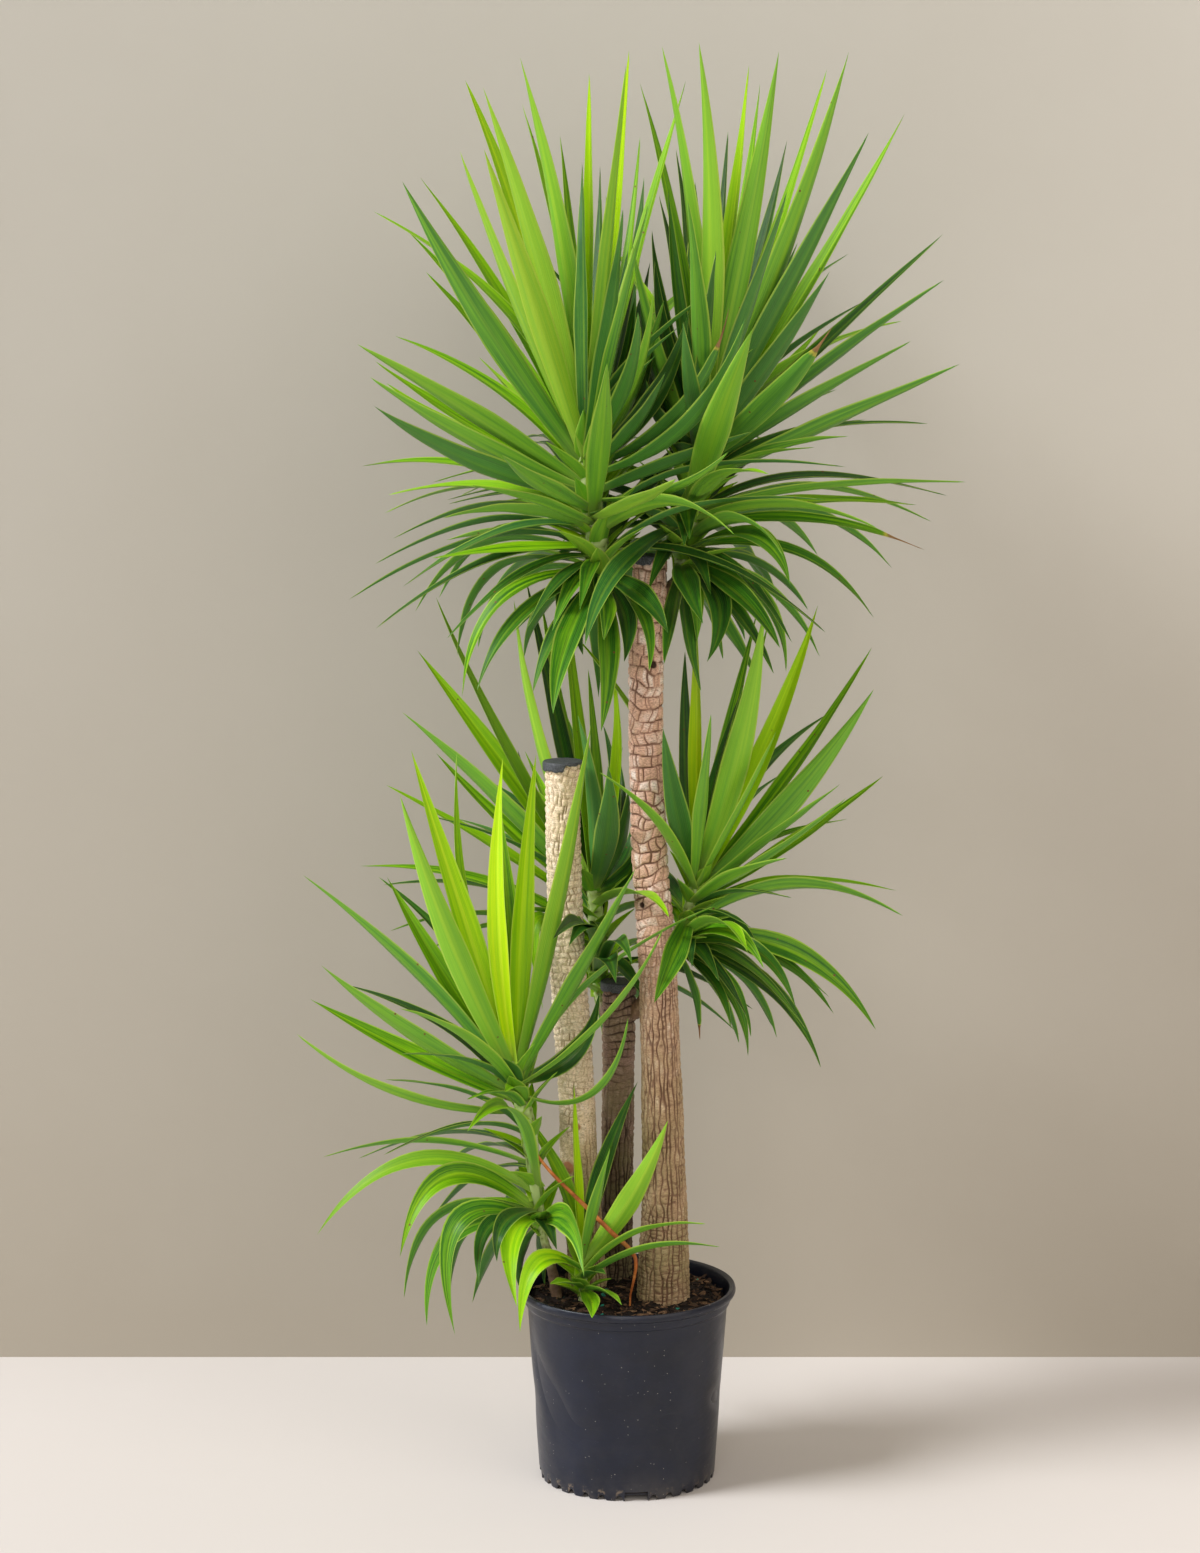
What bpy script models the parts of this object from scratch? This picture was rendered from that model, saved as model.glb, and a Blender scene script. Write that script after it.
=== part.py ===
"""Potted yucca: a nursery pot of bark mulch, three bare canes and six leafy stems.

Metres, +Z up. The pot's axis is the Z axis and its foot stands on z = 0. The front is
towards -Y. Leaves and stems are placed by the points where a front view shows them:
seen() turns such a point and a depth into a place in the part's own frame.
"""

from collections import namedtuple
from math import acos, atan2, cos, degrees, exp, pi, radians, sin, sqrt

import bmesh
import bpy
import numpy as np
from mathutils import Vector
from mathutils.bvhtree import BVHTree

# Driving sizes of the pot and its filling
POT_HEIGHT = 0.290
RIM_RADIUS = 0.161
FOOT_RADIUS = 0.1305
WALL_TOP_RADIUS = 0.1485
WALL = 0.003
LIP_DROP = 0.011
BAND_DROP = 0.028
FLOOR_RADIUS = 0.100
FLOOR_TOP = 0.011
CHANNEL_HEIGHT = 0.007
NOTCH_COUNT = 32
NOTCH_HEIGHT = 0.008
NOTCH_WIDTH = 0.007
DRAIN_COUNT = 4
DRAIN_WIDTH = 0.034
DRAIN_HEIGHT = 0.014
DRAIN_TURN = radians(5.5)
POT_SIDES = 48
BLOCK_FACES = [(0, 1, 3, 2), (4, 6, 7, 5), (0, 4, 5, 1), (2, 3, 7, 6), (0, 2, 6, 4), (1, 5, 7, 3)]
SOIL_TOP = 0.268
SOIL_BUMP = 0.004
SOIL_RINGS = 6
SOIL_EDGE = 0.002
SOIL_RISE_BEHIND = 0.010

# Canes and stems
GAP = 0.0003
CANE_SIDES = 14
CANE_BOTTOM = 0.120
CANE_RING_STEP = 0.060
WAX_THICK = 0.002
WAX_SKIRT = 0.012
STEM_SIDES = 6

# Front view that the places are read from: 1200 x 1553 pixels, from 5 m away
EYE = Vector((-0.0405, -5.0, 1.8))
TILT_DOWN = radians(8.5)
VIEW_MIDDLE = (600.0, 776.5)
VIEW_FOCAL = 3475.0

# Leaves
LEAF_THICK = 0.0022
LEAF_FOLD = 0.32
THICKER = 0.00002
JOIN_TRIES = 40
SEED_STEP = 1000
HIDDEN_SEED = 500
SLIGHT_BEND = radians(24.0)
STRONG_BEND = radians(60.0)
NO_BEND = 1e-7
OPEN_EDGE = 0.6
NARROW_PX = 10
SHORT_EDGE = 4e-6
SAME_PLACE = (1e-7, 4e-7, 1e-6, 2e-6)
CLEARANCE = 0.0012
TRIES = 110
DEPTH_SHIFT = 0.16
BEND_SHIFT = 0.06
ROOT_SHIFT = 0.22
TURN_SHIFT = radians(25.0)
ROOT_SPREAD = 0.008

Station = namedtuple("Station", "px py depth radius")
Leaf = namedtuple("Leaf", "tip past wide near at", defaults=(None,))
Head = namedtuple("Head", "name stem crown length width behind seed leaves")

TALL_CANE = (
    Station(650, 556, 0.000, 0.0256),
    Station(646, 680, 0.000, 0.0260),
    Station(647, 780, 0.000, 0.0262),
    Station(650, 860, -0.002, 0.0268),
    Station(656, 940, -0.003, 0.0292),
    Station(659, 1000, -0.004, 0.0290),
    Station(664, 1180, -0.005, 0.0335),
    Station(664, 1250, -0.005, 0.0380),
    Station(663, 1296, -0.005, 0.0408),
)
MEDIUM_CANE = (
    Station(562.6, 762, 0.040, 0.0266),
    Station(564.5, 900, 0.043, 0.0270),
    Station(570, 1000, 0.046, 0.0285),
    Station(577, 1100, 0.048, 0.0280),
    Station(579, 1165, 0.049, 0.0292),
    Station(588, 1282, 0.050, 0.0290),
)
SHORT_CANE = (
    Station(619.5, 982, 0.098, 0.0258),
    Station(618, 1100, 0.098, 0.0252),
    Station(616, 1278, 0.098, 0.0255),
)
CANES = (TALL_CANE, MEDIUM_CANE, SHORT_CANE)

UPPER_LEFT = Head(
    name="head_upper_left",
    stem=(
        Station(634, 604, -0.012, 0.013),
        Station(612, 596, -0.040, 0.014),
        Station(600, 575, -0.050, 0.022),
        Station(597, 540, -0.050, 0.026),
        Station(590, 490, -0.048, 0.025),
        Station(582, 440, -0.045, 0.014),
    ),
    crown=0.30,
    length=(0.62, 0.52, 0.36),
    width=0.041,
    behind=8,
    seed=11,
    leaves=(
        Leaf(tip=(484, 149), past=(532, 300), wide=27, near=0.5),
        Leaf(tip=(483, 87), past=(548, 300), wide=25, near=0.2),
        Leaf(tip=(465, 80), past=(498, 164), wide=20, near=-0.2),
        Leaf(tip=(520, 57), past=(553, 199), wide=21, near=0.0),
        Leaf(tip=(522, 103), past=(556, 240), wide=10, near=-0.4),
        Leaf(tip=(589, 73), past=(590, 160), wide=13, near=-0.1),
        Leaf(tip=(591, 129), past=(590, 260), wide=12, near=-0.5),
        Leaf(tip=(560, 135), past=(574, 290), wide=14, near=-0.7),
        Leaf(tip=(600, 166), past=(598, 300), wide=14, near=-0.6),
        Leaf(tip=(606, 195), past=(604, 300), wide=8, near=-0.8),
        Leaf(tip=(582, 162), past=(584, 300), wide=15, near=-0.3),
        Leaf(tip=(629, 50), past=(612, 260), wide=16, near=0.0),
        Leaf(tip=(626, 66), past=(606, 270), wide=14, near=0.3),
        Leaf(tip=(640, 137), past=(622, 300), wide=12, near=-0.5),
        Leaf(tip=(644, 177), past=(626, 320), wide=18, near=-0.8),
        Leaf(tip=(623, 209), past=(608, 340), wide=18, near=0.5),
        Leaf(tip=(686, 80), past=(650, 210), wide=12, near=-0.4),
        Leaf(tip=(460, 151), past=(514, 300), wide=16, near=0.1),
        Leaf(tip=(420, 177), past=(500, 296), wide=14, near=-0.4),
        Leaf(tip=(402, 181), past=(490, 331), wide=29, near=0.3),
        Leaf(tip=(406, 229), past=(470, 300), wide=14, near=-0.7),
        Leaf(tip=(454, 260), past=(500, 330), wide=10, near=-0.8),
        Leaf(tip=(426, 272), past=(488, 342), wide=16, near=-0.2),
        Leaf(tip=(512, 295), past=(548, 380), wide=18, near=-0.6),
        Leaf(tip=(395, 336), past=(490, 385), wide=11, near=-0.4),
        Leaf(tip=(479, 357), past=(520, 400), wide=10, near=-0.9),
        Leaf(tip=(357, 344), past=(473, 415), wide=22, near=0.2),
        Leaf(tip=(375, 361), past=(470, 425), wide=13, near=-0.1),
        Leaf(tip=(370, 377), past=(473, 442), wide=20, near=0.1),
        Leaf(tip=(386, 383), past=(470, 436), wide=12, near=-0.3),
        Leaf(tip=(374, 406), past=(490, 469), wide=24, near=0.5),
        Leaf(tip=(362, 466), past=(450, 463), wide=8, near=-0.2),
        Leaf(tip=(388, 495), past=(500, 488), wide=8, near=-0.4),
        Leaf(tip=(502, 455), past=(540, 485), wide=24, near=0.9, at=0.5),
        Leaf(tip=(471, 485), past=(530, 500), wide=14, near=0.7),
        Leaf(tip=(443, 518), past=(510, 510), wide=14, near=0.3),
        Leaf(tip=(472, 512), past=(520, 505), wide=14, near=-0.6),
        Leaf(tip=(607, 363), past=(601, 450), wide=26, near=0.9, at=0.45),
        Leaf(tip=(432, 558), past=(507, 550), wide=9, near=0.2),
        Leaf(tip=(446, 540), past=(500, 532), wide=10, near=-0.5),
        Leaf(tip=(415, 612), past=(471, 551), wide=10, near=-0.3),
        Leaf(tip=(439, 598), past=(507, 530), wide=10, near=-0.6),
        Leaf(tip=(457, 656), past=(496, 571), wide=10, near=-0.5),
        Leaf(tip=(478, 648), past=(507, 587), wide=12, near=-0.2),
        Leaf(tip=(462, 697), past=(514, 591), wide=12, near=0.2),
        Leaf(tip=(477, 690), past=(507, 632), wide=14, near=0.4),
        Leaf(tip=(524, 657), past=(543, 609), wide=14, near=-0.3),
        Leaf(tip=(533, 692), past=(557, 632), wide=14, near=0.4),
        Leaf(tip=(553, 714), past=(564, 650), wide=28, near=0.7),
        Leaf(tip=(497, 584), past=(530, 560), wide=12, near=-0.8),
        Leaf(tip=(601, 732), past=(607, 660), wide=24, near=0.5),
        Leaf(tip=(668, 633), past=(645, 600), wide=22, near=0.5),
        Leaf(tip=(649, 671), past=(632, 601), wide=13, near=0.6),
        Leaf(tip=(676, 479), past=(638, 503), wide=21, near=0.9, at=0.4),
        Leaf(tip=(728, 452), past=(660, 495), wide=12, near=0.6),
        Leaf(tip=(735, 535), past=(670, 503), wide=17, near=0.5),
        Leaf(tip=(755, 430), past=(670, 465), wide=16, near=0.2),
        Leaf(tip=(746, 316), past=(650, 455), wide=20, near=0.6),
        Leaf(tip=(729, 307), past=(650, 440), wide=16, near=0.2),
        Leaf(tip=(690, 307), past=(640, 420), wide=22, near=0.0),
        Leaf(tip=(653, 288), past=(628, 400), wide=11, near=0.4),
        Leaf(tip=(638, 312), past=(618, 410), wide=18, near=0.7),
    ),
)
UPPER_RIGHT = Head(
    name="head_upper_right",
    stem=(
        Station(664, 594, 0.014, 0.013),
        Station(677, 582, 0.030, 0.014),
        Station(684, 555, 0.034, 0.022),
        Station(687, 520, 0.034, 0.026),
        Station(695, 475, 0.033, 0.025),
        Station(703, 430, 0.032, 0.014),
    ),
    crown=0.25,
    length=(0.64, 0.52, 0.36),
    width=0.041,
    behind=8,
    seed=12,
    leaves=(
        Leaf(tip=(699, 42), past=(711, 248), wide=24, near=0.3),
        Leaf(tip=(662, 46), past=(683, 160), wide=16, near=0.0),
        Leaf(tip=(688, 200), past=(697, 310), wide=20, near=0.6),
        Leaf(tip=(640, 83), past=(673, 224), wide=14, near=-0.2),
        Leaf(tip=(659, 195), past=(680, 300), wide=18, near=-0.6),
        Leaf(tip=(676, 149), past=(690, 270), wide=18, near=-0.8),
        Leaf(tip=(749, 65), past=(731, 236), wide=15, near=-0.2),
        Leaf(tip=(760, 83), past=(740, 240), wide=12, near=-0.4),
        Leaf(tip=(779, 51), past=(746, 236), wide=28, near=0.2),
        Leaf(tip=(787, 140), past=(762, 250), wide=16, near=-0.6),
        Leaf(tip=(827, 69), past=(784, 212), wide=13, near=-0.2),
        Leaf(tip=(849, 51), past=(789, 240), wide=22, near=0.25),
        Leaf(tip=(869, 132), past=(806, 255), wide=22, near=0.1),
        Leaf(tip=(905, 113), past=(832, 246), wide=14, near=0.0),
        Leaf(tip=(787, 192), past=(751, 306), wide=17, near=0.6),
        Leaf(tip=(728, 131), past=(720, 250), wide=14, near=-0.6),
        Leaf(tip=(725, 173), past=(716, 290), wide=14, near=-0.8),
        Leaf(tip=(798, 242), past=(760, 330), wide=14, near=-0.8),
        Leaf(tip=(830, 271), past=(785, 342), wide=22, near=0.3),
        Leaf(tip=(943, 234), past=(842, 328), wide=12, near=-0.2),
        Leaf(tip=(944, 280), past=(842, 353), wide=16, near=0.1),
        Leaf(tip=(911, 341), past=(812, 399), wide=16, near=0.2),
        Leaf(tip=(960, 364), past=(836, 421), wide=18, near=0.1),
        Leaf(tip=(833, 326), past=(782, 390), wide=28, near=0.6),
        Leaf(tip=(823, 325), past=(780, 375), wide=12, near=-0.5),
        Leaf(tip=(849, 436), past=(780, 448), wide=12, near=0.2),
        Leaf(tip=(786, 430), past=(745, 450), wide=12, near=-0.6),
        Leaf(tip=(753, 328), past=(722, 410), wide=34, near=0.9, at=0.4),
        Leaf(tip=(546, 262), past=(600, 330), wide=16, near=-0.3),
        Leaf(tip=(769, 474), past=(728, 474), wide=20, near=0.9),
        Leaf(tip=(966, 482), past=(820, 488), wide=9, near=0.1),
        Leaf(tip=(917, 505), past=(800, 502), wide=9, near=-0.2),
        Leaf(tip=(877, 528), past=(790, 506), wide=12, near=0.3),
        Leaf(tip=(925, 550), past=(820, 521), wide=10, near=0.1),
        Leaf(tip=(892, 568), past=(820, 516), wide=12, near=-0.2),
        Leaf(tip=(818, 556), past=(770, 514), wide=12, near=-0.6),
        Leaf(tip=(874, 618), past=(815, 562), wide=10, near=0.1),
        Leaf(tip=(784, 557), past=(740, 520), wide=14, near=0.7),
        Leaf(tip=(790, 584), past=(762, 540), wide=15, near=0.6),
        Leaf(tip=(808, 610), past=(781, 579), wide=10, near=-0.3),
        Leaf(tip=(777, 601), past=(750, 560), wide=9, near=-0.5),
        Leaf(tip=(820, 657), past=(778, 598), wide=11, near=-0.1),
        Leaf(tip=(783, 642), past=(756, 590), wide=11, near=-0.4),
        Leaf(tip=(786, 672), past=(762, 598), wide=14, near=0.2),
        Leaf(tip=(780, 648), past=(740, 596), wide=20, near=0.5),
        Leaf(tip=(774, 674), past=(731, 606), wide=14, near=0.3),
        Leaf(tip=(761, 683), past=(731, 636), wide=16, near=-0.3),
        Leaf(tip=(723, 659), past=(708, 610), wide=10, near=-0.5),
        Leaf(tip=(707, 662), past=(713, 590), wide=27, near=0.7),
        Leaf(tip=(703, 624), past=(684, 575), wide=25, near=0.9),
        Leaf(tip=(701, 691), past=(686, 630), wide=16, near=0.2),
        Leaf(tip=(664, 664), past=(676, 604), wide=15, near=0.6),
        Leaf(tip=(585, 646), past=(628, 560), wide=20, near=0.6),
    ),
)
MIDDLE_RIGHT = Head(
    name="head_middle_right",
    stem=(
        Station(633, 1014, 0.090, 0.011),
        Station(648, 996, 0.074, 0.011),
        Station(664, 975, 0.060, 0.012),
        Station(680, 945, 0.050, 0.018),
        Station(690, 915, 0.044, 0.021),
        Station(697, 876, 0.038, 0.013),
    ),
    crown=0.50,
    length=(0.46, 0.38, 0.28),
    width=0.038,
    behind=6,
    seed=13,
    leaves=(
        Leaf(tip=(818, 605), past=(765, 750), wide=22, near=0.0),
        Leaf(tip=(872, 647), past=(800, 760), wide=12, near=-0.2),
        Leaf(tip=(874, 689), past=(800, 790), wide=28, near=0.2),
        Leaf(tip=(769, 621), past=(735, 750), wide=14, near=-0.4),
        Leaf(tip=(764, 611), past=(734, 770), wide=30, near=0.5),
        Leaf(tip=(758, 608), past=(728, 740), wide=14, near=-0.3),
        Leaf(tip=(696, 600), past=(697, 740), wide=14, near=0.1),
        Leaf(tip=(685, 651), past=(685, 760), wide=20, near=-0.5),
        Leaf(tip=(663, 728), past=(676, 810), wide=25, near=0.3),
        Leaf(tip=(711, 714), past=(704, 800), wide=16, near=0.7),
        Leaf(tip=(775, 726), past=(745, 800), wide=12, near=-0.7),
        Leaf(tip=(840, 784), past=(775, 835), wide=13, near=0.1),
        Leaf(tip=(846, 798), past=(780, 850), wide=11, near=0.4),
        Leaf(tip=(883, 776), past=(800, 838), wide=11, near=-0.1),
        Leaf(tip=(787, 858), past=(745, 872), wide=20, near=0.8),
        Leaf(tip=(903, 916), past=(791, 886), wide=17, near=0.3),
        Leaf(tip=(876, 1030), past=(790, 950), wide=22, near=0.3),
        Leaf(tip=(748, 953), past=(720, 922), wide=16, near=0.8),
        Leaf(tip=(654, 1003), past=(672, 960), wide=26, near=1.15, at=0.55),
        Leaf(tip=(834, 1014), past=(770, 955), wide=12, near=0.1),
        Leaf(tip=(796, 1008), past=(745, 945), wide=14, near=0.5),
        Leaf(tip=(821, 1068), past=(765, 985), wide=15, near=0.2),
        Leaf(tip=(748, 1056), past=(720, 980), wide=14, near=0.1),
        Leaf(tip=(777, 1038), past=(738, 975), wide=12, near=-0.2),
        Leaf(tip=(739, 1043), past=(712, 985), wide=11, near=-0.4),
        Leaf(tip=(700, 1040), past=(692, 990), wide=9, near=-0.1),
        Leaf(tip=(764, 969), past=(725, 930), wide=13, near=0.6),
        Leaf(tip=(599, 772), past=(650, 815), wide=13, near=0.7),
    ),
)
MIDDLE_LEFT = Head(
    name="head_middle_left",
    stem=(
        Station(608, 1015, 0.110, 0.011),
        Station(600, 998, 0.128, 0.011),
        Station(598, 975, 0.134, 0.018),
        Station(597, 925, 0.126, 0.021),
        Station(590, 872, 0.112, 0.013),
    ),
    crown=0.25,
    length=(0.50, 0.40, 0.26),
    width=0.038,
    behind=5,
    seed=14,
    leaves=(
        Leaf(tip=(436, 597), past=(506, 749), wide=11, near=-0.1),
        Leaf(tip=(417, 650), past=(500, 760), wide=22, near=0.1),
        Leaf(tip=(402, 712), past=(480, 782), wide=20, near=0.0),
        Leaf(tip=(436, 753), past=(500, 820), wide=13, near=-0.3),
        Leaf(tip=(386, 785), past=(480, 838), wide=8, near=-0.1),
        Leaf(tip=(360, 866), past=(470, 878), wide=8, near=0.0),
        Leaf(tip=(390, 931), past=(480, 914), wide=8, near=0.1),
        Leaf(tip=(511, 748), past=(545, 820), wide=12, near=-0.6),
        Leaf(tip=(525, 751), past=(556, 820), wide=12, near=-0.8),
        Leaf(tip=(514, 600), past=(545, 765), wide=14, near=0.1),
        Leaf(tip=(526, 580), past=(560, 740), wide=18, near=-0.2),
        Leaf(tip=(540, 594), past=(566, 750), wide=14, near=-0.4),
        Leaf(tip=(560, 564), past=(574, 700), wide=14, near=-0.1),
        Leaf(tip=(588, 669), past=(594, 760), wide=14, near=-0.2),
        Leaf(tip=(578, 715), past=(592, 800), wide=18, near=0.1),
        Leaf(tip=(608, 766), past=(606, 840), wide=27, near=0.5),
        Leaf(tip=(603, 725), past=(616, 810), wide=16, near=-0.2),
        Leaf(tip=(612, 660), past=(618, 760), wide=13, near=-0.1),
        Leaf(tip=(628, 790), past=(618, 850), wide=18, near=0.3),
        Leaf(tip=(640, 830), past=(622, 880), wide=16, near=0.0),
        Leaf(tip=(553, 939), past=(580, 922), wide=15, near=0.9),
        Leaf(tip=(669, 917), past=(645, 895), wide=15, near=0.95, at=0.8),
        Leaf(tip=(616, 983), past=(607, 958), wide=22, near=0.8),
        Leaf(tip=(632, 964), past=(620, 940), wide=14, near=0.8),
        Leaf(tip=(543, 1010), past=(541, 918), wide=14, near=0.25),
    ),
)
LOWER_LEFT = Head(
    name="head_lower_left",
    stem=(
        Station(556, 1325, -0.008, 0.0090),
        Station(557, 1300, -0.008, 0.0085),
        Station(550, 1260, -0.010, 0.0080),
        Station(543, 1235, -0.014, 0.0085),
        Station(538, 1200, -0.020, 0.0130),
        Station(528, 1130, -0.028, 0.0200),
        Station(520, 1095, -0.030, 0.0200),
        Station(513, 1060, -0.032, 0.0120),
    ),
    crown=0.42,
    length=(0.50, 0.42, 0.30),
    width=0.039,
    behind=6,
    seed=15,
    leaves=(
        Leaf(tip=(503, 758), past=(498, 896), wide=22, near=0.3),
        Leaf(tip=(536, 754), past=(523, 896), wide=24, near=0.1),
        Leaf(tip=(591, 724), past=(558, 907), wide=20, near=0.2),
        Leaf(tip=(457, 752), past=(469, 935), wide=11, near=-0.3),
        Leaf(tip=(411, 750), past=(455, 890), wide=25, near=0.0),
        Leaf(tip=(400, 795), past=(454, 950), wide=28, near=0.2),
        Leaf(tip=(387, 877), past=(435, 960), wide=22, near=-0.2),
        Leaf(tip=(303, 875), past=(412, 970), wide=18, near=0.1),
        Leaf(tip=(321, 965), past=(412, 1035), wide=22, near=0.2),
        Leaf(tip=(310, 999), past=(400, 1048), wide=15, near=-0.1),
        Leaf(tip=(297, 1034), past=(412, 1100), wide=15, near=0.1),
        Leaf(tip=(399, 1008), past=(443, 1025), wide=18, near=0.6),
        Leaf(tip=(432, 1040), past=(470, 1072), wide=12, near=-0.4),
        Leaf(tip=(323, 1157), past=(430, 1142), wide=10, near=0.0),
        Leaf(tip=(317, 1235), past=(415, 1161), wide=13, near=0.1),
        Leaf(tip=(400, 1257), past=(448, 1176), wide=22, near=0.4),
        Leaf(tip=(404, 1298), past=(446, 1213), wide=15, near=0.0),
        Leaf(tip=(427, 1326), past=(460, 1232), wide=16, near=0.1),
        Leaf(tip=(455, 1335), past=(478, 1210), wide=22, near=0.4),
        Leaf(tip=(450, 1299), past=(478, 1225), wide=9, near=-0.4),
        Leaf(tip=(479, 1285), past=(499, 1220), wide=14, near=-0.2),
        Leaf(tip=(517, 1307), past=(519, 1225), wide=26, near=0.7),
        Leaf(tip=(584, 1277), past=(560, 1215), wide=29, near=0.7),
        Leaf(tip=(467, 1132), past=(495, 1106), wide=15, near=0.8),
        Leaf(tip=(557, 1250), past=(543, 1220), wide=14, near=0.2),
        Leaf(tip=(523, 1259), past=(532, 1225), wide=12, near=-0.4),
        Leaf(tip=(636, 867), past=(580, 975), wide=18, near=0.3),
        Leaf(tip=(663, 929), past=(597, 1028), wide=9, near=0.5),
        Leaf(tip=(628, 1018), past=(578, 1102), wide=11, near=0.2),
        Leaf(tip=(599, 993), past=(578, 1051), wide=20, near=0.0),
    ),
)
FRONT_SHOOT = Head(
    name="shoot_front",
    stem=(
        Station(582, 1325, -0.030, 0.0085),
        Station(583, 1300, -0.030, 0.0090),
        Station(583, 1282, -0.030, 0.0110),
        Station(582, 1258, -0.030, 0.0070),
    ),
    crown=0.35,
    length=(0.31, 0.25, 0.15),
    width=0.036,
    behind=2,
    seed=16,
    leaves=(
        Leaf(tip=(574, 1084), past=(576, 1176), wide=9, near=0.0),
        Leaf(tip=(638, 1081), past=(602, 1175), wide=18, near=-0.2),
        Leaf(tip=(610, 1148), past=(596, 1205), wide=13, near=0.2),
        Leaf(tip=(668, 1120), past=(622, 1212), wide=25, near=0.4),
        Leaf(tip=(706, 1224), past=(645, 1230), wide=10, near=0.4),
        Leaf(tip=(720, 1247), past=(650, 1248), wide=11, near=0.6),
        Leaf(tip=(520, 1332), past=(552, 1258), wide=19, near=0.8, at=0.7),
        Leaf(tip=(592, 1318), past=(590, 1300), wide=12, near=0.9, at=0.3),
        Leaf(tip=(622, 1305), past=(605, 1292), wide=10, near=0.5, at=0.3),
        Leaf(tip=(550, 1284), past=(564, 1282), wide=10, near=0.5, at=0.3),
        Leaf(tip=(606, 1274), past=(595, 1272), wide=12, near=0.3),
    ),
)
HEADS = (UPPER_LEFT, UPPER_RIGHT, MIDDLE_RIGHT, MIDDLE_LEFT, LOWER_LEFT, FRONT_SHOOT)

DRY_LEAF = (
    Station(520, 1129, -0.0475, 0.0016),
    Station(547, 1168, -0.0500, 0.0024),
    Station(588, 1209, -0.052, 0.0034),
    Station(612, 1233, -0.058, 0.0036),
    Station(630, 1250, -0.064, 0.0034),
    Station(636, 1265, -0.066, 0.0026),
    Station(630, 1297, -0.050, 0.0014),
)
DRY_LEAF_THICK = 0.0008
DRY_LEAF_STEPS = 12


def seen(px, py, depth):
    """The place at the given depth (y) that the front view shows at pixel (px, py)."""
    across = (px - VIEW_MIDDLE[0]) / VIEW_FOCAL
    up = (VIEW_MIDDLE[1] - py) / VIEW_FOCAL
    along = cos(TILT_DOWN) + up * sin(TILT_DOWN)
    rise = up * cos(TILT_DOWN) - sin(TILT_DOWN)
    ray = Vector((across, along, rise))
    return EYE + ray * ((depth - EYE.y) / along)


def metres_per_pixel(place):
    """How much one pixel of the front view spans at a place."""
    return (place - EYE).length / VIEW_FOCAL


def clear_scene():
    """Removes every object of the startup scene."""
    for obj in list(bpy.data.objects):
        bpy.data.objects.remove(obj, do_unlink=True)


def plain_material(name, colour, roughness):
    """A Principled material of one colour."""
    material = bpy.data.materials.new(name)
    material.use_nodes = True
    shader = material.node_tree.nodes["Principled BSDF"]
    shader.inputs["Base Color"].default_value = (*colour, 1.0)
    shader.inputs["Roughness"].default_value = roughness
    shader.inputs["Metallic"].default_value = 0.0
    return material


def new_object(name, points, faces, material=None):
    """A mesh object from points and faces, with its faces turned outwards."""
    mesh = bpy.data.meshes.new(name)
    mesh.from_pydata([tuple(p) for p in points], [], faces)
    bm = bmesh.new()
    bm.from_mesh(mesh)
    bmesh.ops.recalc_face_normals(bm, faces=bm.faces)
    if bm.calc_volume(signed=True) < 0.0:
        bmesh.ops.reverse_faces(bm, faces=bm.faces)
    bm.to_mesh(mesh)
    bm.free()
    obj = bpy.data.objects.new(name, mesh)
    bpy.context.scene.collection.objects.link(obj)
    if material:
        mesh.materials.append(material)
    return obj


def smooth(obj, angle=40.0):
    """Shades an object smooth, with edges sharper than the angle left sharp."""
    obj.data.shade_smooth()
    obj.data.set_sharp_from_angle(angle=radians(angle))


def apply_boolean(obj, others, operation, solver="EXACT"):
    """Cuts, or joins, an object with others and removes those from the scene."""
    group = bpy.data.collections.new(obj.name + "_others")
    bpy.context.scene.collection.children.link(group)
    for other in others:
        for holder in list(other.users_collection):
            holder.objects.unlink(other)
        group.objects.link(other)
    modifier = obj.modifiers.new("join", "BOOLEAN")
    modifier.operation = operation
    modifier.operand_type = "COLLECTION"
    modifier.collection = group
    modifier.solver = solver
    graph = bpy.context.evaluated_depsgraph_get()
    result = bpy.data.meshes.new_from_object(obj.evaluated_get(graph))
    obj.modifiers.clear()
    obj.data = result
    for other in others:
        bpy.data.objects.remove(other, do_unlink=True)
    bpy.data.collections.remove(group)


def keep_outer_body(obj):
    """Keeps the largest connected body only, without sealed hollows, scraps and slivers."""
    bm = bmesh.new()
    bm.from_mesh(obj.data)
    bmesh.ops.triangulate(bm, faces=bm.faces)
    bmesh.ops.remove_doubles(bm, verts=bm.verts, dist=SHORT_EDGE)
    bmesh.ops.dissolve_degenerate(bm, edges=bm.edges, dist=0.5 * SHORT_EDGE)
    bmesh.ops.triangulate(bm, faces=bm.faces)
    unseen = set(bm.faces)
    bodies = []
    while unseen:
        body = [unseen.pop()]
        for face in body:
            for edge in face.edges:
                for other in edge.link_faces:
                    if other in unseen:
                        unseen.remove(other)
                        body.append(other)
        bodies.append(body)
    largest = max(bodies, key=len)
    loose = [face for body in bodies if body is not largest for face in body]
    bmesh.ops.delete(bm, geom=loose, context="FACES")
    bm.to_mesh(obj.data)
    bm.free()


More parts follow.
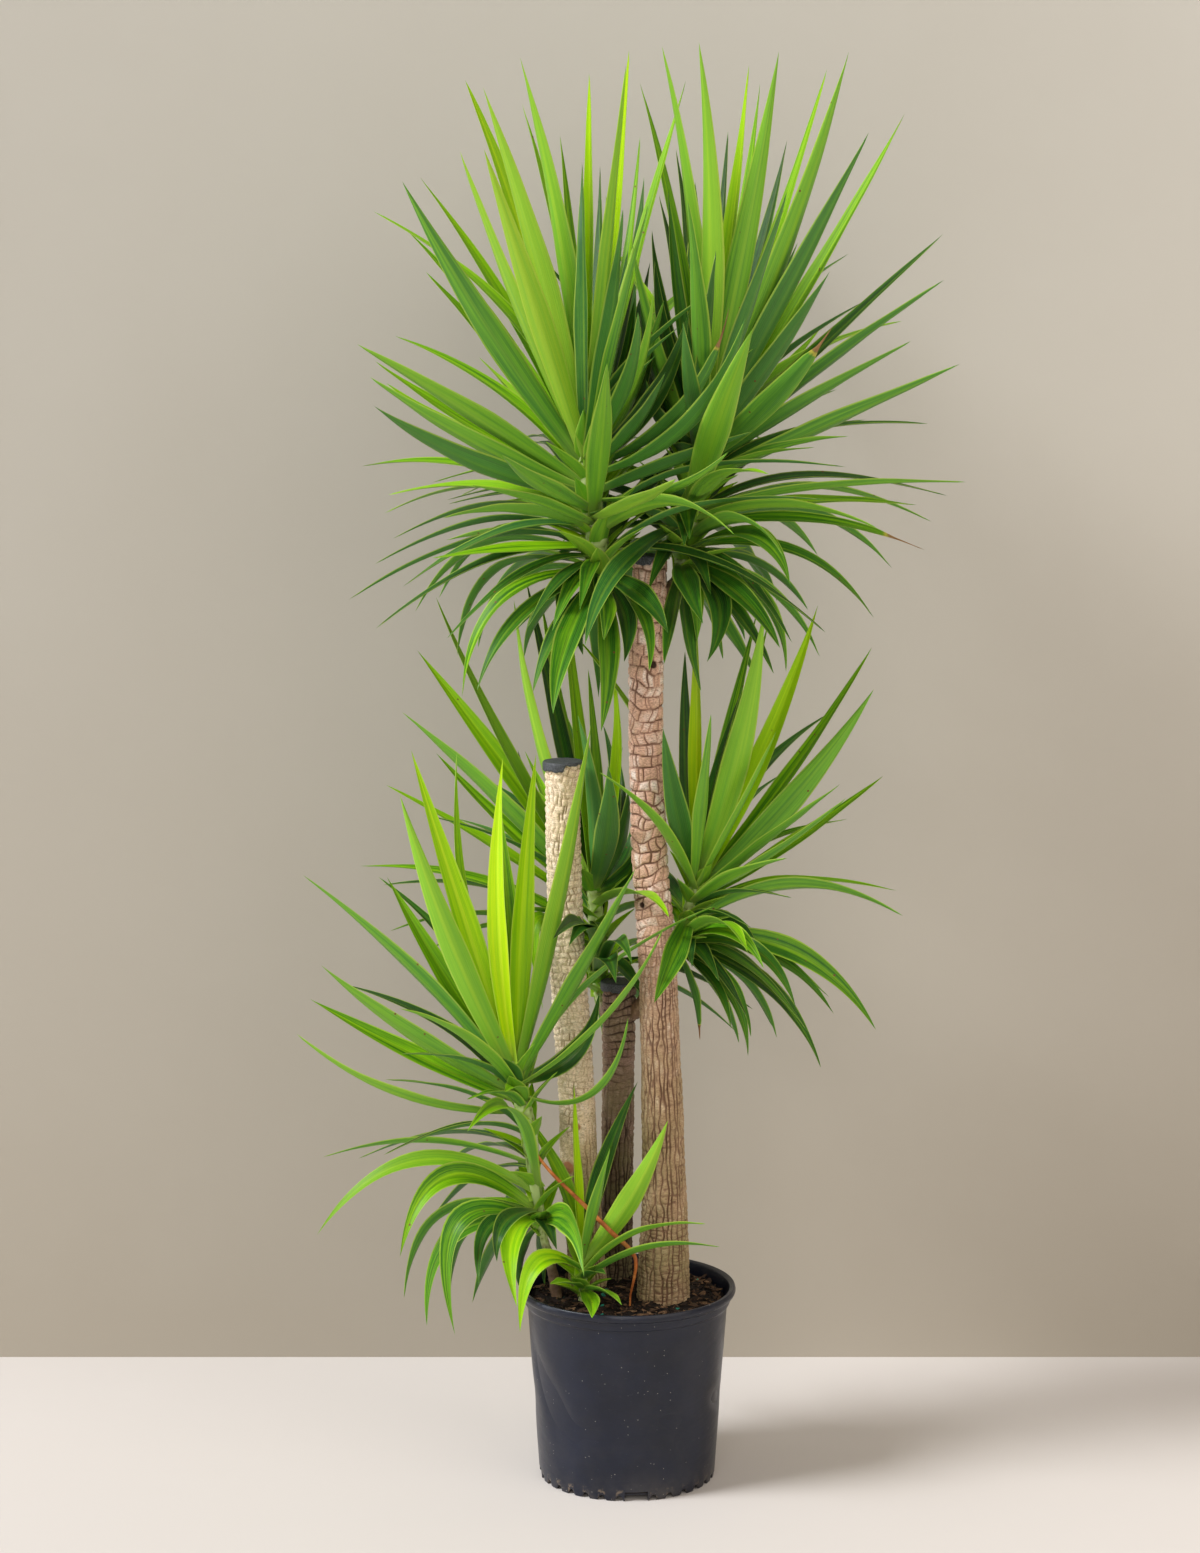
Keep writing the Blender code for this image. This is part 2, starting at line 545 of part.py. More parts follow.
def stitch(low, high):
    """Triangles between two closed rings, each a list of (point index, angle)."""
    faces = []
    i = j = 0
    while i < len(low) or j < len(high):
        next_low = low[(i + 1) % len(low)][1] + 2 * pi * ((i + 1) // len(low))
        next_high = high[(j + 1) % len(high)][1] + 2 * pi * ((j + 1) // len(high))
        a = low[i % len(low)][0]
        b = high[j % len(high)][0]
        if j >= len(high) or (i < len(low) and next_low <= next_high + 1e-6):
            faces.append((a, low[(i + 1) % len(low)][0], b))
            i += 1
        else:
            faces.append((a, high[(j + 1) % len(high)][0], b))
            j += 1
    return faces


def fan(pole, ring):
    """Triangles from one point to a closed ring."""
    return [(pole, ring[k][0], ring[(k + 1) % len(ring)][0]) for k in range(len(ring))]


def even_angles(count):
    """Angles of an evenly divided turn."""
    return [2 * pi * k / count for k in range(count)]


def notch_angles():
    """Angles of the foot's points: two sides and the top of each small notch."""
    half = 0.5 * NOTCH_WIDTH / FOOT_RADIUS
    angles = []
    for k in range(NOTCH_COUNT):
        middle = 2 * pi * (k + 0.5) / NOTCH_COUNT
        angles += [middle - half, middle, middle + half]
    return angles


def turned(profile):
    """Points and triangles of a turned shape.

    The profile runs from the axis below, round the outside, to the axis above. Each
    entry is (radius, height) or (radius, list of heights, list of angles).
    """
    points = []
    rings = []
    for entry in profile:
        radius, heights = entry[0], entry[1]
        if radius == 0.0:
            points.append((0.0, 0.0, heights))
            rings.append([(len(points) - 1, 0.0)])
            continue
        angles = entry[2] if len(entry) > 2 else even_angles(POT_SIDES)
        ring = []
        for k, angle in enumerate(angles):
            height = heights[k] if isinstance(heights, list) else heights
            points.append((radius * cos(angle), radius * sin(angle), height))
            ring.append((len(points) - 1, angle))
        rings.append(ring)
    faces = []
    for low, high in zip(rings, rings[1:]):
        if len(low) == 1:
            faces += fan(low[0][0], high)
        elif len(high) == 1:
            faces += fan(high[0][0], low)
        else:
            faces += stitch(low, high)
    return points, faces


def drain_cutters():
    """One block for each wide drain slot in the foot and the wall's lower corner."""
    cutters = []
    for k in range(DRAIN_COUNT):
        angle = -pi / 2 + DRAIN_TURN + 2 * pi * k / DRAIN_COUNT
        outward = Vector((cos(angle), sin(angle), 0.0))
        sideways = Vector((-sin(angle), cos(angle), 0.0))
        points = []
        for radius in (FOOT_RADIUS - 0.008, FOOT_RADIUS + 0.012):
            for across in (-0.5 * DRAIN_WIDTH, 0.5 * DRAIN_WIDTH):
                for height in (-0.005, DRAIN_HEIGHT):
                    place = outward * radius + sideways * across
                    points.append((place.x, place.y, height))
        cutters.append(new_object("drain", points, BLOCK_FACES))
    return cutters


def inner_radius(height):
    """Radius of the pot's inner wall at a height."""
    share = height / (POT_HEIGHT - BAND_DROP)
    return FOOT_RADIUS + (WALL_TOP_RADIUS - FOOT_RADIUS) * share - WALL


def make_pot():
    """The pot: foot ring with notches, tapered wall, ledge, band and rolled lip."""
    angles = notch_angles()
    foot = [0.0, NOTCH_HEIGHT, 0.0] * NOTCH_COUNT
    foot_inside = [0.0, CHANNEL_HEIGHT, 0.0] * NOTCH_COUNT
    ledge = POT_HEIGHT - BAND_DROP
    lip = POT_HEIGHT - LIP_DROP
    profile = [
        (0.0, 0.0),
        (FLOOR_RADIUS, 0.0),
        (FLOOR_RADIUS + 0.004, CHANNEL_HEIGHT),
        (FOOT_RADIUS - 0.007, CHANNEL_HEIGHT),
        (FOOT_RADIUS - 0.004, foot_inside, angles),
        (FOOT_RADIUS, foot, angles),
        (FOOT_RADIUS + 0.001, 0.012),
        (0.5 * (FOOT_RADIUS + WALL_TOP_RADIUS), 0.5 * ledge),
        (WALL_TOP_RADIUS, ledge),
        (WALL_TOP_RADIUS + 0.0040, ledge + 0.003),
        (WALL_TOP_RADIUS + 0.0055, lip - 0.003),
        (RIM_RADIUS - 0.001, lip),
        (RIM_RADIUS, lip + 0.005),
        (RIM_RADIUS - 0.002, POT_HEIGHT),
        (RIM_RADIUS - 0.009, POT_HEIGHT - 0.002),
        (inner_radius(ledge), ledge - 0.004),
        (inner_radius(FLOOR_TOP), FLOOR_TOP),
        (0.0, FLOOR_TOP),
    ]
    points, faces = turned(profile)
    pot = new_object("pot", points, faces, plain_material("pot", (0.045, 0.05, 0.065), 0.5))
    apply_boolean(pot, drain_cutters(), "DIFFERENCE")
    smooth(pot, 35.0)
    return pot


def soil_height(x, y):
    """Height of the mulch: a low mound that rises towards the back, with chips."""
    chips = sin(61.0 * x + 3.0) * cos(53.0 * y) + 0.6 * sin(117.0 * x - 89.0 * y)
    return SOIL_TOP + SOIL_RISE_BEHIND * (0.5 + y / 0.3) + SOIL_BUMP * 0.5 * chips


def make_soil(holes):
    """The mulch that fills the pot, with a plain hole for each cane and stem."""
    bottom = FLOOR_TOP + GAP
    top_radius = inner_radius(SOIL_TOP + SOIL_EDGE) - GAP
    points = [(0.0, 0.0, bottom)]
    rings = []
    walls = ((inner_radius(bottom) - GAP, bottom), (top_radius, SOIL_TOP))
    for radius, height in walls:
        turn = even_angles(POT_SIDES)
        rings.append([(len(points) + k, a) for k, a in enumerate(turn)])
        points += [(radius * cos(a), radius * sin(a), height) for a in turn]
    for ring in range(1, SOIL_RINGS):
        radius = (top_radius - SOIL_EDGE) * (1.0 - ring / SOIL_RINGS)
        turn = even_angles(POT_SIDES - 8 * ring)
        rings.append([(len(points) + k, a) for k, a in enumerate(turn)])
        for a in turn:
            x = radius * cos(a)
            y = radius * sin(a)
            points.append((x, y, soil_height(x, y)))
    points.append((0.0, 0.0, soil_height(0.0, 0.0)))
    faces = fan(0, rings[0]) + fan(len(points) - 1, rings[-1])
    for low, high in zip(rings, rings[1:]):
        faces += stitch(low, high)
    soil = new_object("soil", points, faces, plain_material("soil", (0.03, 0.02, 0.015), 0.95))
    apply_boolean(soil, holes, "DIFFERENCE")
    return soil


def tube(name, centres, radii, sides, material=None):
    """A closed tube along a list of centres, with a radius at each."""
    points = []
    faces = []
    count = len(centres)
    side = Vector((1.0, 0.0, 0.0))
    for k, centre in enumerate(centres):
        ahead = centres[min(k + 1, count - 1)] - centres[max(k - 1, 0)]
        ahead.normalize()
        side = (side - ahead * side.dot(ahead)).normalized()
        over = ahead.cross(side)
        for n in range(sides):
            angle = 2 * pi * n / sides
            points.append(centre + (side * cos(angle) + over * sin(angle)) * radii[k])
    for k in range(count - 1):
        faces += ring_faces(k, k + 1, sides)
    faces.append(tuple(range(sides)))
    faces.append(tuple((count - 1) * sides + n for n in range(sides)))
    return new_object(name, points, faces, material)


def line_of(stations, steps):
    """Centres and radii along a smooth line through stations, evenly spaced in number."""
    places = [seen(s.px, s.py, s.depth) for s in stations]
    radii = [s.radius for s in stations]
    last = len(places) - 1
    centres = []
    sizes = []
    for k in range(steps + 1):
        at = last * k / steps
        n = min(int(at), last - 1)
        t = at - n
        before = places[max(n - 1, 0)]
        after = places[min(n + 2, last)]
        start, end = places[n], places[n + 1]
        bend_in = (end - before) * 0.5
        bend_out = (after - start) * 0.5
        point = (
            start * (2 * t**3 - 3 * t**2 + 1)
            + bend_in * (t**3 - 2 * t**2 + t)
            + end * (3 * t**2 - 2 * t**3)
            + bend_out * (t**3 - t**2)
        )
        centres.append(point)
        sizes.append(radii[n] * (1 - t) + radii[n + 1] * t)
    return centres, sizes


def cane_line(stations):
    """Centres and radii of a cane from its cut top to its buried end."""
    top = seen(stations[0].px, stations[0].py, stations[0].depth)
    foot = seen(stations[-1].px, stations[-1].py, stations[-1].depth)
    steps = max(2, round((top.z - foot.z) / CANE_RING_STEP))
    centres, radii = line_of(stations, steps)
    centres.append(Vector((foot.x, foot.y, CANE_BOTTOM)))
    radii.append(radii[-1] * 0.97)
    return centres, radii


def make_cane(name, stations, colour, grow=0.0):
    """A cane with the slight swell and pinch of its old leaf rings."""
    centres, radii = cane_line(stations)
    sizes = []
    for k, radius in enumerate(radii):
        swell = 0.0006 * sin(2.1 * k + len(stations)) if 0 < k < len(radii) - 2 else 0.0
        sizes.append(radius + swell + grow)
    if grow:
        centres[0] = centres[0] + Vector((0.0, 0.0, grow))
        centres[-1] = centres[-1] - Vector((0.0, 0.0, grow))
        return tube(name, centres, sizes, CANE_SIDES)
    cane = tube(name, centres, sizes, CANE_SIDES, plain_material(name, colour, 0.85))
    smooth(cane, 50.0)
    return cane


def wax_drip(angle):
    """Share of the skirt's height that the wax runs down at an angle round the cane."""
    return 0.45 + 0.35 * max(0.0, -cos(angle)) + 0.2 * sin(3 * angle)


def make_wax(name, stations, skirt):
    """A wax cap: a thin lid with a short uneven skirt round the cane's cut top."""
    centres, radii = cane_line(stations)
    down = (centres[1] - centres[0]).normalized()
    side = Vector((1.0, 0.0, 0.0))
    side = (side - down * side.dot(down)).normalized()
    over = down.cross(side)
    inside = radii[0] + 0.0006 + GAP
    outside = inside + WAX_THICK
    angles = even_angles(CANE_SIDES)
    hem = [skirt * wax_drip(angle) for angle in angles]
    level = [0.0] * CANE_SIDES
    rings = (
        (inside, hem),
        (outside, hem),
        (outside, level),
        (outside - 0.002, [-WAX_THICK] * CANE_SIDES),
        (inside, [-GAP] * CANE_SIDES),
    )
    points = []
    for radius, drops in rings:
        for angle, drop in zip(angles, drops):
            reach = side * cos(angle) + over * sin(angle)
            points.append(centres[0] + reach * radius + down * drop)
    faces = ring_faces(0, 1) + ring_faces(1, 2) + ring_faces(2, 3) + ring_faces(0, 4)
    faces.append(tuple(3 * CANE_SIDES + n for n in range(CANE_SIDES)))
    faces.append(tuple(4 * CANE_SIDES + n for n in range(CANE_SIDES)))
    wax = new_object(name, points, faces, plain_material(name, (0.05, 0.055, 0.065), 0.55))
    smooth(wax, 40.0)
    return wax


def ring_faces(one, other, sides=CANE_SIDES):
    """Four-sided faces between two rings of points, given by the rings' numbers."""
    faces = []
    for n in range(sides):
        following = (n + 1) % sides
        faces.append(
            (one * sides + n, one * sides + following, other * sides + following, other * sides + n)
        )
    return faces


def wax_room(stations, skirt):
    """The room of a wax cap, enlarged by the gap that its neighbours keep."""
    centres, radii = cane_line(stations)
    down = (centres[1] - centres[0]).normalized()
    ends = [centres[0] - down * (WAX_THICK + GAP), centres[0] + down * (skirt + GAP)]
    radius = radii[0] + WAX_THICK + 0.0016
    return tube("wax_room", ends, [radius, radius], CANE_SIDES)


class Blade:
    """One leaf: a quadratic curve root, bend, tip, and the tilt of its width.

    Such a curve lies in a plane. The width keeps one angle to that plane all the way, so
    the blade never turns over. Where the bend is sharp, the angle stays near a right one,
    so that the inner edge stays open.
    """

    def __init__(self, root, bend, tip, across, width):
        self.root = root
        self.bend = bend
        self.tip = tip
        self.width = width
        start = bend - root
        end = tip - bend
        middle = (tip - root).normalized()
        across = (across - middle * across.dot(middle)).normalized()
        turn = start.cross(end)
        self.normal = turn.normalized() if turn.length > NO_BEND else across
        self.tilt = across.dot(self.normal.cross(middle))
        share = min(1.0, max(0.0, start.dot(start - end) / (start - end).length_squared))
        slowest = start.lerp(end, share).length
        sharpness = 0.5 * width * turn.length / (2.0 * slowest**3)
        limit = min(1.0, OPEN_EDGE / max(sharpness, OPEN_EDGE))
        self.tilt = min(limit, max(-limit, self.tilt))
        self.flat = sqrt(max(0.0, 1.0 - self.tilt**2))
        if across.dot(self.normal) < 0.0:
            self.flat = -self.flat

    def place(self, t):
        """Point of the midline at t from 0 (root) to 1 (tip)."""
        return self.root * (1 - t) ** 2 + self.bend * (2 * t * (1 - t)) + self.tip * t**2

    def frame(self, t):
        """Directions along, across and above the blade at t."""
        along = (self.bend - self.root) * (1 - t) + (self.tip - self.bend) * t
        along.normalize()
        across = self.normal * self.flat + self.normal.cross(along) * self.tilt
        return along, across, across.cross(along)

    def half_width(self, t):
        """Half the width at t: narrow at the root, widest past the middle."""
        return 0.5 * self.width * leaf_profile(t)


def leaf_profile(t):
    """Share of the full width at t: narrow at the root, up to 1, then a long point."""
    swelling = 0.36 + 0.64 * sin(0.5 * pi * min(t / 0.52, 1.0)) ** 1.3
    point = 1.0 if t < 0.52 else max(0.0, 1.0 - ((t - 0.52) / 0.48) ** 1.7)
    return swelling * point


def blade_mesh(blade, stations, margin):
    """Points and faces of a closed V-folded blade: left edge, top, right edge, keel."""
    points = []
    faces = []
    for t in stations:
        along, across, above = blade.frame(t)
        middle = blade.place(t)
        half = blade.half_width(t) + margin
        lift = above * (LEAF_FOLD * half)
        depth = above * (LEAF_THICK * (1.0 - 0.55 * t) + margin)
        points.append(middle - across * half + lift)
        points.append(middle + above * margin)
        points.append(middle + across * half + lift)
        points.append(middle - depth)
    points.append(blade.tip)
    for k in range(len(stations) - 1):
        for n in range(4):
            a = 4 * k + n
            b = 4 * k + (n + 1) % 4
            faces.append((a, b, b + 4))
            faces.append((a, b + 4, a + 4))
    end = 4 * (len(stations) - 1)
    tip = len(points) - 1
    for n in range(4):
        faces.append((end + n, end + (n + 1) % 4, tip))
    faces += [(0, 2, 1), (0, 3, 2)]
    return points, faces


def stem_place(head, share):
    """Point of a stem at a share of its crown, from 0 at the lowest leaf to 1 at its top."""
    centres, _ = line_of(head.stem, 40)
    at = (head.crown + (1.0 - head.crown) * share) * 40
    n = min(int(at), 39)
    return centres[n].lerp(centres[n + 1], at - n)


def root_share(elevation, order):
    """Where on the crown a leaf grows: drooping leaves low, upright ones at the top.

    The leaf's order moves it a little, so that no two leaves start at one point.
    """
    share = min(0.94, max(0.04, 0.08 + 0.88 * (elevation + 60.0) / 135.0))
    return share + 0.05 * ((order * 0.618034) % 1.0)


def soft_limit(share):
    """A share kept between the crown's ends, with no two shares made equal."""
    return 0.03 + 0.91 / (1.0 + exp(-5.0 * (share - 0.5)))


def full_length(head, elevation):
    """Length of a leaf by its elevation in degrees: upright, level and drooping."""
    upright, level, drooping = head.length
    if elevation >= 0.0:
        share = min(1.0, elevation / 65.0)
        return level + (upright - level) * share
    share = min(1.0, -elevation / 50.0)
    return level + (drooping - level) * share


def facing_across(along, outward, apparent_share):
    """Direction of the width that shows the given share of itself to the front view.

    It starts from the natural one, level and square to the stem, and turns round the
    leaf's own line as little as it has to.
    """
    natural = outward.cross(Vector((0.0, 0.0, 1.0)))
    if natural.length < 0.05:
        natural = Vector((1.0, 0.0, 0.0))
    natural = (natural - along * natural.dot(along)).normalized()
    flat = along.cross(Vector((0.0, 1.0, 0.0)))
    if flat.length < 0.2:
        return natural
    flat.normalize()
    lean = along.cross(flat)
    now = atan2(natural.dot(lean), natural.dot(flat))
    wanted = acos(min(1.0, max(0.0, apparent_share)))
    best = min(
        (wanted, -wanted, pi - wanted, wanted - pi),
        key=lambda angle: abs((angle - now + pi) % (2 * pi) - pi),
    )
    return flat * cos(best) + lean * sin(best)


def shown_blade(head, leaf, order, depth_shift, bend_shift, root_shift):
    """The blade of a leaf that the front view shows, with shifts that bend it clear."""
    middle = stem_place(head, 0.55)
    flat_tip = seen(*leaf.tip, middle.y)
    rise = flat_tip.z - middle.z
    run = abs(flat_tip.x - middle.x)
    share = root_share(degrees(atan2(rise, run + 1e-6)), order)
    if leaf.at is not None:
        share = leaf.at + 0.003 * order
    share = soft_limit(share + root_shift)
    root = stem_place(head, share)
    root.y += ROOT_SPREAD * ((order * 0.754878) % 1.0 - 0.5)
    flat_tip = seen(*leaf.tip, root.y)
    apparent = (flat_tip - root).length
    length = full_length(head, degrees(atan2(flat_tip.z - root.z, run + 1e-6)))
    hidden = sqrt(max(length**2 - apparent**2, (0.15 * apparent) ** 2))
    depth = root.y - leaf.near * hidden + depth_shift
    tip = seen(*leaf.tip, depth)
    near_past = seen(*leaf.past, root.y)
    way = (near_past - root).length
    t = way / (way + (flat_tip - near_past).length)
    t = min(0.72, max(0.3, t))
    bow = 0.35 * (depth - root.y) * t * (1 - t)
    through = seen(*leaf.past, root.y + (depth - root.y) * t + bow + bend_shift)
    bend = (through - root * (1 - t) ** 2 - tip * t**2) / (2 * t * (1 - t))
    along = (tip - root).normalized()
    outward = Vector((tip.x - root.x, tip.y - root.y, 0.0))
    shown = leaf.wide * metres_per_pixel(through)
    width = max(head.width * (0.80 if leaf.wide < 15 else 1.0), shown)
    across = facing_across(along, outward, shown / width)
    return Blade(root, bend, tip, across, width)


def hidden_blade(head, order, turn_shift, lift_shift, root_shift):
    """A blade behind the stem, by the golden angle and a seeded draw."""
    count = head.behind
    draw = np.random.default_rng(head.seed * 100 + order)
    golden = pi * (3.0 - sqrt(5.0))
    turn = (golden * order + head.seed) % pi
    turn = radians(15.0) + turn * (150.0 / 180.0) + turn_shift
    elevation = -40.0 + 105.0 * order / max(1, count - 1) + draw.uniform(-8.0, 8.0)
    elevation += degrees(lift_shift)
    share = root_share(elevation, order + 0.5) + root_shift
    root = stem_place(head, soft_limit(share))
    length = full_length(head, elevation) * draw.uniform(0.78, 0.98)
    level = Vector((cos(turn), sin(turn), 0.0))
    start_up = radians(min(85.0, elevation + 30.0))
    first = level * cos(start_up) + Vector((0.0, 0.0, sin(start_up)))
    end = level * cos(radians(elevation)) + Vector((0.0, 0.0, sin(radians(elevation))))
    tip = root + end * length * 0.96
    bend = root + first * length * 0.45
    across = facing_across((tip - root).normalized(), level, 0.6)
    return Blade(root, bend, tip, level.cross(Vector((0, 0, 1))).lerp(across, 0.3), head.width)


TEST_STATIONS = (0.0, 0.14, 0.30, 0.50, 0.70, 0.86, 0.96)
OUTER_STATIONS = (0.14, 0.30, 0.50, 0.70, 0.86, 0.96)


class Placed:
    """A blade that has its place, with the trees that later blades are tested against."""

    def __init__(self, head, blade):
        self.head = head
        self.blade = blade
        self.built = True
        self.whole, points = blade_tree(blade, TEST_STATIONS)
        self.outer, _ = blade_tree(blade, OUTER_STATIONS)
        self.low, self.high = corners_of(points)


def blade_tree(blade, stations):
    """Search tree and points of a slightly enlarged blade."""
    points, faces = blade_mesh(blade, stations, CLEARANCE)
    return BVHTree.FromPolygons(points, faces), points


def corners_of(points):
    """Lowest and highest corner of a list of points."""
    grid = np.array([tuple(p) for p in points])
    return grid.min(axis=0), grid.max(axis=0)


def obstacle_of(obj):
    """Search tree and corners of a solid that no leaf may cross."""
    points = [vert.co.copy() for vert in obj.data.vertices]
    faces = [tuple(face.vertices) for face in obj.data.polygons]
    low, high = corners_of(points)
    return BVHTree.FromPolygons(points, faces), low, high


def crossings(new, placed, obstacles):
    """How often a blade crosses other nodes, and how often leaves of its own head."""
    foreign = 0
    own = 0
    for owner, (tree, low, high) in obstacles:
        if owner == new.head or (new.low > high).any() or (new.high < low).any():
            continue
        foreign += bool(new.whole.overlap(tree))
    for other in placed:
        if (new.low > other.high).any() or (new.high < other.low).any():
            continue
        if other.head == new.head:
            own += bool(new.outer.overlap(other.outer))
        else:
            foreign += bool(new.whole.overlap(other.whole))
    return foreign, own


def settle(head_name, candidates, placed, obstacles):
    """The first candidate that crosses nothing, or the one that crosses its head least."""
    best = None
    for blade in candidates:
        new = Placed(head_name, blade)
        foreign, own = crossings(new, placed, obstacles)
        if foreign == 0 and own == 0:
            return new
        if foreign == 0 and (best is None or own < best[0]):
            best = (own, new)
    return best[1] if best else None


def shifts(seed, reach):
    """Seeded shifts of three kinds, none at first and wider with each try."""
    draw = np.random.default_rng(seed)
    for k in range(TRIES):
        yield draw.normal(size=3) * np.array(reach) * (k / TRIES)


def place_leaves(obstacles):
    """Every leaf of every head, each bent clear of the canes and of the other heads."""
    placed = []
    for head in HEADS:
        for order, leaf in enumerate(head.leaves):
            candidates = (
                shown_blade(head, leaf, order, *shift)
                for shift in shifts(
                    SEED_STEP * head.seed + order, (DEPTH_SHIFT, BEND_SHIFT, ROOT_SHIFT)
                )
            )
            found = settle(head.name, candidates, placed, obstacles)
            if found:
                found.built = leaf.wide > NARROW_PX
                placed.append(found)
    for head in HEADS:
        for order in range(head.behind):
            candidates = (
                hidden_blade(head, order, *shift)
                for shift in shifts(
                    SEED_STEP * head.seed + HIDDEN_SEED + order,
                    (TURN_SHIFT, TURN_SHIFT, ROOT_SHIFT),
                )
            )
            found = settle(head.name, candidates, placed, obstacles)
            if found:
                placed.append(found)
    return placed


def blade_stations(blade):
    """Rings for a blade: more where it bends more between its root and its tip."""
    turn = (blade.bend - blade.root).angle(blade.tip - blade.bend)
    if turn < SLIGHT_BEND:
        return (0.0, 0.46, 0.79)
    if turn < STRONG_BEND:
        return (0.0, 0.28, 0.55, 0.81)
    return (0.0, 0.22, 0.42, 0.62, 0.83)


def touches_itself(obj):
    """Whether welding near points would leave an edge with other than two faces."""
    mesh = obj.data
    grid = np.empty(3 * len(mesh.vertices), np.float32)
    mesh.vertices.foreach_get("co", grid)
    mesh.calc_loop_triangles()
    corners = np.empty(3 * len(mesh.loop_triangles), np.int32)
    mesh.loop_triangles.foreach_get("vertices", corners)
    for near in SAME_PLACE:
        rounded = np.round(grid.reshape(-1, 3) / near).astype(np.int64)
        _, index = np.unique(rounded, axis=0, return_inverse=True)
        faces = index.reshape(-1)[corners.reshape(-1, 3)]
        first, second, third = faces.T
        faces = faces[(first != second) & (second != third) & (first != third)]
        pairs = np.concatenate([faces[:, [0, 1]], faces[:, [1, 2]], faces[:, [2, 0]]])
        _, counts = np.unique(np.sort(pairs, axis=1), axis=0, return_counts=True)
        if (counts != 2).any():
            return True
    return False


def join_head(head, placed, margin):
    """The stem and blades of one head as one body, cut clear of the canes."""
    centres, radii = line_of(head.stem, len(head.stem) - 1)
    stem = tube(head.name, centres, radii, STEM_SIDES)
    blades = []
    for k, one in enumerate(p for p in placed if p.head == head.name and p.built):
        stations = blade_stations(one.blade)
        points, faces = blade_mesh(one.blade, stations, margin)
        blades.append(new_object(f"{head.name}_leaf_{k}", points, faces))
    apply_boolean(stem, blades, "UNION", "MANIFOLD")
    apply_boolean(stem, all_rooms(), "DIFFERENCE", "MANIFOLD")
    keep_outer_body(stem)
    return stem


def make_head(head, placed, colour):
    """One leafy stem. A union that touches itself is made again a little thicker."""
    for attempt in range(JOIN_TRIES):
        stem = join_head(head, placed, attempt * THICKER)
        if not touches_itself(stem):
            break
        bpy.data.objects.remove(stem, do_unlink=True)
    else:
        raise RuntimeError(head.name + " touches itself at every thickness")
    stem.data.materials.clear()
    stem.data.materials.append(plain_material(head.name, colour, 0.45))
    smooth(stem, 30.0)
    return stem


def make_dry_leaf(grow=0.0):
    """The thin dry leaf: a flat strip that follows its line and curls at the soil."""
    centres, radii = line_of(DRY_LEAF, DRY_LEAF_STEPS)
    end = centres[-1]
    end.z = soil_height(end.x, end.y) + DRY_LEAF_THICK
    points = []
    faces = []
    for k, centre in enumerate(centres):
        before = centres[max(k - 1, 0)]
        after = centres[min(k + 1, DRY_LEAF_STEPS)]
        ahead = (after - before).normalized()
        across = ahead.cross(Vector((0.0, 1.0, 0.0))).normalized()
        above = across.cross(ahead) * (0.5 * DRY_LEAF_THICK + grow)
        edge = across * (radii[k] + grow)
        fold = above * 1.5
        points += [centre - edge + fold, centre + above, centre + edge + fold, centre - above]
    for k in range(DRY_LEAF_STEPS):
        faces += ring_faces(k, k + 1, 4)
    last = 4 * DRY_LEAF_STEPS
    faces += [(0, 1, 2, 3), (last + 3, last + 2, last + 1, last)]
    return new_object("dry_leaf", points, faces, plain_material("dry_leaf", (0.45, 0.16, 0.04), 0.6))


def stem_cutter(head, grow):
    """A head's bare stem, enlarged: the hole it needs, or what leaves keep clear of."""
    centres, radii = line_of(head.stem, len(head.stem) - 1)
    return tube(head.name + "_room", centres, [r + grow for r in radii], STEM_SIDES)


def obstacles_of_leaves():
    """Canes, wax caps' room, pot rim, soil and stems, slightly enlarged."""
    found = []
    rooms = [("", make_cane("room", stations, None, 0.003)) for stations in CANES]
    rooms += [(head.name, stem_cutter(head, 0.0015)) for head in HEADS]
    rooms.append(("", rim_room()))
    rooms.append(("", make_dry_leaf(CLEARANCE)))
    for owner, obj in rooms:
        found.append((owner, obstacle_of(obj)))
        bpy.data.objects.remove(obj, do_unlink=True)
    return found


def rim_room():
    """The pot's lip and wall and the soil, slightly enlarged, as one closed shape."""
    profile = [
        (0.0, 0.005),
        (WALL_TOP_RADIUS + 0.005, 0.010),
        (WALL_TOP_RADIUS + 0.008, POT_HEIGHT - 0.020),
        (RIM_RADIUS + 0.002, POT_HEIGHT - LIP_DROP - 0.002),
        (RIM_RADIUS + 0.002, POT_HEIGHT + 0.002),
        (RIM_RADIUS - 0.012, POT_HEIGHT + 0.001),
        (RIM_RADIUS - 0.016, SOIL_TOP + 0.008),
        (0.0, SOIL_TOP + 0.010),
    ]
    return new_object("rim_room", *turned(profile))


def cane_rooms():
    """The canes, enlarged by the gap that their neighbours keep."""
    return [make_cane(f"room_{n}", stations, None, GAP) for n, stations in enumerate(CANES)]


def all_rooms():
    """The canes and their wax caps, enlarged by the gap."""
    return cane_rooms() + [wax_room(stations, WAX_SKIRT) for stations in CANES]


def main():
    """Builds every piece in the order pot, canes, leaves, soil."""
    clear_scene()
    placed = place_leaves(obstacles_of_leaves())
    make_pot()
    make_cane("cane_tall", TALL_CANE, (0.30, 0.17, 0.11))
    make_cane("cane_medium", MEDIUM_CANE, (0.52, 0.42, 0.30))
    make_cane("cane_short", SHORT_CANE, (0.16, 0.10, 0.07))
    for name, stations in zip(("wax_tall", "wax_medium", "wax_short"), CANES):
        make_wax(name, stations, WAX_SKIRT)
    for head in HEADS:
        make_head(head, placed, (0.13, 0.30, 0.05))
    make_dry_leaf()
    make_soil(cane_rooms() + [stem_cutter(LOWER_LEFT, GAP), stem_cutter(FRONT_SHOOT, GAP)])


main()
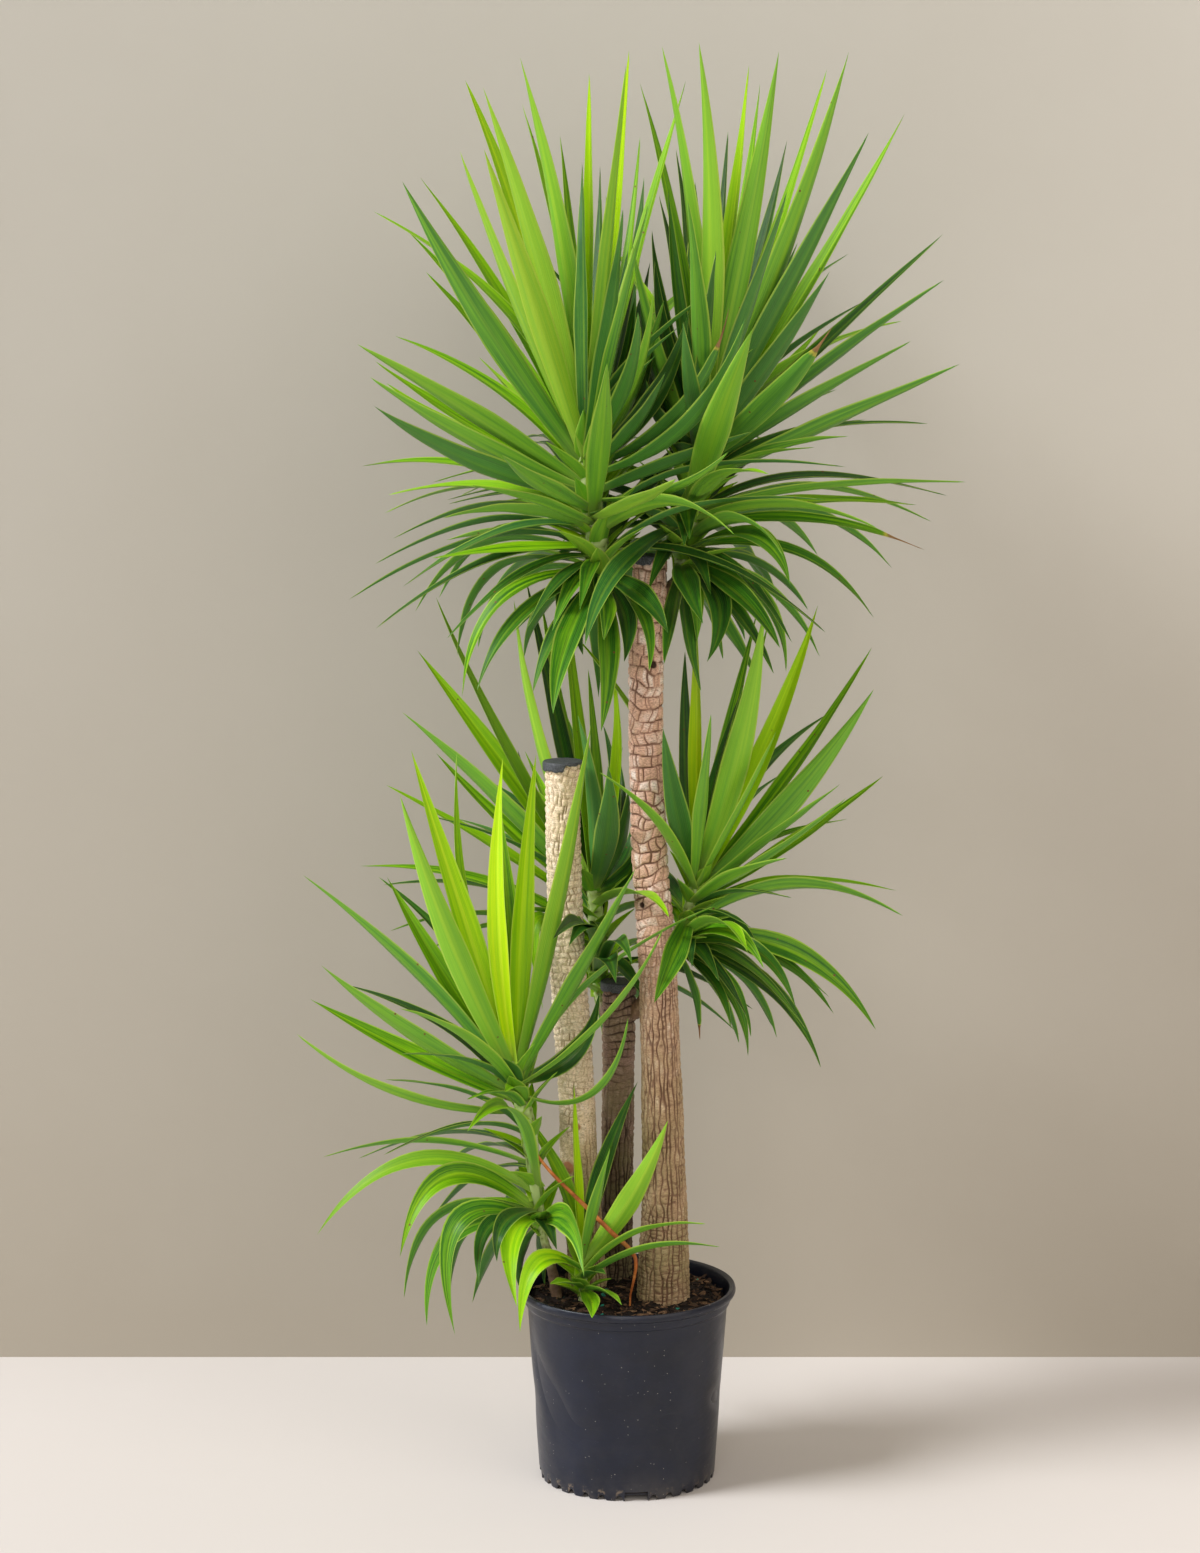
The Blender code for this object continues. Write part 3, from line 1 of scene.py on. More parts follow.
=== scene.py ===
"""Potted yucca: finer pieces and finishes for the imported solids.

Every leafy stem, cane, wax cap, the mulch, the pot and the dry leaf is a surface worked
out from the same places and sizes as the solids. Metres, +Z up, the front towards -Y.
"""

from collections import namedtuple
from functools import partial
from math import acos, atan2, cos, degrees, exp, inf, pi, radians, sin, sqrt

import bpy
import numpy as np
from bpy.props import FloatProperty, FloatVectorProperty, IntProperty, PointerProperty
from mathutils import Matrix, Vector
from mathutils.bvhtree import BVHTree


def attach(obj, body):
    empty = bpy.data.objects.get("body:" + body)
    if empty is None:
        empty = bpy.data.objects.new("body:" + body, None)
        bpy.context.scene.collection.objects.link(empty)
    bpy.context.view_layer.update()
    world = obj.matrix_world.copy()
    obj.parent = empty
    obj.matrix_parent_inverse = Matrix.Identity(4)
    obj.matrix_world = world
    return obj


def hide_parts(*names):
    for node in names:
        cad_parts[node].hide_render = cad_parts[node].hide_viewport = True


bl_info = {
    "name": "Potted yucca dressing",
    "version": (1, 0, 0),
    "blender": (4, 5, 0),
    "location": "View3D > Sidebar > Yucca",
    "description": "Leaves, bark, wax, mulch and pot of a tall potted yucca",
    "category": "Object",
}

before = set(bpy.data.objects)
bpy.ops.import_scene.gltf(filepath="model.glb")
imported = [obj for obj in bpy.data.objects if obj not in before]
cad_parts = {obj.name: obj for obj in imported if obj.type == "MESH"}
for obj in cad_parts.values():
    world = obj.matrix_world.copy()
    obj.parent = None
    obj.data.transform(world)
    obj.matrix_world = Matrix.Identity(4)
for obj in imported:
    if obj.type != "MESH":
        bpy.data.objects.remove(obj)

# Sizes of the pot and its filling, as in the solids
POT_HEIGHT = 0.290
RIM_RADIUS = 0.161
FOOT_RADIUS = 0.1305
WALL_TOP_RADIUS = 0.1485
WALL = 0.003
LIP_DROP = 0.011
BAND_DROP = 0.028
FLOOR_RADIUS = 0.100
FLOOR_TOP = 0.011
CHANNEL_HEIGHT = 0.007
NOTCH_COUNT = 32
NOTCH_HEIGHT = 0.008
DRAIN_COUNT = 4
DRAIN_WIDTH = 0.034
DRAIN_HEIGHT = 0.014
DRAIN_TURN = radians(5.5)
POT_SIDES = 48
BLOCK_FACES = [(0, 1, 3, 2), (4, 6, 7, 5), (0, 4, 5, 1), (2, 3, 7, 6), (0, 2, 6, 4), (1, 5, 7, 3)]
SOIL_TOP = 0.268
SOIL_BUMP = 0.004
SOIL_RISE_BEHIND = 0.010

# Canes, wax and stems
GAP = 0.0003
CANE_SIDES = 14
CANE_BOTTOM = 0.120
CANE_RING_STEP = 0.060
CANE_SWELL = 0.0006
WAX_THICK = 0.002
WAX_SKIRT = 0.012
STEM_SIDES = 6

# Front view that the places are read from: 1200 x 1553 pixels, from 5 m away
EYE = Vector((-0.0405, -5.0, 1.8))
TILT_DOWN = radians(8.5)
VIEW_MIDDLE = (600.0, 776.5)
VIEW_FOCAL = 3475.0
VIEW_HEIGHT = 1553.0
SENSOR = 36.0

# Leaves, placed by the same rule as in the solids
LEAF_THICK = 0.0022
LEAF_FOLD = 0.32
NO_BEND = 1e-7
OPEN_EDGE = 0.6
ROOT_SPREAD = 0.008
HANGING_DROP = 0.02
GOLDEN_TURN = pi * (3.0 - sqrt(5.0))
GOLDEN_SHARE = 0.618034
DEPTH_SHARE = 0.754878
UP = Vector((0.0, 0.0, 1.0))

# Seeds: the head's own times the step, plus the first one of the leaf's kind, plus its order
SEED_STEP = 1000
HIDDEN_SEED = 500
SHADE_SEED = 700
FILLING_SEED = 850

# How often a leaf is tried, and how far the tries move its depth, bend, root and turn
TRIES = 110
DEPTH_SHIFT = 0.16
BEND_SHIFT = 0.06
ROOT_SHIFT = 0.22
TURN_SHIFT = radians(25.0)
SHOWN_REACH = (DEPTH_SHIFT, BEND_SHIFT, ROOT_SHIFT)
TURNED_REACH = (TURN_SHIFT, TURN_SHIFT, ROOT_SHIFT)

# How far out a filling leaf and how far back a shade leaf may reach, how far leaves stay
# apart, and where along a leaf this is tested
OUTER_LIMIT = 0.47
BACK_EDGE = 0.515
CLEARANCE = 0.0012
TEST_STATIONS = (0.0, 0.14, 0.30, 0.50, 0.70, 0.86, 0.96)
OUTER_STATIONS = (0.14, 0.30, 0.50, 0.70, 0.86, 0.96)

# How each tone of leaf looks: how young, how blue, how striped, how much of its tip is dry
TONES = {
    "lime": (0.80, 0.00, 1.00, 0.0),
    "bright": (0.74, 0.00, 0.65, 0.0),
    "light": (0.62, 0.00, 0.45, 0.0),
    "pale": (0.58, 0.45, 0.10, 0.0),
    "mid": (0.47, 0.06, 0.30, 0.0),
    "old": (0.28, 0.22, 0.20, 0.0),
    "blue": (0.30, 0.70, 0.20, 0.0),
    # The dark tone, darker than an old leaf, is partly painted shade for the leaves deep in the
    # crowns and behind them
    "dark": (0.13, 0.30, 0.12, 0.0),
    "dead": (0.38, 0.12, 0.00, 0.16),
}

# The duller tone that a leaf of each bright tone takes where it hangs
HANGING_TONES = {"lime": "bright", "bright": "light", "light": "mid", "mid": "old"}

# A point of a cane or stem: its pixel in the front view, its depth (y) and its radius
Station = namedtuple("Station", "px py depth radius")

# A leaf: the pixels of its tip and of a point that it passes, how wide it shows in
# pixels, how much of its unseen length comes nearer, its tone, and where on the crown
# it grows if its lean does not say that
Leaf = namedtuple("Leaf", "tip past wide near tone at", defaults=("mid", None))

# A leafy stem: its stations, where its crown starts, its leaves' lengths upright, level and
# drooping, their width, how many stand hidden behind it, its seed, and its leaves in view
Head = namedtuple("Head", "name stem crown length width behind seed leaves")

# One leaf to place: its head, what makes its blades, its seed, the reach of its shifts, its
# tone, and how far back its tip may be
Job = namedtuple("Job", "head make seed reach tone back", defaults=(inf,))

TALL_CANE = (
    Station(650, 556, 0.000, 0.0256),
    Station(646, 680, 0.000, 0.0260),
    Station(647, 780, 0.000, 0.0262),
    Station(650, 860, -0.002, 0.0268),
    Station(656, 940, -0.003, 0.0292),
    Station(659, 1000, -0.004, 0.0290),
    Station(664, 1180, -0.005, 0.0335),
    Station(664, 1250, -0.005, 0.0380),
    Station(663, 1296, -0.005, 0.0408),
)
MEDIUM_CANE = (
    Station(562.6, 762, 0.040, 0.0266),
    Station(564.5, 900, 0.043, 0.0270),
    Station(570, 1000, 0.046, 0.0285),
    Station(577, 1100, 0.048, 0.0280),
    Station(579, 1165, 0.049, 0.0292),
    Station(588, 1282, 0.050, 0.0290),
)
SHORT_CANE = (
    Station(619.5, 982, 0.098, 0.0258),
    Station(618, 1100, 0.098, 0.0252),
    Station(616, 1278, 0.098, 0.0255),
)
CANES = (TALL_CANE, MEDIUM_CANE, SHORT_CANE)

UPPER_LEFT = Head(
    name="head_upper_left",
    stem=(
        Station(634, 604, -0.012, 0.013),
        Station(612, 596, -0.040, 0.014),
        Station(600, 575, -0.050, 0.022),
        Station(597, 540, -0.050, 0.026),
        Station(590, 490, -0.048, 0.025),
        Station(582, 440, -0.045, 0.014),
    ),
    crown=0.30,
    length=(0.62, 0.52, 0.36),
    width=0.041,
    behind=8,
    seed=11,
    leaves=(
        Leaf((484, 149), (532, 300), 27, 0.5, "lime"),
        Leaf((483, 87), (548, 300), 25, 0.2, "bright"),
        Leaf((465, 80), (498, 164), 20, -0.2, "bright"),
        Leaf((520, 57), (553, 199), 21, 0.0, "light"),
        Leaf((522, 103), (556, 240), 10, -0.4),
        Leaf((589, 73), (590, 160), 13, -0.1, "light"),
        Leaf((591, 129), (590, 260), 12, -0.5, "bright"),
        Leaf((560, 135), (574, 290), 14, -0.7),
        Leaf((600, 166), (598, 300), 14, -0.6, "dark"),
        Leaf((606, 195), (604, 300), 8, -0.8, "dark"),
        Leaf((582, 162), (584, 300), 15, -0.3, "blue"),
        Leaf((629, 50), (612, 260), 16, 0.0, "bright"),
        Leaf((626, 66), (606, 270), 14, 0.3, "bright"),
        Leaf((640, 137), (622, 300), 12, -0.5),
        Leaf((644, 177), (626, 320), 18, -0.8, "dark"),
        Leaf((623, 209), (608, 340), 18, 0.5, "blue"),
        Leaf((686, 80), (650, 210), 12, -0.4),
        Leaf((460, 151), (514, 300), 16, 0.1, "bright"),
        Leaf((420, 177), (500, 296), 14, -0.4),
        Leaf((402, 181), (490, 331), 29, 0.3),
        Leaf((406, 229), (470, 300), 14, -0.7),
        Leaf((454, 260), (500, 330), 10, -0.8),
        Leaf((426, 272), (488, 342), 16, -0.2),
        Leaf((512, 295), (548, 380), 18, -0.6, "dark"),
        Leaf((395, 336), (490, 385), 11, -0.4),
        Leaf((479, 357), (520, 400), 10, -0.9),
        Leaf((357, 344), (473, 415), 22, 0.2),
        Leaf((375, 361), (470, 425), 13, -0.1),
        Leaf((370, 377), (473, 442), 20, 0.1),
        Leaf((386, 383), (470, 436), 12, -0.3),
        Leaf((374, 406), (490, 469), 24, 0.5, "dark"),
        Leaf((362, 466), (450, 463), 8, -0.2),
        Leaf((388, 495), (500, 488), 8, -0.4),
        Leaf((502, 455), (540, 485), 24, 0.9, at=0.5),
        Leaf((471, 485), (530, 500), 14, 0.7),
        Leaf((443, 518), (510, 510), 14, 0.3, "pale"),
        Leaf((472, 512), (520, 505), 14, -0.6, "pale"),
        Leaf((607, 363), (601, 450), 26, 0.9, at=0.45),
        Leaf((432, 558), (507, 550), 9, 0.2),
        Leaf((446, 540), (500, 532), 10, -0.5),
        Leaf((415, 612), (471, 551), 10, -0.3),
        Leaf((439, 598), (507, 530), 10, -0.6),
        Leaf((457, 656), (496, 571), 10, -0.5),
        Leaf((478, 648), (507, 587), 12, -0.2),
        Leaf((462, 697), (514, 591), 12, 0.2, "light"),
        Leaf((477, 690), (507, 632), 14, 0.4),
        Leaf((524, 657), (543, 609), 14, -0.3, "dark"),
        Leaf((533, 692), (557, 632), 14, 0.4),
        Leaf((553, 714), (564, 650), 28, 0.7),
        Leaf((497, 584), (530, 560), 12, -0.8, "dark"),
        Leaf((601, 732), (607, 660), 24, 0.5),
        Leaf((668, 633), (645, 600), 22, 0.5, "dark"),
        Leaf((649, 671), (632, 601), 13, 0.6),
        Leaf((676, 479), (638, 503), 21, 0.9, "bright", 0.4),
        Leaf((728, 452), (660, 495), 12, 0.6),
        Leaf((735, 535), (670, 503), 17, 0.5, "light"),
        Leaf((755, 430), (670, 465), 16, 0.2, "dark"),
        Leaf((746, 316), (650, 455), 20, 0.6, "dark"),
        Leaf((729, 307), (650, 440), 16, 0.2, "dead"),
        Leaf((690, 307), (640, 420), 22, 0.0, "dark"),
        Leaf((653, 288), (628, 400), 11, 0.4, "light"),
        Leaf((638, 312), (618, 410), 18, 0.7, "dark"),
    ),
)
UPPER_RIGHT = Head(
    name="head_upper_right",
    stem=(
        Station(664, 594, 0.014, 0.013),
        Station(677, 582, 0.030, 0.014),
        Station(684, 555, 0.034, 0.022),
        Station(687, 520, 0.034, 0.026),
        Station(695, 475, 0.033, 0.025),
        Station(703, 430, 0.032, 0.014),
    ),
    crown=0.25,
    length=(0.64, 0.52, 0.36),
    width=0.041,
    behind=8,
    seed=12,
    leaves=(
        Leaf((699, 42), (711, 248), 24, 0.3, "bright"),
        Leaf((662, 46), (683, 160), 16, 0.0, "light"),
        Leaf((688, 200), (697, 310), 20, 0.6),
        Leaf((640, 83), (673, 224), 14, -0.2),
        Leaf((659, 195), (680, 300), 18, -0.6, "dark"),
        Leaf((676, 149), (690, 270), 18, -0.8, "dark"),
        Leaf((749, 65), (731, 236), 15, -0.2, "bright"),
        Leaf((760, 83), (740, 240), 12, -0.4),
        Leaf((779, 51), (746, 236), 28, 0.2, "light"),
        Leaf((787, 140), (762, 250), 16, -0.6, "dark"),
        Leaf((827, 69), (784, 212), 13, -0.2),
        Leaf((849, 51), (789, 240), 22, 0.25, "light"),
        Leaf((869, 132), (806, 255), 22, 0.1, "old"),
        Leaf((905, 113), (832, 246), 14, 0.0),
        Leaf((787, 192), (751, 306), 17, 0.6, "blue"),
        Leaf((728, 131), (720, 250), 14, -0.6, "dark"),
        Leaf((725, 173), (716, 290), 14, -0.8, "dark"),
        Leaf((798, 242), (760, 330), 14, -0.8, "dark"),
        Leaf((830, 271), (785, 342), 22, 0.3, "dark"),
        Leaf((943, 234), (842, 328), 12, -0.2, "old"),
        Leaf((944, 280), (842, 353), 16, 0.1, "old"),
        Leaf((911, 341), (812, 399), 16, 0.2, "old"),
        Leaf((960, 364), (836, 421), 18, 0.1),
        Leaf((833, 326), (782, 390), 28, 0.6, "dead"),
        Leaf((823, 325), (780, 375), 12, -0.5),
        Leaf((849, 436), (780, 448), 12, 0.2),
        Leaf((786, 430), (745, 450), 12, -0.6),
        Leaf((753, 328), (722, 410), 34, 0.9, "light", 0.4),
        Leaf((546, 262), (600, 330), 16, -0.3, "dark"),
        Leaf((769, 474), (728, 474), 20, 0.9),
        Leaf((966, 482), (820, 488), 9, 0.1),
        Leaf((917, 505), (800, 502), 9, -0.2),
        Leaf((877, 528), (790, 506), 12, 0.3),
        Leaf((925, 550), (820, 521), 10, 0.1, "dead"),
        Leaf((892, 568), (820, 516), 12, -0.2),
        Leaf((818, 556), (770, 514), 12, -0.6),
        Leaf((874, 618), (815, 562), 10, 0.1),
        Leaf((784, 557), (740, 520), 14, 0.7),
        Leaf((790, 584), (762, 540), 15, 0.6),
        Leaf((808, 610), (781, 579), 10, -0.3),
        Leaf((777, 601), (750, 560), 9, -0.5),
        Leaf((820, 657), (778, 598), 11, -0.1),
        Leaf((783, 642), (756, 590), 11, -0.4),
        Leaf((786, 672), (762, 598), 14, 0.2),
        Leaf((780, 648), (740, 596), 20, 0.5),
        Leaf((774, 674), (731, 606), 14, 0.3),
        Leaf((761, 683), (731, 636), 16, -0.3),
        Leaf((723, 659), (708, 610), 10, -0.5),
        Leaf((707, 662), (713, 590), 27, 0.7, "dark"),
        Leaf((703, 624), (684, 575), 25, 0.9, "dark"),
        Leaf((701, 691), (686, 630), 16, 0.2),
        Leaf((664, 664), (676, 604), 15, 0.6),
        Leaf((585, 646), (628, 560), 20, 0.6, "blue"),
    ),
)
MIDDLE_RIGHT = Head(
    name="head_middle_right",
    stem=(
        Station(633, 1014, 0.090, 0.011),
        Station(648, 996, 0.074, 0.011),
        Station(664, 975, 0.060, 0.012),
        Station(680, 945, 0.050, 0.018),
        Station(690, 915, 0.044, 0.021),
        Station(697, 876, 0.038, 0.013),
    ),
    crown=0.50,
    length=(0.46, 0.38, 0.28),
    width=0.038,
    behind=6,
    seed=13,
    leaves=(
        Leaf((818, 605), (765, 750), 22, 0.0, "light"),
        Leaf((872, 647), (800, 760), 12, -0.2),
        Leaf((874, 689), (800, 790), 28, 0.2),
        Leaf((769, 621), (735, 750), 14, -0.4),
        Leaf((764, 611), (734, 770), 30, 0.5, "light"),
        Leaf((758, 608), (728, 740), 14, -0.3),
        Leaf((696, 600), (697, 740), 14, 0.1, "lime"),
        Leaf((685, 651), (685, 760), 20, -0.5, "dark"),
        Leaf((663, 728), (676, 810), 25, 0.3, "dark"),
        Leaf((711, 714), (704, 800), 16, 0.7),
        Leaf((775, 726), (745, 800), 12, -0.7),
        Leaf((840, 784), (775, 835), 13, 0.1),
        Leaf((846, 798), (780, 850), 11, 0.4),
        Leaf((883, 776), (800, 838), 11, -0.1),
        Leaf((787, 858), (745, 872), 20, 0.8),
        Leaf((903, 916), (791, 886), 17, 0.3),
        Leaf((876, 1030), (790, 950), 22, 0.3),
        Leaf((748, 953), (720, 922), 16, 0.8),
        Leaf((654, 1003), (672, 960), 26, 1.15, at=0.55),
        Leaf((834, 1014), (770, 955), 12, 0.1),
        Leaf((796, 1008), (745, 945), 14, 0.5),
        Leaf((821, 1068), (765, 985), 15, 0.2),
        Leaf((748, 1056), (720, 980), 14, 0.1),
        Leaf((777, 1038), (738, 975), 12, -0.2),
        Leaf((739, 1043), (712, 985), 11, -0.4),
        Leaf((700, 1040), (692, 990), 9, -0.1, "dead"),
        Leaf((764, 969), (725, 930), 13, 0.6),
        Leaf((599, 772), (650, 815), 13, 0.7),
    ),
)
MIDDLE_LEFT = Head(
    name="head_middle_left",
    stem=(
        Station(608, 1015, 0.110, 0.011),
        Station(600, 998, 0.128, 0.011),
        Station(598, 975, 0.134, 0.018),
        Station(597, 925, 0.126, 0.021),
        Station(590, 872, 0.112, 0.013),
    ),
    crown=0.25,
    length=(0.50, 0.40, 0.26),
    width=0.038,
    behind=5,
    seed=14,
    leaves=(
        Leaf((436, 597), (506, 749), 11, -0.1, "pale"),
        Leaf((417, 650), (500, 760), 22, 0.1),
        Leaf((402, 712), (480, 782), 20, 0.0),
        Leaf((436, 753), (500, 820), 13, -0.3),
        Leaf((386, 785), (480, 838), 8, -0.1),
        Leaf((360, 866), (470, 878), 8, 0.0),
        Leaf((390, 931), (480, 914), 8, 0.1),
        Leaf((511, 748), (545, 820), 12, -0.6),
        Leaf((525, 751), (556, 820), 12, -0.8),
        Leaf((514, 600), (545, 765), 14, 0.1, "lime"),
        Leaf((526, 580), (560, 740), 18, -0.2, "dark"),
        Leaf((540, 594), (566, 750), 14, -0.4),
        Leaf((560, 564), (574, 700), 14, -0.1),
        Leaf((588, 669), (594, 760), 14, -0.2),
        Leaf((578, 715), (592, 800), 18, 0.1, "blue"),
        Leaf((608, 766), (606, 840), 27, 0.5, "dark"),
        Leaf((603, 725), (616, 810), 16, -0.2, "dark"),
        Leaf((612, 660), (618, 760), 13, -0.1, "bright"),
        Leaf((628, 790), (618, 850), 18, 0.3, "dark"),
        Leaf((640, 830), (622, 880), 16, 0.0, "dark"),
        Leaf((553, 939), (580, 922), 15, 0.9, "dark"),
        Leaf((669, 917), (645, 895), 15, 0.95, at=0.8),
        Leaf((616, 983), (607, 958), 22, 0.8, "dark"),
        Leaf((632, 964), (620, 940), 14, 0.8, "dark"),
        Leaf((543, 1010), (541, 918), 14, 0.25),
    ),
)
LOWER_LEFT = Head(
    name="head_lower_left",
    stem=(
        Station(556, 1325, -0.008, 0.0090),
        Station(557, 1300, -0.008, 0.0085),
        Station(550, 1260, -0.010, 0.0080),
        Station(543, 1235, -0.014, 0.0085),
        Station(538, 1200, -0.020, 0.0130),
        Station(528, 1130, -0.028, 0.0200),
        Station(520, 1095, -0.030, 0.0200),
        Station(513, 1060, -0.032, 0.0120),
    ),
    crown=0.42,
    length=(0.50, 0.42, 0.30),
    width=0.039,
    behind=6,
    seed=15,
    leaves=(
        Leaf((503, 758), (498, 896), 22, 0.3, "lime"),
        Leaf((536, 754), (523, 896), 24, 0.1, "bright"),
        Leaf((591, 724), (558, 907), 20, 0.2, "lime"),
        Leaf((457, 752), (469, 935), 11, -0.3),
        Leaf((411, 750), (455, 890), 25, 0.0, "bright"),
        Leaf((400, 795), (454, 950), 28, 0.2, "bright"),
        Leaf((387, 877), (435, 960), 22, -0.2),
        Leaf((303, 875), (412, 970), 18, 0.1),
        Leaf((321, 965), (412, 1035), 22, 0.2),
        Leaf((310, 999), (400, 1048), 15, -0.1),
        Leaf((297, 1034), (412, 1100), 15, 0.1),
        Leaf((399, 1008), (443, 1025), 18, 0.6),
        Leaf((432, 1040), (470, 1072), 12, -0.4, "dark"),
        Leaf((323, 1157), (430, 1142), 10, 0.0),
        Leaf((317, 1235), (415, 1161), 13, 0.1, "pale"),
        Leaf((400, 1257), (448, 1176), 22, 0.4, "light"),
        Leaf((404, 1298), (446, 1213), 15, 0.0),
        Leaf((427, 1326), (460, 1232), 16, 0.1),
        Leaf((455, 1335), (478, 1210), 22, 0.4),
        Leaf((450, 1299), (478, 1225), 9, -0.4),
        Leaf((479, 1285), (499, 1220), 14, -0.2, "dark"),
        Leaf((517, 1307), (519, 1225), 26, 0.7, "light"),
        Leaf((584, 1277), (560, 1215), 29, 0.7),
        Leaf((467, 1132), (495, 1106), 15, 0.8),
        Leaf((557, 1250), (543, 1220), 14, 0.2, "dark"),
        Leaf((523, 1259), (532, 1225), 12, -0.4, "dark"),
        Leaf((636, 867), (580, 975), 18, 0.3),
        Leaf((663, 929), (597, 1028), 9, 0.5),
        Leaf((628, 1018), (578, 1102), 11, 0.2),
        Leaf((599, 993), (578, 1051), 20, 0.0, "dark"),
    ),
)
FRONT_SHOOT = Head(
    name="shoot_front",
    stem=(
        Station(582, 1325, -0.030, 0.0085),
        Station(583, 1300, -0.030, 0.0090),
        Station(583, 1282, -0.030, 0.0110),
        Station(582, 1258, -0.030, 0.0070),
    ),
    crown=0.35,
    length=(0.31, 0.25, 0.15),
    width=0.036,
    behind=2,
    seed=16,
    leaves=(
        Leaf((574, 1084), (576, 1176), 9, 0.0, "bright"),
        Leaf((638, 1081), (602, 1175), 18, -0.2, "dark"),
        Leaf((610, 1148), (596, 1205), 13, 0.2),
        Leaf((668, 1120), (622, 1212), 25, 0.4, "lime"),
        Leaf((706, 1224), (645, 1230), 10, 0.4),
        Leaf((720, 1247), (650, 1248), 11, 0.6),
        Leaf((520, 1332), (552, 1258), 19, 0.8, "bright", 0.7),
        Leaf((592, 1318), (590, 1300), 12, 0.9, at=0.3),
        Leaf((622, 1305), (605, 1292), 10, 0.5, at=0.3),
        Leaf((550, 1284), (564, 1282), 10, 0.5, at=0.3),
        Leaf((606, 1274), (595, 1272), 12, 0.3, "dark"),
    ),
)
HEADS = (UPPER_LEFT, UPPER_RIGHT, MIDDLE_RIGHT, MIDDLE_LEFT, LOWER_LEFT, FRONT_SHOOT)

DRY_LEAF = (
    Station(520, 1129, -0.0475, 0.0016),
    Station(547, 1168, -0.0500, 0.0024),
    Station(588, 1209, -0.052, 0.0034),
    Station(612, 1233, -0.058, 0.0036),
    Station(630, 1250, -0.064, 0.0034),
    Station(636, 1265, -0.066, 0.0026),
    Station(630, 1297, -0.050, 0.0014),
)
DRY_LEAF_THICK = 0.0008
DRY_LEAF_STEPS = 12

# Leaves that only fill the shade between the others, by head; most take the dark tone, which is
# partly painted shade
SHADE_LEAVES = {
    "head_middle_left": (
        Leaf((424, 954), (500, 925), 8, 0.0),
        Leaf((518, 750), (553, 840), 14, -0.25, "dark"),
        Leaf((569, 946), (583, 925), 16, 0.5, "dark"),
        Leaf((634, 812), (620, 870), 16, -0.25, "dark"),
        Leaf((596, 800), (597, 870), 18, -0.25, "dark"),
        Leaf((620, 760), (612, 850), 18, -0.25, "dark"),
        Leaf((560, 800), (580, 870), 16, -0.25, "dark"),
    ),
    "head_middle_right": (
        Leaf((776, 731), (740, 810), 8, -0.25),
        Leaf((751, 1037), (722, 975), 9, -0.2),
        Leaf((731, 1028), (709, 978), 9, 0.3),
        Leaf((760, 954), (728, 922), 12, 0.3, "dark"),
        Leaf((743, 930), (718, 915), 12, -0.25, "dark"),
    ),
    "head_upper_left": (
        Leaf((628, 250), (612, 350), 18, -0.25, "dark"),
        Leaf((642, 222), (620, 340), 16, -0.1, "dark"),
        Leaf((650, 262), (626, 370), 18, -0.15, "dark"),
        Leaf((636, 290), (620, 380), 18, -0.2, "dark"),
        Leaf((664, 300), (632, 395), 18, -0.2, "mid"),
        Leaf((648, 205), (618, 330), 12, -0.2, "mid"),
        Leaf((655, 325), (626, 415), 18, 0.1, "dark"),
        Leaf((615, 255), (604, 350), 16, -0.25, "dark"),
        Leaf((665, 372), (634, 430), 16, -0.1, "dark"),
        Leaf((560, 620), (572, 585), 18, 0.4, "dark"),
        Leaf((604, 640), (603, 595), 20, 0.5, "mid"),
        Leaf((583, 655), (586, 600), 18, 0.2, "dark"),
        Leaf((624, 662), (618, 600), 20, 0.45, "dark"),
    ),
    "head_upper_right": (
        Leaf((655, 260), (668, 360), 18, -0.25, "dark"),
        Leaf((668, 190), (678, 310), 16, -0.1, "dark"),
        Leaf((652, 230), (668, 350), 18, -0.15, "dark"),
        Leaf((632, 240), (655, 350), 14, -0.1, "mid"),
        Leaf((660, 300), (674, 390), 18, -0.2, "dark"),
        Leaf((644, 330), (664, 410), 18, -0.2, "dark"),
        Leaf((640, 280), (662, 390), 18, 0.0, "dark"),
        Leaf((646, 380), (668, 430), 16, 0.1, "dark"),
        Leaf((716, 250), (706, 360), 16, 0.0, "dark"),
        Leaf((700, 280), (700, 380), 18, -0.25, "dark"),
        Leaf((735, 300), (718, 390), 18, -0.25, "dark"),
        Leaf((683, 322), (690, 400), 18, 0.3, "dark"),
        Leaf((745, 640), (718, 590), 14, -0.2, "dark"),
    ),
    "head_lower_left": (
        Leaf((520, 1290), (528, 1240), 14, -0.25, "dark"),
        Leaf((545, 1285), (540, 1240), 13, -0.25, "dark"),
        Leaf((497, 1262), (514, 1215), 14, -0.25, "dark"),
    ),
}

# How many shorter leaves thicken each crown, and the side that they keep to
FILLING = {
    "head_upper_left": (26, 0),
    "head_upper_right": (26, 0),
    "head_middle_right": (14, 1),
    "head_middle_left": (12, 0),
    "head_lower_left": (12, -1),
    "shoot_front": (0, 0),
}


def seen(px, py, depth):
    """The place at the given depth (y) that the front view shows at pixel (px, py)."""
    across = (px - VIEW_MIDDLE[0]) / VIEW_FOCAL
    up = (VIEW_MIDDLE[1] - py) / VIEW_FOCAL
    along = cos(TILT_DOWN) + up * sin(TILT_DOWN)
    rise = up * cos(TILT_DOWN) - sin(TILT_DOWN)
    ray = Vector((across, along, rise))
    return EYE + ray * ((depth - EYE.y) / along)


def metres_per_pixel(place):
    """How much one pixel of the front view spans at a place."""
    return (place - EYE).length / VIEW_FOCAL


def ring_faces(one, other, sides=CANE_SIDES):
    """Four-sided faces between two rings of points, given by the rings' numbers."""
    faces = []
    low = one * sides
    high = other * sides
    for n in range(sides):
        following = (n + 1) % sides
        faces.append((low + n, low + following, high + following, high + n))
    return faces


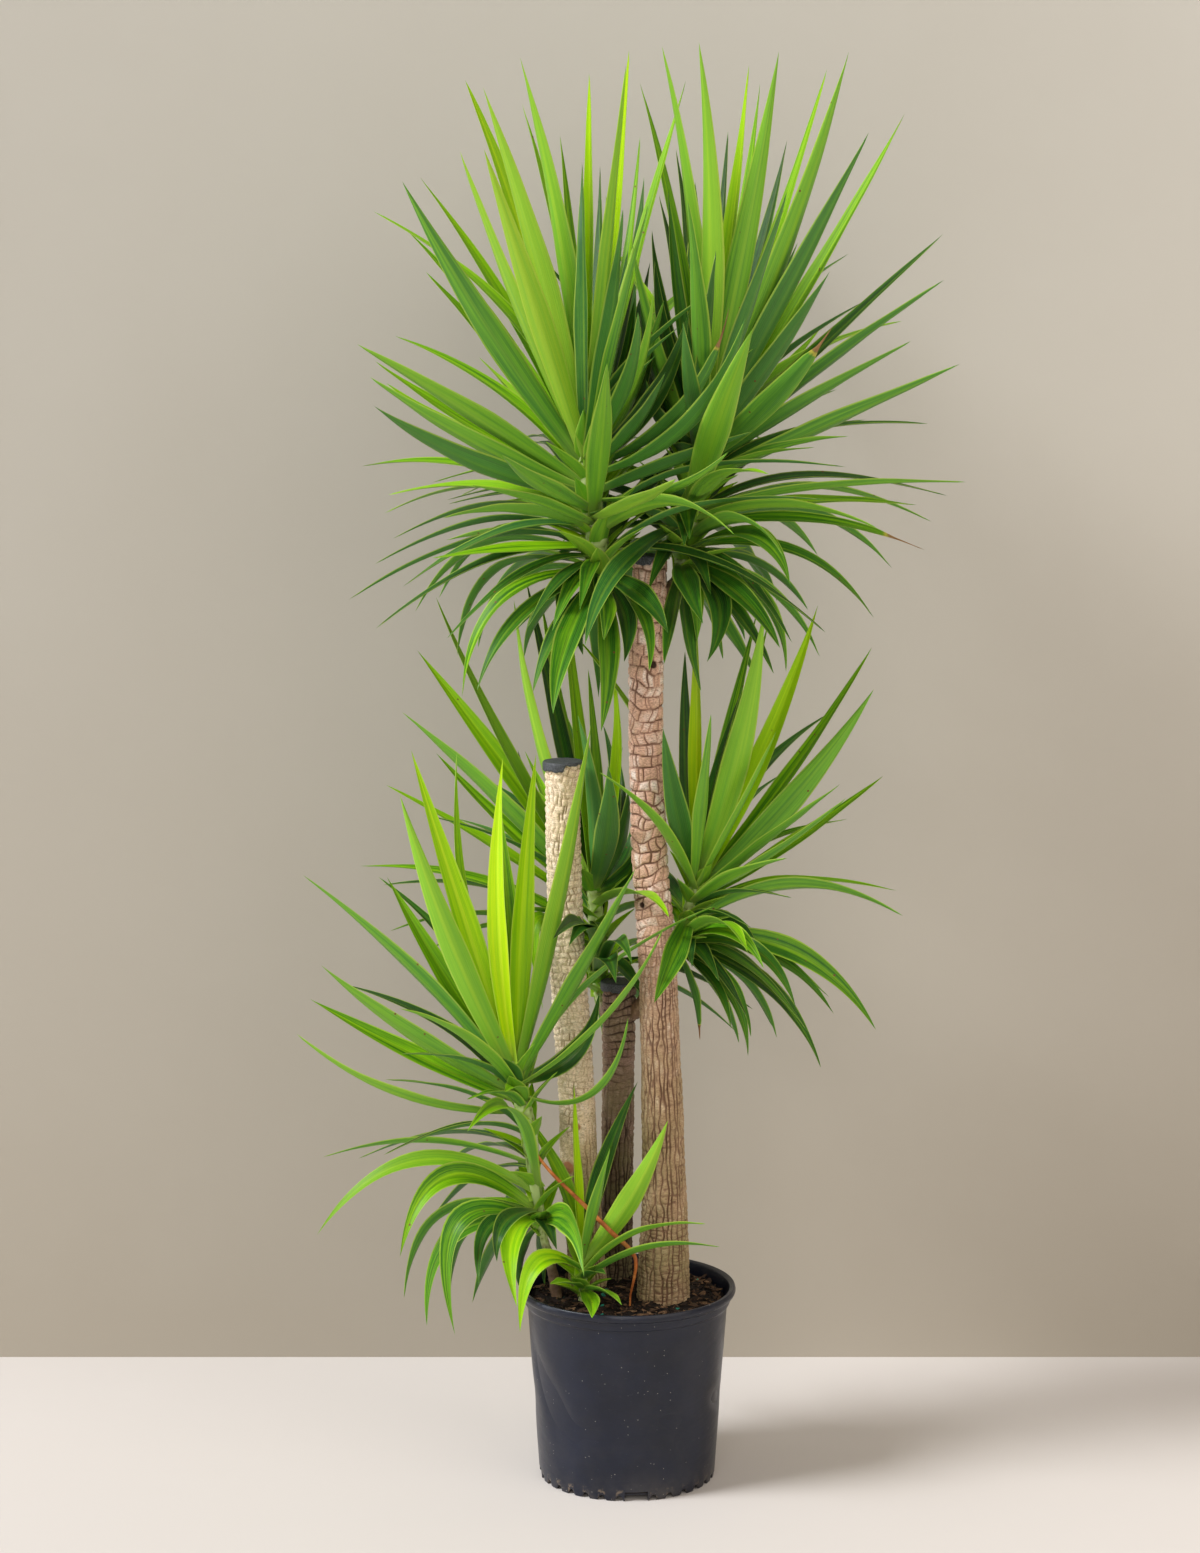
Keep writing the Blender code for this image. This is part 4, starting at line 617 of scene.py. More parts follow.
def inner_radius(height):
    """Radius of the pot's inner wall at a height."""
    share = height / (POT_HEIGHT - BAND_DROP)
    return FOOT_RADIUS + (WALL_TOP_RADIUS - FOOT_RADIUS) * share - WALL


def soil_height(x, y):
    """Height of the mulch: a low mound that rises towards the back, with chips."""
    chips = sin(61.0 * x + 3.0) * cos(53.0 * y) + 0.6 * sin(117.0 * x - 89.0 * y)
    return SOIL_TOP + SOIL_RISE_BEHIND * (0.5 + y / 0.3) + SOIL_BUMP * 0.5 * chips


def line_of(stations, steps):
    """Centres and radii along a smooth line through stations, evenly spaced in number."""
    places = [seen(s.px, s.py, s.depth) for s in stations]
    radii = [s.radius for s in stations]
    last = len(places) - 1
    centres = []
    sizes = []
    for k in range(steps + 1):
        at = last * k / steps
        n = min(int(at), last - 1)
        t = at - n
        before = places[max(n - 1, 0)]
        after = places[min(n + 2, last)]
        start, end = places[n], places[n + 1]
        bend_in = (end - before) * 0.5
        bend_out = (after - start) * 0.5
        point = (
            start * (2 * t**3 - 3 * t**2 + 1)
            + bend_in * (t**3 - 2 * t**2 + t)
            + end * (3 * t**2 - 2 * t**3)
            + bend_out * (t**3 - t**2)
        )
        centres.append(point)
        sizes.append(radii[n] * (1 - t) + radii[n + 1] * t)
    return centres, sizes


def cane_line(stations):
    """Centres and radii of a cane from its cut top to its buried end."""
    top = seen(stations[0].px, stations[0].py, stations[0].depth)
    foot = seen(stations[-1].px, stations[-1].py, stations[-1].depth)
    steps = max(2, round((top.z - foot.z) / CANE_RING_STEP))
    centres, radii = line_of(stations, steps)
    centres.append(Vector((foot.x, foot.y, CANE_BOTTOM)))
    radii.append(radii[-1] * 0.97)
    return centres, radii


class Blade:
    """One leaf: a quadratic curve root, bend, tip, and the tilt of its width.

    Such a curve lies in a plane. The width keeps one angle to that plane all the way, so
    the blade never turns over. Where the bend is sharp, the angle stays near a right one,
    so that the inner edge stays open.
    """

    def __init__(self, root, bend, tip, across, width):
        self.root = root
        self.bend = bend
        self.tip = tip
        self.width = width
        start = bend - root
        end = tip - bend
        middle = (tip - root).normalized()
        across = (across - middle * across.dot(middle)).normalized()
        turn = start.cross(end)
        self.normal = turn.normalized() if turn.length > NO_BEND else across
        self.tilt = across.dot(self.normal.cross(middle))
        share = min(1.0, max(0.0, start.dot(start - end) / (start - end).length_squared))
        slowest = start.lerp(end, share).length
        sharpness = 0.5 * width * turn.length / (2.0 * slowest**3)
        limit = min(1.0, OPEN_EDGE / max(sharpness, OPEN_EDGE))
        self.tilt = min(limit, max(-limit, self.tilt))
        self.flat = sqrt(max(0.0, 1.0 - self.tilt**2))
        if across.dot(self.normal) < 0.0:
            self.flat = -self.flat

    def place(self, t):
        """Point of the midline at t from 0 (root) to 1 (tip)."""
        return self.root * (1 - t) ** 2 + self.bend * (2 * t * (1 - t)) + self.tip * t**2

    def frame(self, t):
        """Directions along, across and above the blade at t."""
        along = (self.bend - self.root) * (1 - t) + (self.tip - self.bend) * t
        along.normalize()
        across = self.normal * self.flat + self.normal.cross(along) * self.tilt
        return along, across, across.cross(along)

    def half_width(self, t):
        """Half the width at t: narrow at the root, widest past the middle."""
        return 0.5 * self.width * leaf_profile(t)


def leaf_profile(t):
    """Share of the full width at t: narrow at the root, up to 1, then a long point."""
    swelling = 0.36 + 0.64 * sin(0.5 * pi * min(t / 0.52, 1.0)) ** 1.3
    point = 1.0 if t < 0.52 else max(0.0, 1.0 - ((t - 0.52) / 0.48) ** 1.7)
    return swelling * point


def blade_mesh(blade, stations, margin):
    """Points and faces of a closed V-folded blade: left edge, top, right edge, keel."""
    points = []
    faces = []
    for t in stations:
        _, across, above = blade.frame(t)
        middle = blade.place(t)
        half = blade.half_width(t) + margin
        lift = above * (LEAF_FOLD * half)
        depth = above * (LEAF_THICK * (1.0 - 0.55 * t) + margin)
        points.append(middle - across * half + lift)
        points.append(middle + above * margin)
        points.append(middle + across * half + lift)
        points.append(middle - depth)
    points.append(blade.tip)
    for k in range(len(stations) - 1):
        for n in range(4):
            a = 4 * k + n
            b = 4 * k + (n + 1) % 4
            faces.append((a, b, b + 4))
            faces.append((a, b + 4, a + 4))
    end = 4 * (len(stations) - 1)
    tip = len(points) - 1
    for n in range(4):
        faces.append((end + n, end + (n + 1) % 4, tip))
    faces += [(0, 2, 1), (0, 3, 2)]
    return points, faces


def stem_place(head, share):
    """Point of a stem at a share of its crown, from 0 at the lowest leaf to 1 at its top."""
    centres, _ = line_of(head.stem, 40)
    at = (head.crown + (1.0 - head.crown) * share) * 40
    n = min(int(at), 39)
    return centres[n].lerp(centres[n + 1], at - n)


def root_share(elevation, order):
    """Where on the crown a leaf grows: drooping leaves low, upright ones at the top.

    The leaf's order moves it a little, so that no two leaves start at one point.
    """
    share = min(0.94, max(0.04, 0.08 + 0.88 * (elevation + 60.0) / 135.0))
    return share + 0.05 * ((order * GOLDEN_SHARE) % 1.0)


def soft_limit(share):
    """A share kept between the crown's ends, with no two shares made equal."""
    return 0.03 + 0.91 / (1.0 + exp(-5.0 * (share - 0.5)))


def full_length(head, elevation):
    """Length of a leaf by its elevation in degrees: upright, level and drooping."""
    upright, level, drooping = head.length
    if elevation >= 0.0:
        share = min(1.0, elevation / 65.0)
        return level + (upright - level) * share
    share = min(1.0, -elevation / 50.0)
    return level + (drooping - level) * share


def raised(level, elevation):
    """A level direction raised by an angle in degrees."""
    return level * cos(radians(elevation)) + Vector((0.0, 0.0, sin(radians(elevation))))


def facing_across(along, outward, apparent_share):
    """Direction of the width that shows the given share of itself to the front view.

    It starts from the natural one, level and square to the stem, and turns round the
    leaf's own line as little as it has to.
    """
    natural = outward.cross(UP)
    if natural.length < 0.05:
        natural = Vector((1.0, 0.0, 0.0))
    natural = (natural - along * natural.dot(along)).normalized()
    flat = along.cross(Vector((0.0, 1.0, 0.0)))
    if flat.length < 0.2:
        return natural
    flat.normalize()
    lean = along.cross(flat)
    now = atan2(natural.dot(lean), natural.dot(flat))
    wanted = acos(min(1.0, max(0.0, apparent_share)))
    best = min(
        (wanted, -wanted, pi - wanted, wanted - pi),
        key=lambda angle: abs((angle - now + pi) % (2 * pi) - pi),
    )
    return flat * cos(best) + lean * sin(best)


def shown_blade(head, leaf, order, depth_shift, bend_shift, root_shift):
    """The blade of a leaf that the front view shows, with shifts that bend it clear."""
    middle = stem_place(head, 0.55)
    flat_tip = seen(*leaf.tip, middle.y)
    rise = flat_tip.z - middle.z
    run = abs(flat_tip.x - middle.x)
    share = root_share(degrees(atan2(rise, run + 1e-6)), order)
    if leaf.at is not None:
        share = leaf.at + 0.003 * order
    share = soft_limit(share + root_shift)
    root = stem_place(head, share)
    root.y += ROOT_SPREAD * ((order * DEPTH_SHARE) % 1.0 - 0.5)
    flat_tip = seen(*leaf.tip, root.y)
    apparent = (flat_tip - root).length
    length = full_length(head, degrees(atan2(flat_tip.z - root.z, run + 1e-6)))
    hidden = sqrt(max(length**2 - apparent**2, (0.15 * apparent) ** 2))
    depth = root.y - leaf.near * hidden + depth_shift
    tip = seen(*leaf.tip, depth)
    near_past = seen(*leaf.past, root.y)
    way = (near_past - root).length
    t = way / (way + (flat_tip - near_past).length)
    t = min(0.72, max(0.3, t))
    bow = 0.35 * (depth - root.y) * t * (1 - t)
    through = seen(*leaf.past, root.y + (depth - root.y) * t + bow + bend_shift)
    bend = (through - root * (1 - t) ** 2 - tip * t**2) / (2 * t * (1 - t))
    along = (tip - root).normalized()
    outward = Vector((tip.x - root.x, tip.y - root.y, 0.0))
    shown = leaf.wide * metres_per_pixel(through)
    width = max(head.width * (0.80 if leaf.wide < 15 else 1.0), shown)
    across = facing_across(along, outward, shown / width)
    return Blade(root, bend, tip, across, width)


def hidden_blade(head, order, turn_shift, lift_shift, root_shift):
    """A blade behind the stem, by the golden angle and a seeded draw."""
    draw = np.random.default_rng(head.seed * 100 + order)
    turn = (GOLDEN_TURN * order + head.seed) % pi
    turn = radians(15.0) + turn * (150.0 / 180.0) + turn_shift
    elevation = -40.0 + 105.0 * order / max(1, head.behind - 1) + draw.uniform(-8.0, 8.0)
    elevation += degrees(lift_shift)
    share = root_share(elevation, order + 0.5) + root_shift
    root = stem_place(head, soft_limit(share))
    length = full_length(head, elevation) * draw.uniform(0.78, 0.98)
    level = Vector((cos(turn), sin(turn), 0.0))
    tip = root + raised(level, elevation) * length * 0.96
    bend = root + raised(level, min(85.0, elevation + 30.0)) * length * 0.45
    across = facing_across((tip - root).normalized(), level, 0.6)
    return Blade(root, bend, tip, level.cross(UP).lerp(across, 0.3), head.width)


class Placed:
    """A blade that has its place, with the trees that later blades are tested against."""

    def __init__(self, head, blade):
        self.head = head
        self.blade = blade
        self.whole, points = blade_tree(blade, TEST_STATIONS)
        self.outer, _ = blade_tree(blade, OUTER_STATIONS)
        self.low, self.high = corners_of(points)


def blade_tree(blade, stations):
    """Search tree and points of a slightly enlarged blade."""
    points, faces = blade_mesh(blade, stations, CLEARANCE)
    return BVHTree.FromPolygons(points, faces), points


def corners_of(points):
    """Lowest and highest corner of a list of points."""
    grid = np.array([tuple(p) for p in points])
    return grid.min(axis=0), grid.max(axis=0)


def crossings(new, placed, obstacles):
    """How often a blade crosses other nodes, and how often leaves of its own head."""
    foreign = 0
    own = 0
    for owner, (tree, low, high) in obstacles:
        if owner == new.head or (new.low > high).any() or (new.high < low).any():
            continue
        foreign += bool(new.whole.overlap(tree))
    for other in placed:
        if (new.low > other.high).any() or (new.high < other.low).any():
            continue
        if other.head == new.head:
            own += bool(new.outer.overlap(other.outer))
        else:
            foreign += bool(new.whole.overlap(other.whole))
    return foreign, own


def settle(head_name, candidates, placed, obstacles):
    """The first candidate that crosses nothing, or the one that crosses its head least."""
    best = None
    for blade in candidates:
        new = Placed(head_name, blade)
        foreign, own = crossings(new, placed, obstacles)
        if foreign == 0 and own == 0:
            return new
        if foreign == 0 and (best is None or own < best[0]):
            best = (own, new)
    return best[1] if best else None


def tries(make, seed, reach):
    """One blade again and again: unshifted at first, and shifted more widely each time.

    The seeded shifts are of three kinds, each with its own reach.
    """
    draw = np.random.default_rng(seed)
    for k in range(TRIES):
        yield make(*(draw.normal(size=3) * np.array(reach) * (k / TRIES)))


def leaf_jobs():
    """Every leaf in the order of placing: shown, hidden, filling and shade leaves."""
    for head in HEADS:
        for order, leaf in enumerate(head.leaves):
            make = partial(shown_blade, head, leaf, order)
            yield Job(head, make, order, SHOWN_REACH, leaf.tone)
    for head in HEADS:
        for order in range(head.behind):
            make = partial(hidden_blade, head, order)
            # Hidden leaves take the dark tone in turn with the mid one: partly painted shade
            # behind the stems
            tone = ("dark", "mid")[order % 2]
            yield Job(head, make, HIDDEN_SEED + order, TURNED_REACH, tone)
    for head in HEADS:
        for order in range(FILLING[head.name][0]):
            make = partial(filling_blade, head, order)
            # Filling leaves mostly take the dark tone: partly painted shade deep in the crowns
            tone = ("dark", "mid", "dark", "blue")[order % 4]
            yield Job(head, make, FILLING_SEED + order, TURNED_REACH, tone)
    for head in HEADS:
        for order, leaf in enumerate(SHADE_LEAVES.get(head.name, ())):
            make = partial(shown_blade, head, leaf, order)
            yield Job(head, make, SHADE_SEED + order, SHOWN_REACH, leaf.tone, BACK_EDGE)


def place_leaves(obstacles):
    """Every leaf that finds room, with its tone, each bent clear of all before it."""
    placed = []
    tones = []
    for job in leaf_jobs():
        tried = tries(job.make, SEED_STEP * job.head.seed + job.seed, job.reach)
        tried = (blade for blade in tried if blade.tip.y < job.back)
        found = settle(job.head.name, tried, placed, obstacles)
        if found:
            placed.append(found)
            tones.append(settled_tone(found.blade, job.tone))
    return placed, tones


def settled_tone(blade, tone):
    """A leaf's tone, which is a duller one where the leaf hangs."""
    hangs = blade.tip.z < blade.root.z - HANGING_DROP
    return HANGING_TONES.get(tone, tone) if hangs else tone


def filling_blade(head, order, turn_shift, lift_shift, root_shift):
    """A shorter blade that thickens a crown: all round it by the golden angle.

    At the front it is shortest, so that it covers the stem and not the leaves in view.
    """
    draw = np.random.default_rng(head.seed * 200 + order)
    turn = GOLDEN_TURN * order + head.seed + turn_shift
    if cos(turn) * FILLING[head.name][1] < 0.0:
        turn = pi - turn
    front = max(0.0, -sin(turn))
    elevation = -45.0 + 115.0 * ((order * GOLDEN_SHARE) % 1.0) + degrees(lift_shift)
    root = stem_place(head, soft_limit(root_share(elevation, order + 0.25) + root_shift))
    length = full_length(head, elevation) * draw.uniform(0.62, 0.82) * (1.0 - 0.58 * front)
    level = Vector((cos(turn), sin(turn), 0.0))
    end = raised(level, elevation)
    for axis in (0, 1):
        room = OUTER_LIMIT - abs(root[axis])
        length = min(length, room / max(0.05, abs(end[axis])))
    tip = root + end * length
    bend = root + raised(level, min(85.0, elevation + 35.0)) * length * 0.42
    across = facing_across((tip - root).normalized(), level, 0.7)
    across = level.cross(UP).lerp(across, 0.3)
    return Blade(root, bend, tip, across, head.width * draw.uniform(0.7, 0.9))


# Rough shapes that the leaves keep clear of


def rough_tube(centres, radii, sides):
    """Points and faces of a closed tube along a list of centres, with a radius at each."""
    points = []
    faces = []
    count = len(centres)
    side = Vector((1.0, 0.0, 0.0))
    for k, centre in enumerate(centres):
        ahead = centres[min(k + 1, count - 1)] - centres[max(k - 1, 0)]
        ahead.normalize()
        side = (side - ahead * side.dot(ahead)).normalized()
        over = ahead.cross(side)
        for n in range(sides):
            angle = 2 * pi * n / sides
            points.append(centre + (side * cos(angle) + over * sin(angle)) * radii[k])
    for k in range(count - 1):
        faces += ring_faces(k, k + 1, sides)
    faces.append(tuple(range(sides)))
    faces.append(tuple((count - 1) * sides + n for n in range(sides)))
    return points, faces


def rough_cane(stations, grow):
    """A cane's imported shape, enlarged."""
    centres, radii = cane_line(stations)
    sizes = []
    for k, radius in enumerate(radii):
        swell = CANE_SWELL * sin(2.1 * k + len(stations)) if 0 < k < len(radii) - 2 else 0.0
        sizes.append(radius + swell + grow)
    centres[0] = centres[0] + Vector((0.0, 0.0, grow))
    centres[-1] = centres[-1] - Vector((0.0, 0.0, grow))
    return rough_tube(centres, sizes, CANE_SIDES)


def rough_stem(head, grow):
    """A head's bare stem, enlarged."""
    centres, radii = line_of(head.stem, len(head.stem) - 1)
    return rough_tube(centres, [r + grow for r in radii], STEM_SIDES)


def rough_pot():
    """The pot's lip and wall and the soil, slightly enlarged, as one turned shape."""
    profile = (
        (WALL_TOP_RADIUS + 0.005, 0.010),
        (WALL_TOP_RADIUS + 0.008, POT_HEIGHT - 0.020),
        (RIM_RADIUS + 0.002, POT_HEIGHT - LIP_DROP - 0.002),
        (RIM_RADIUS + 0.002, POT_HEIGHT + 0.002),
        (RIM_RADIUS - 0.012, POT_HEIGHT + 0.001),
        (RIM_RADIUS - 0.016, SOIL_TOP + 0.008),
    )
    points = [Vector((0.0, 0.0, 0.005)), Vector((0.0, 0.0, SOIL_TOP + 0.010))]
    faces = []
    for radius, height in profile:
        for n in range(POT_SIDES):
            angle = 2 * pi * n / POT_SIDES
            points.append(Vector((radius * cos(angle), radius * sin(angle), height)))
    last = len(profile) - 1
    for n in range(POT_SIDES):
        following = (n + 1) % POT_SIDES
        for k in range(last):
            low = 2 + k * POT_SIDES
            high = low + POT_SIDES
            faces.append((low + n, low + following, high + n))
            faces.append((low + following, high + following, high + n))
        faces.append((0, 2 + n, 2 + following))
        faces.append((1, 2 + last * POT_SIDES + n, 2 + last * POT_SIDES + following))
    return points, faces


def rough_dry_leaf(grow):
    """The dry leaf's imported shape, enlarged."""
    centres, radii = dry_leaf_line(DRY_LEAF_STEPS)
    points = []
    faces = []
    for k, centre in enumerate(centres):
        before = centres[max(k - 1, 0)]
        after = centres[min(k + 1, DRY_LEAF_STEPS)]
        ahead = (after - before).normalized()
        across = ahead.cross(Vector((0.0, 1.0, 0.0))).normalized()
        above = across.cross(ahead) * (0.5 * DRY_LEAF_THICK + grow)
        edge = across * (radii[k] + grow)
        fold = above * 1.5
        points += [centre - edge + fold, centre + above, centre + edge + fold, centre - above]
    for k in range(DRY_LEAF_STEPS):
        faces += ring_faces(k, k + 1, 4)
    last = 4 * DRY_LEAF_STEPS
    faces += [(0, 1, 2, 3), (last + 3, last + 2, last + 1, last)]
    return points, faces


def dry_leaf_line(steps):
    """Centres and half widths of the dry leaf, which ends on the mulch."""
    centres, radii = line_of(DRY_LEAF, steps)
    end = centres[-1]
    end.z = soil_height(end.x, end.y) + DRY_LEAF_THICK
    return centres, radii


def obstacles_of_leaves():
    """What the leaves keep clear of: canes, stems, the pot with its soil, the dry leaf."""
    shapes = [("", rough_cane(stations, 0.003)) for stations in CANES]
    shapes += [(head.name, rough_stem(head, 0.0015)) for head in HEADS]
    shapes.append(("", rough_pot()))
    shapes.append(("", rough_dry_leaf(CLEARANCE)))
    found = []
    for owner, (points, faces) in shapes:
        low, high = corners_of(points)
        found.append((owner, (BVHTree.FromPolygons(points, faces), low, high)))
    return found


# Surfaces as whole arrays

Skin = namedtuple("Skin", "points quads triangles values material")


def unit(vectors):
    """Each vector at length one."""
    return vectors / np.maximum(np.linalg.norm(vectors, axis=-1, keepdims=True), 1e-12)


def turn_round(count):
    """Angles of an evenly divided turn, as one row."""
    return 2 * pi * np.arange(count)[None] / count


def softly(value, low, high):
    """From 0 below low to 1 above high, with a soft start and end."""
    share = np.clip((value - low) / (high - low), 0.0, 1.0)
    return share * share * (3.0 - 2.0 * share)


def scatter(row, column, seed):
    """A fixed number from 0 to 1 for each pair of whole numbers."""
    return np.mod(np.sin(row * 127.1 + column * 311.7 + seed * 74.7) * 43758.5453, 1.0)


def rolling(x, y, z, seed):
    """Smooth uneven field near -1 to 1: sines of three skew directions, added."""
    field = np.sin(x * 1.00 + y * 0.37 + z * 0.61 + seed)
    field = field + np.sin(x * -0.53 + y * 1.13 + z * 0.29 + 2.1 * seed + 1.7)
    field = field + np.sin(x * 0.71 - y * 0.83 + z * 1.31 + 3.7 * seed + 4.2)
    return field / 2.2


def signed_volume(points, quads, triangles):
    """Six times the volume within the faces: below zero if they point inwards."""
    corners = np.concatenate([quads[:, [0, 1, 2]], quads[:, [0, 2, 3]], triangles])
    first, second, third = (points[corners[:, n]] for n in range(3))
    return np.einsum("ij,ij->", first, np.cross(second, third))


def closed_skins(rings, poles, values, material=0):
    """Closed skins from rings (skin, ring, around, 3) and two poles each (skin, 2, 3).

    Each ring joins the next by four-sided faces, and each end ring joins its pole by a
    fan. Each value is a field over (skin, ring, around), or broadcasts to one.
    """
    skins, count, around = rings.shape[:3]
    here = np.arange(around)
    following = (here + 1) % around
    row = np.arange(count - 1)[:, None] * around
    ahead = row + around
    quads = np.stack([row + here, row + following, ahead + following, ahead + here], axis=-1)
    low = np.full(around, count * around)
    last = (count - 1) * around
    start = np.stack([following, here, low], axis=-1)
    end = np.stack([last + here, last + following, low + 1], axis=-1)
    offset = np.arange(skins)[:, None, None] * (count * around + 2)
    quads = (quads.reshape(1, -1, 4) + offset).reshape(-1, 4)
    triangles = (np.concatenate([start, end])[None] + offset).reshape(-1, 3)
    points = np.concatenate([rings.reshape(skins, -1, 3), poles], axis=1).reshape(-1, 3)
    if signed_volume(points, quads, triangles) < 0.0:
        quads = quads[:, ::-1]
        triangles = triangles[:, ::-1]
    spread = {name: spread_value(field, rings.shape[:3]) for name, field in values.items()}
    return Skin(points, quads, triangles, spread, material)


def spread_value(field, shape):
    """A field over the rings as one number a point, with the poles' numbers added."""
    field = np.broadcast_to(field, shape).reshape(shape[0], -1)
    ends = np.stack([field[:, 0], field[:, -1]], axis=1)
    return np.concatenate([field, ends], axis=1).reshape(-1)


def end_middles(rings):
    """The middle of each skin's first and last ring, which are its poles."""
    return np.stack([rings[:, 0].mean(axis=1), rings[:, -1].mean(axis=1)], axis=1)


def joined_mesh(name, skins):
    """One smooth mesh of several skins, with their values as attributes."""
    mesh = bpy.data.meshes.new(name)
    starts = np.cumsum([0] + [len(skin.points) for skin in skins[:-1]])
    points = np.concatenate([skin.points for skin in skins])
    quads = np.concatenate([skin.quads + start for skin, start in zip(skins, starts)])
    triangles = np.concatenate([skin.triangles + start for skin, start in zip(skins, starts)])
    sizes = np.concatenate([np.full(len(quads), 4), np.full(len(triangles), 3)])
    corners = np.concatenate([quads.ravel(), triangles.ravel()]).astype(np.int32)
    mesh.vertices.add(len(points))
    mesh.vertices.foreach_set("co", points.astype(np.float32).ravel())
    mesh.loops.add(len(corners))
    mesh.loops.foreach_set("vertex_index", corners)
    mesh.polygons.add(len(sizes))
    mesh.polygons.foreach_set("loop_start", (np.cumsum(sizes) - sizes).astype(np.int32))
    finishes = [np.full(len(skin.quads), skin.material) for skin in skins]
    finishes += [np.full(len(skin.triangles), skin.material) for skin in skins]
    mesh.polygons.foreach_set("material_index", np.concatenate(finishes).astype(np.int32))
    mesh.polygons.foreach_set("use_smooth", np.ones(len(sizes), bool))
    mesh.update(calc_edges=True)
    for key in sorted({key for skin in skins for key in skin.values}):
        fields = [skin.values.get(key, np.zeros(len(skin.points))) for skin in skins]
        layer = mesh.attributes.new(key, "FLOAT", "POINT")
        layer.data.foreach_set("value", np.concatenate(fields).astype(np.float32))
    return mesh


def put_piece(name, node, slot, skins, materials, sharp=radians(60.0)):
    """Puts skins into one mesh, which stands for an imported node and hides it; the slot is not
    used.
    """
    mesh = joined_mesh(name, skins)
    mesh.set_sharp_from_angle(angle=sharp)
    for material in materials:
        mesh.materials.append(material)
    piece = bpy.data.objects.new(name, mesh)
    bpy.context.scene.collection.objects.link(piece)
    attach(piece, "root")
    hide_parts(node)
    return piece


def path_directions(centres):
    """Unit direction of a path at each of its points."""
    ahead = np.empty_like(centres)
    ahead[1:-1] = centres[2:] - centres[:-2]
    ahead[0] = centres[1] - centres[0]
    ahead[-1] = centres[-1] - centres[-2]
    return unit(ahead)


def carried_rings(centres, radius, angle):
    """Rings of points round a path, by their radius at each angle from the side direction.

    The side direction is the part of +X that is square to the path, so the rings never
    twist.
    """
    centres = np.array([tuple(c) for c in centres])
    ahead = path_directions(centres)
    side = np.broadcast_to([1.0, 0.0, 0.0], centres.shape)
    side = unit(side - ahead * np.sum(side * ahead, axis=-1, keepdims=True))
    over = np.cross(ahead, side)
    rings = centres[:, None] + side[:, None] * (radius * np.cos(angle))[..., None]
    return (rings + over[:, None] * (radius * np.sin(angle))[..., None])[None]


# Leaves and leafy stems

LEAF_RINGS = 21
LEAF_THINNEST = 0.0005
WIDEST_AT = 0.46
FULL_CROWN_SHEATHS = 22
TOP_SECTION = (-1.0, -0.74, -0.46, -0.20, 0.0, 0.20, 0.46, 0.74, 1.0)
UNDER_SECTION = (0.985, 0.66, 0.30, 0.0, -0.30, -0.66, -0.985)


def leaf_width_share(t, base):
    """Share of the full width along a leaf: swells to the widest, then a long point."""
    swelling = np.sin(0.5 * pi * np.minimum(t / WIDEST_AT, 1.0)) ** 1.3
    point = 1.0 - (np.maximum(t - WIDEST_AT, 0.0) / (1.0 - WIDEST_AT)) ** 1.28
    return (base + (1.0 - base) * swelling) * point


def blade_paths(blades, t):
    """Midlines, directions across and above them at t, and tips of many blades.

    A midline is root (1-t)^2 + bend 2t(1-t) + tip t^2.
    """
    places = np.array([[tuple(b.root), tuple(b.bend), tuple(b.tip)] for b in blades])
    root, bend, tip = (places[:, None, n] for n in range(3))
    normal = np.array([tuple(b.normal) for b in blades])[:, None]
    tilt = np.array([b.tilt for b in blades])[:, None, None]
    flat = np.array([b.flat for b in blades])[:, None, None]
    middle = root * (1 - t) ** 2 + bend * (2 * t * (1 - t)) + tip * t**2
    along = unit((bend - root) * (1 - t) + (tip - bend) * t)
    across = normal * flat + np.cross(normal, along) * tilt
    return middle, across, np.cross(across, along), tip


def leaf_skins(blades, tones, seed, ripple, base=0.46):
    """Closed leaf blades: a V-folded section carried along each blade's own curve.

    The section rises by the fold times |u|^1.2, where u goes from -1 to 1 across it. Its
    thickness falls from the midrib to the edge and from the root to the tip. A slow
    ripple lifts the edges.
    """
    t = np.linspace(0.0, 1.0, LEAF_RINGS + 1)[:-1]
    t = (0.6 * t + 0.4 * np.sin(0.5 * pi * t))[None, :, None]
    middle, across, above, tip = blade_paths(blades, t)
    width = np.array([b.width for b in blades])[:, None, None]
    looks = np.array([TONES[tone] for tone in tones])[:, :, None, None]
    shrivel = 1.0 - 0.62 * softly(t + 1.1 * looks[:, 3], 0.96, 1.06)
    half = 0.47 * width * leaf_width_share(t, base) * shrivel
    u = np.array(TOP_SECTION + UNDER_SECTION)[None, None]
    under = (np.arange(u.shape[-1]) >= len(TOP_SECTION)).astype(float)[None, None]
    draw = np.random.default_rng(seed)
    phase = draw.uniform(0.0, 2 * pi, size=(len(blades), 1, 1))
    waves = draw.uniform(1.5, 3.5, size=(len(blades), 1, 1))
    lift = LEAF_FOLD * half * np.abs(u) ** 1.2
    lift = lift + ripple * u * u * np.sin(2 * pi * waves * t + phase + u) * softly(t, 0.1, 0.3)
    thick = LEAF_THICK * (1.0 - 0.55 * t) * (1.0 - 0.74 * u * u)
    lift = lift - under * np.maximum(thick, LEAF_THINNEST)
    rings = middle[:, :, None] + across[:, :, None] * (half * u)[..., None]
    rings = rings + above[:, :, None] * lift[..., None]
    poles = np.concatenate([rings[:, 0].mean(axis=1)[:, None], tip], axis=1)
    values = {
        "across": u,
        "along": t,
        "under": under,
        "youth": looks[:, 0],
        "blue": looks[:, 1],
        "stripe": looks[:, 2],
        "dry": looks[:, 3],
        "chance": draw.uniform(0.0, 1.0, size=(len(blades), 1, 1)),
    }
    return closed_skins(rings, poles, values)


def sheath_count(head):
    """How many leaf bases clasp a crown: fewer on a small one, by its longest leaf."""
    return round(FULL_CROWN_SHEATHS * head.length[0] / 0.62)


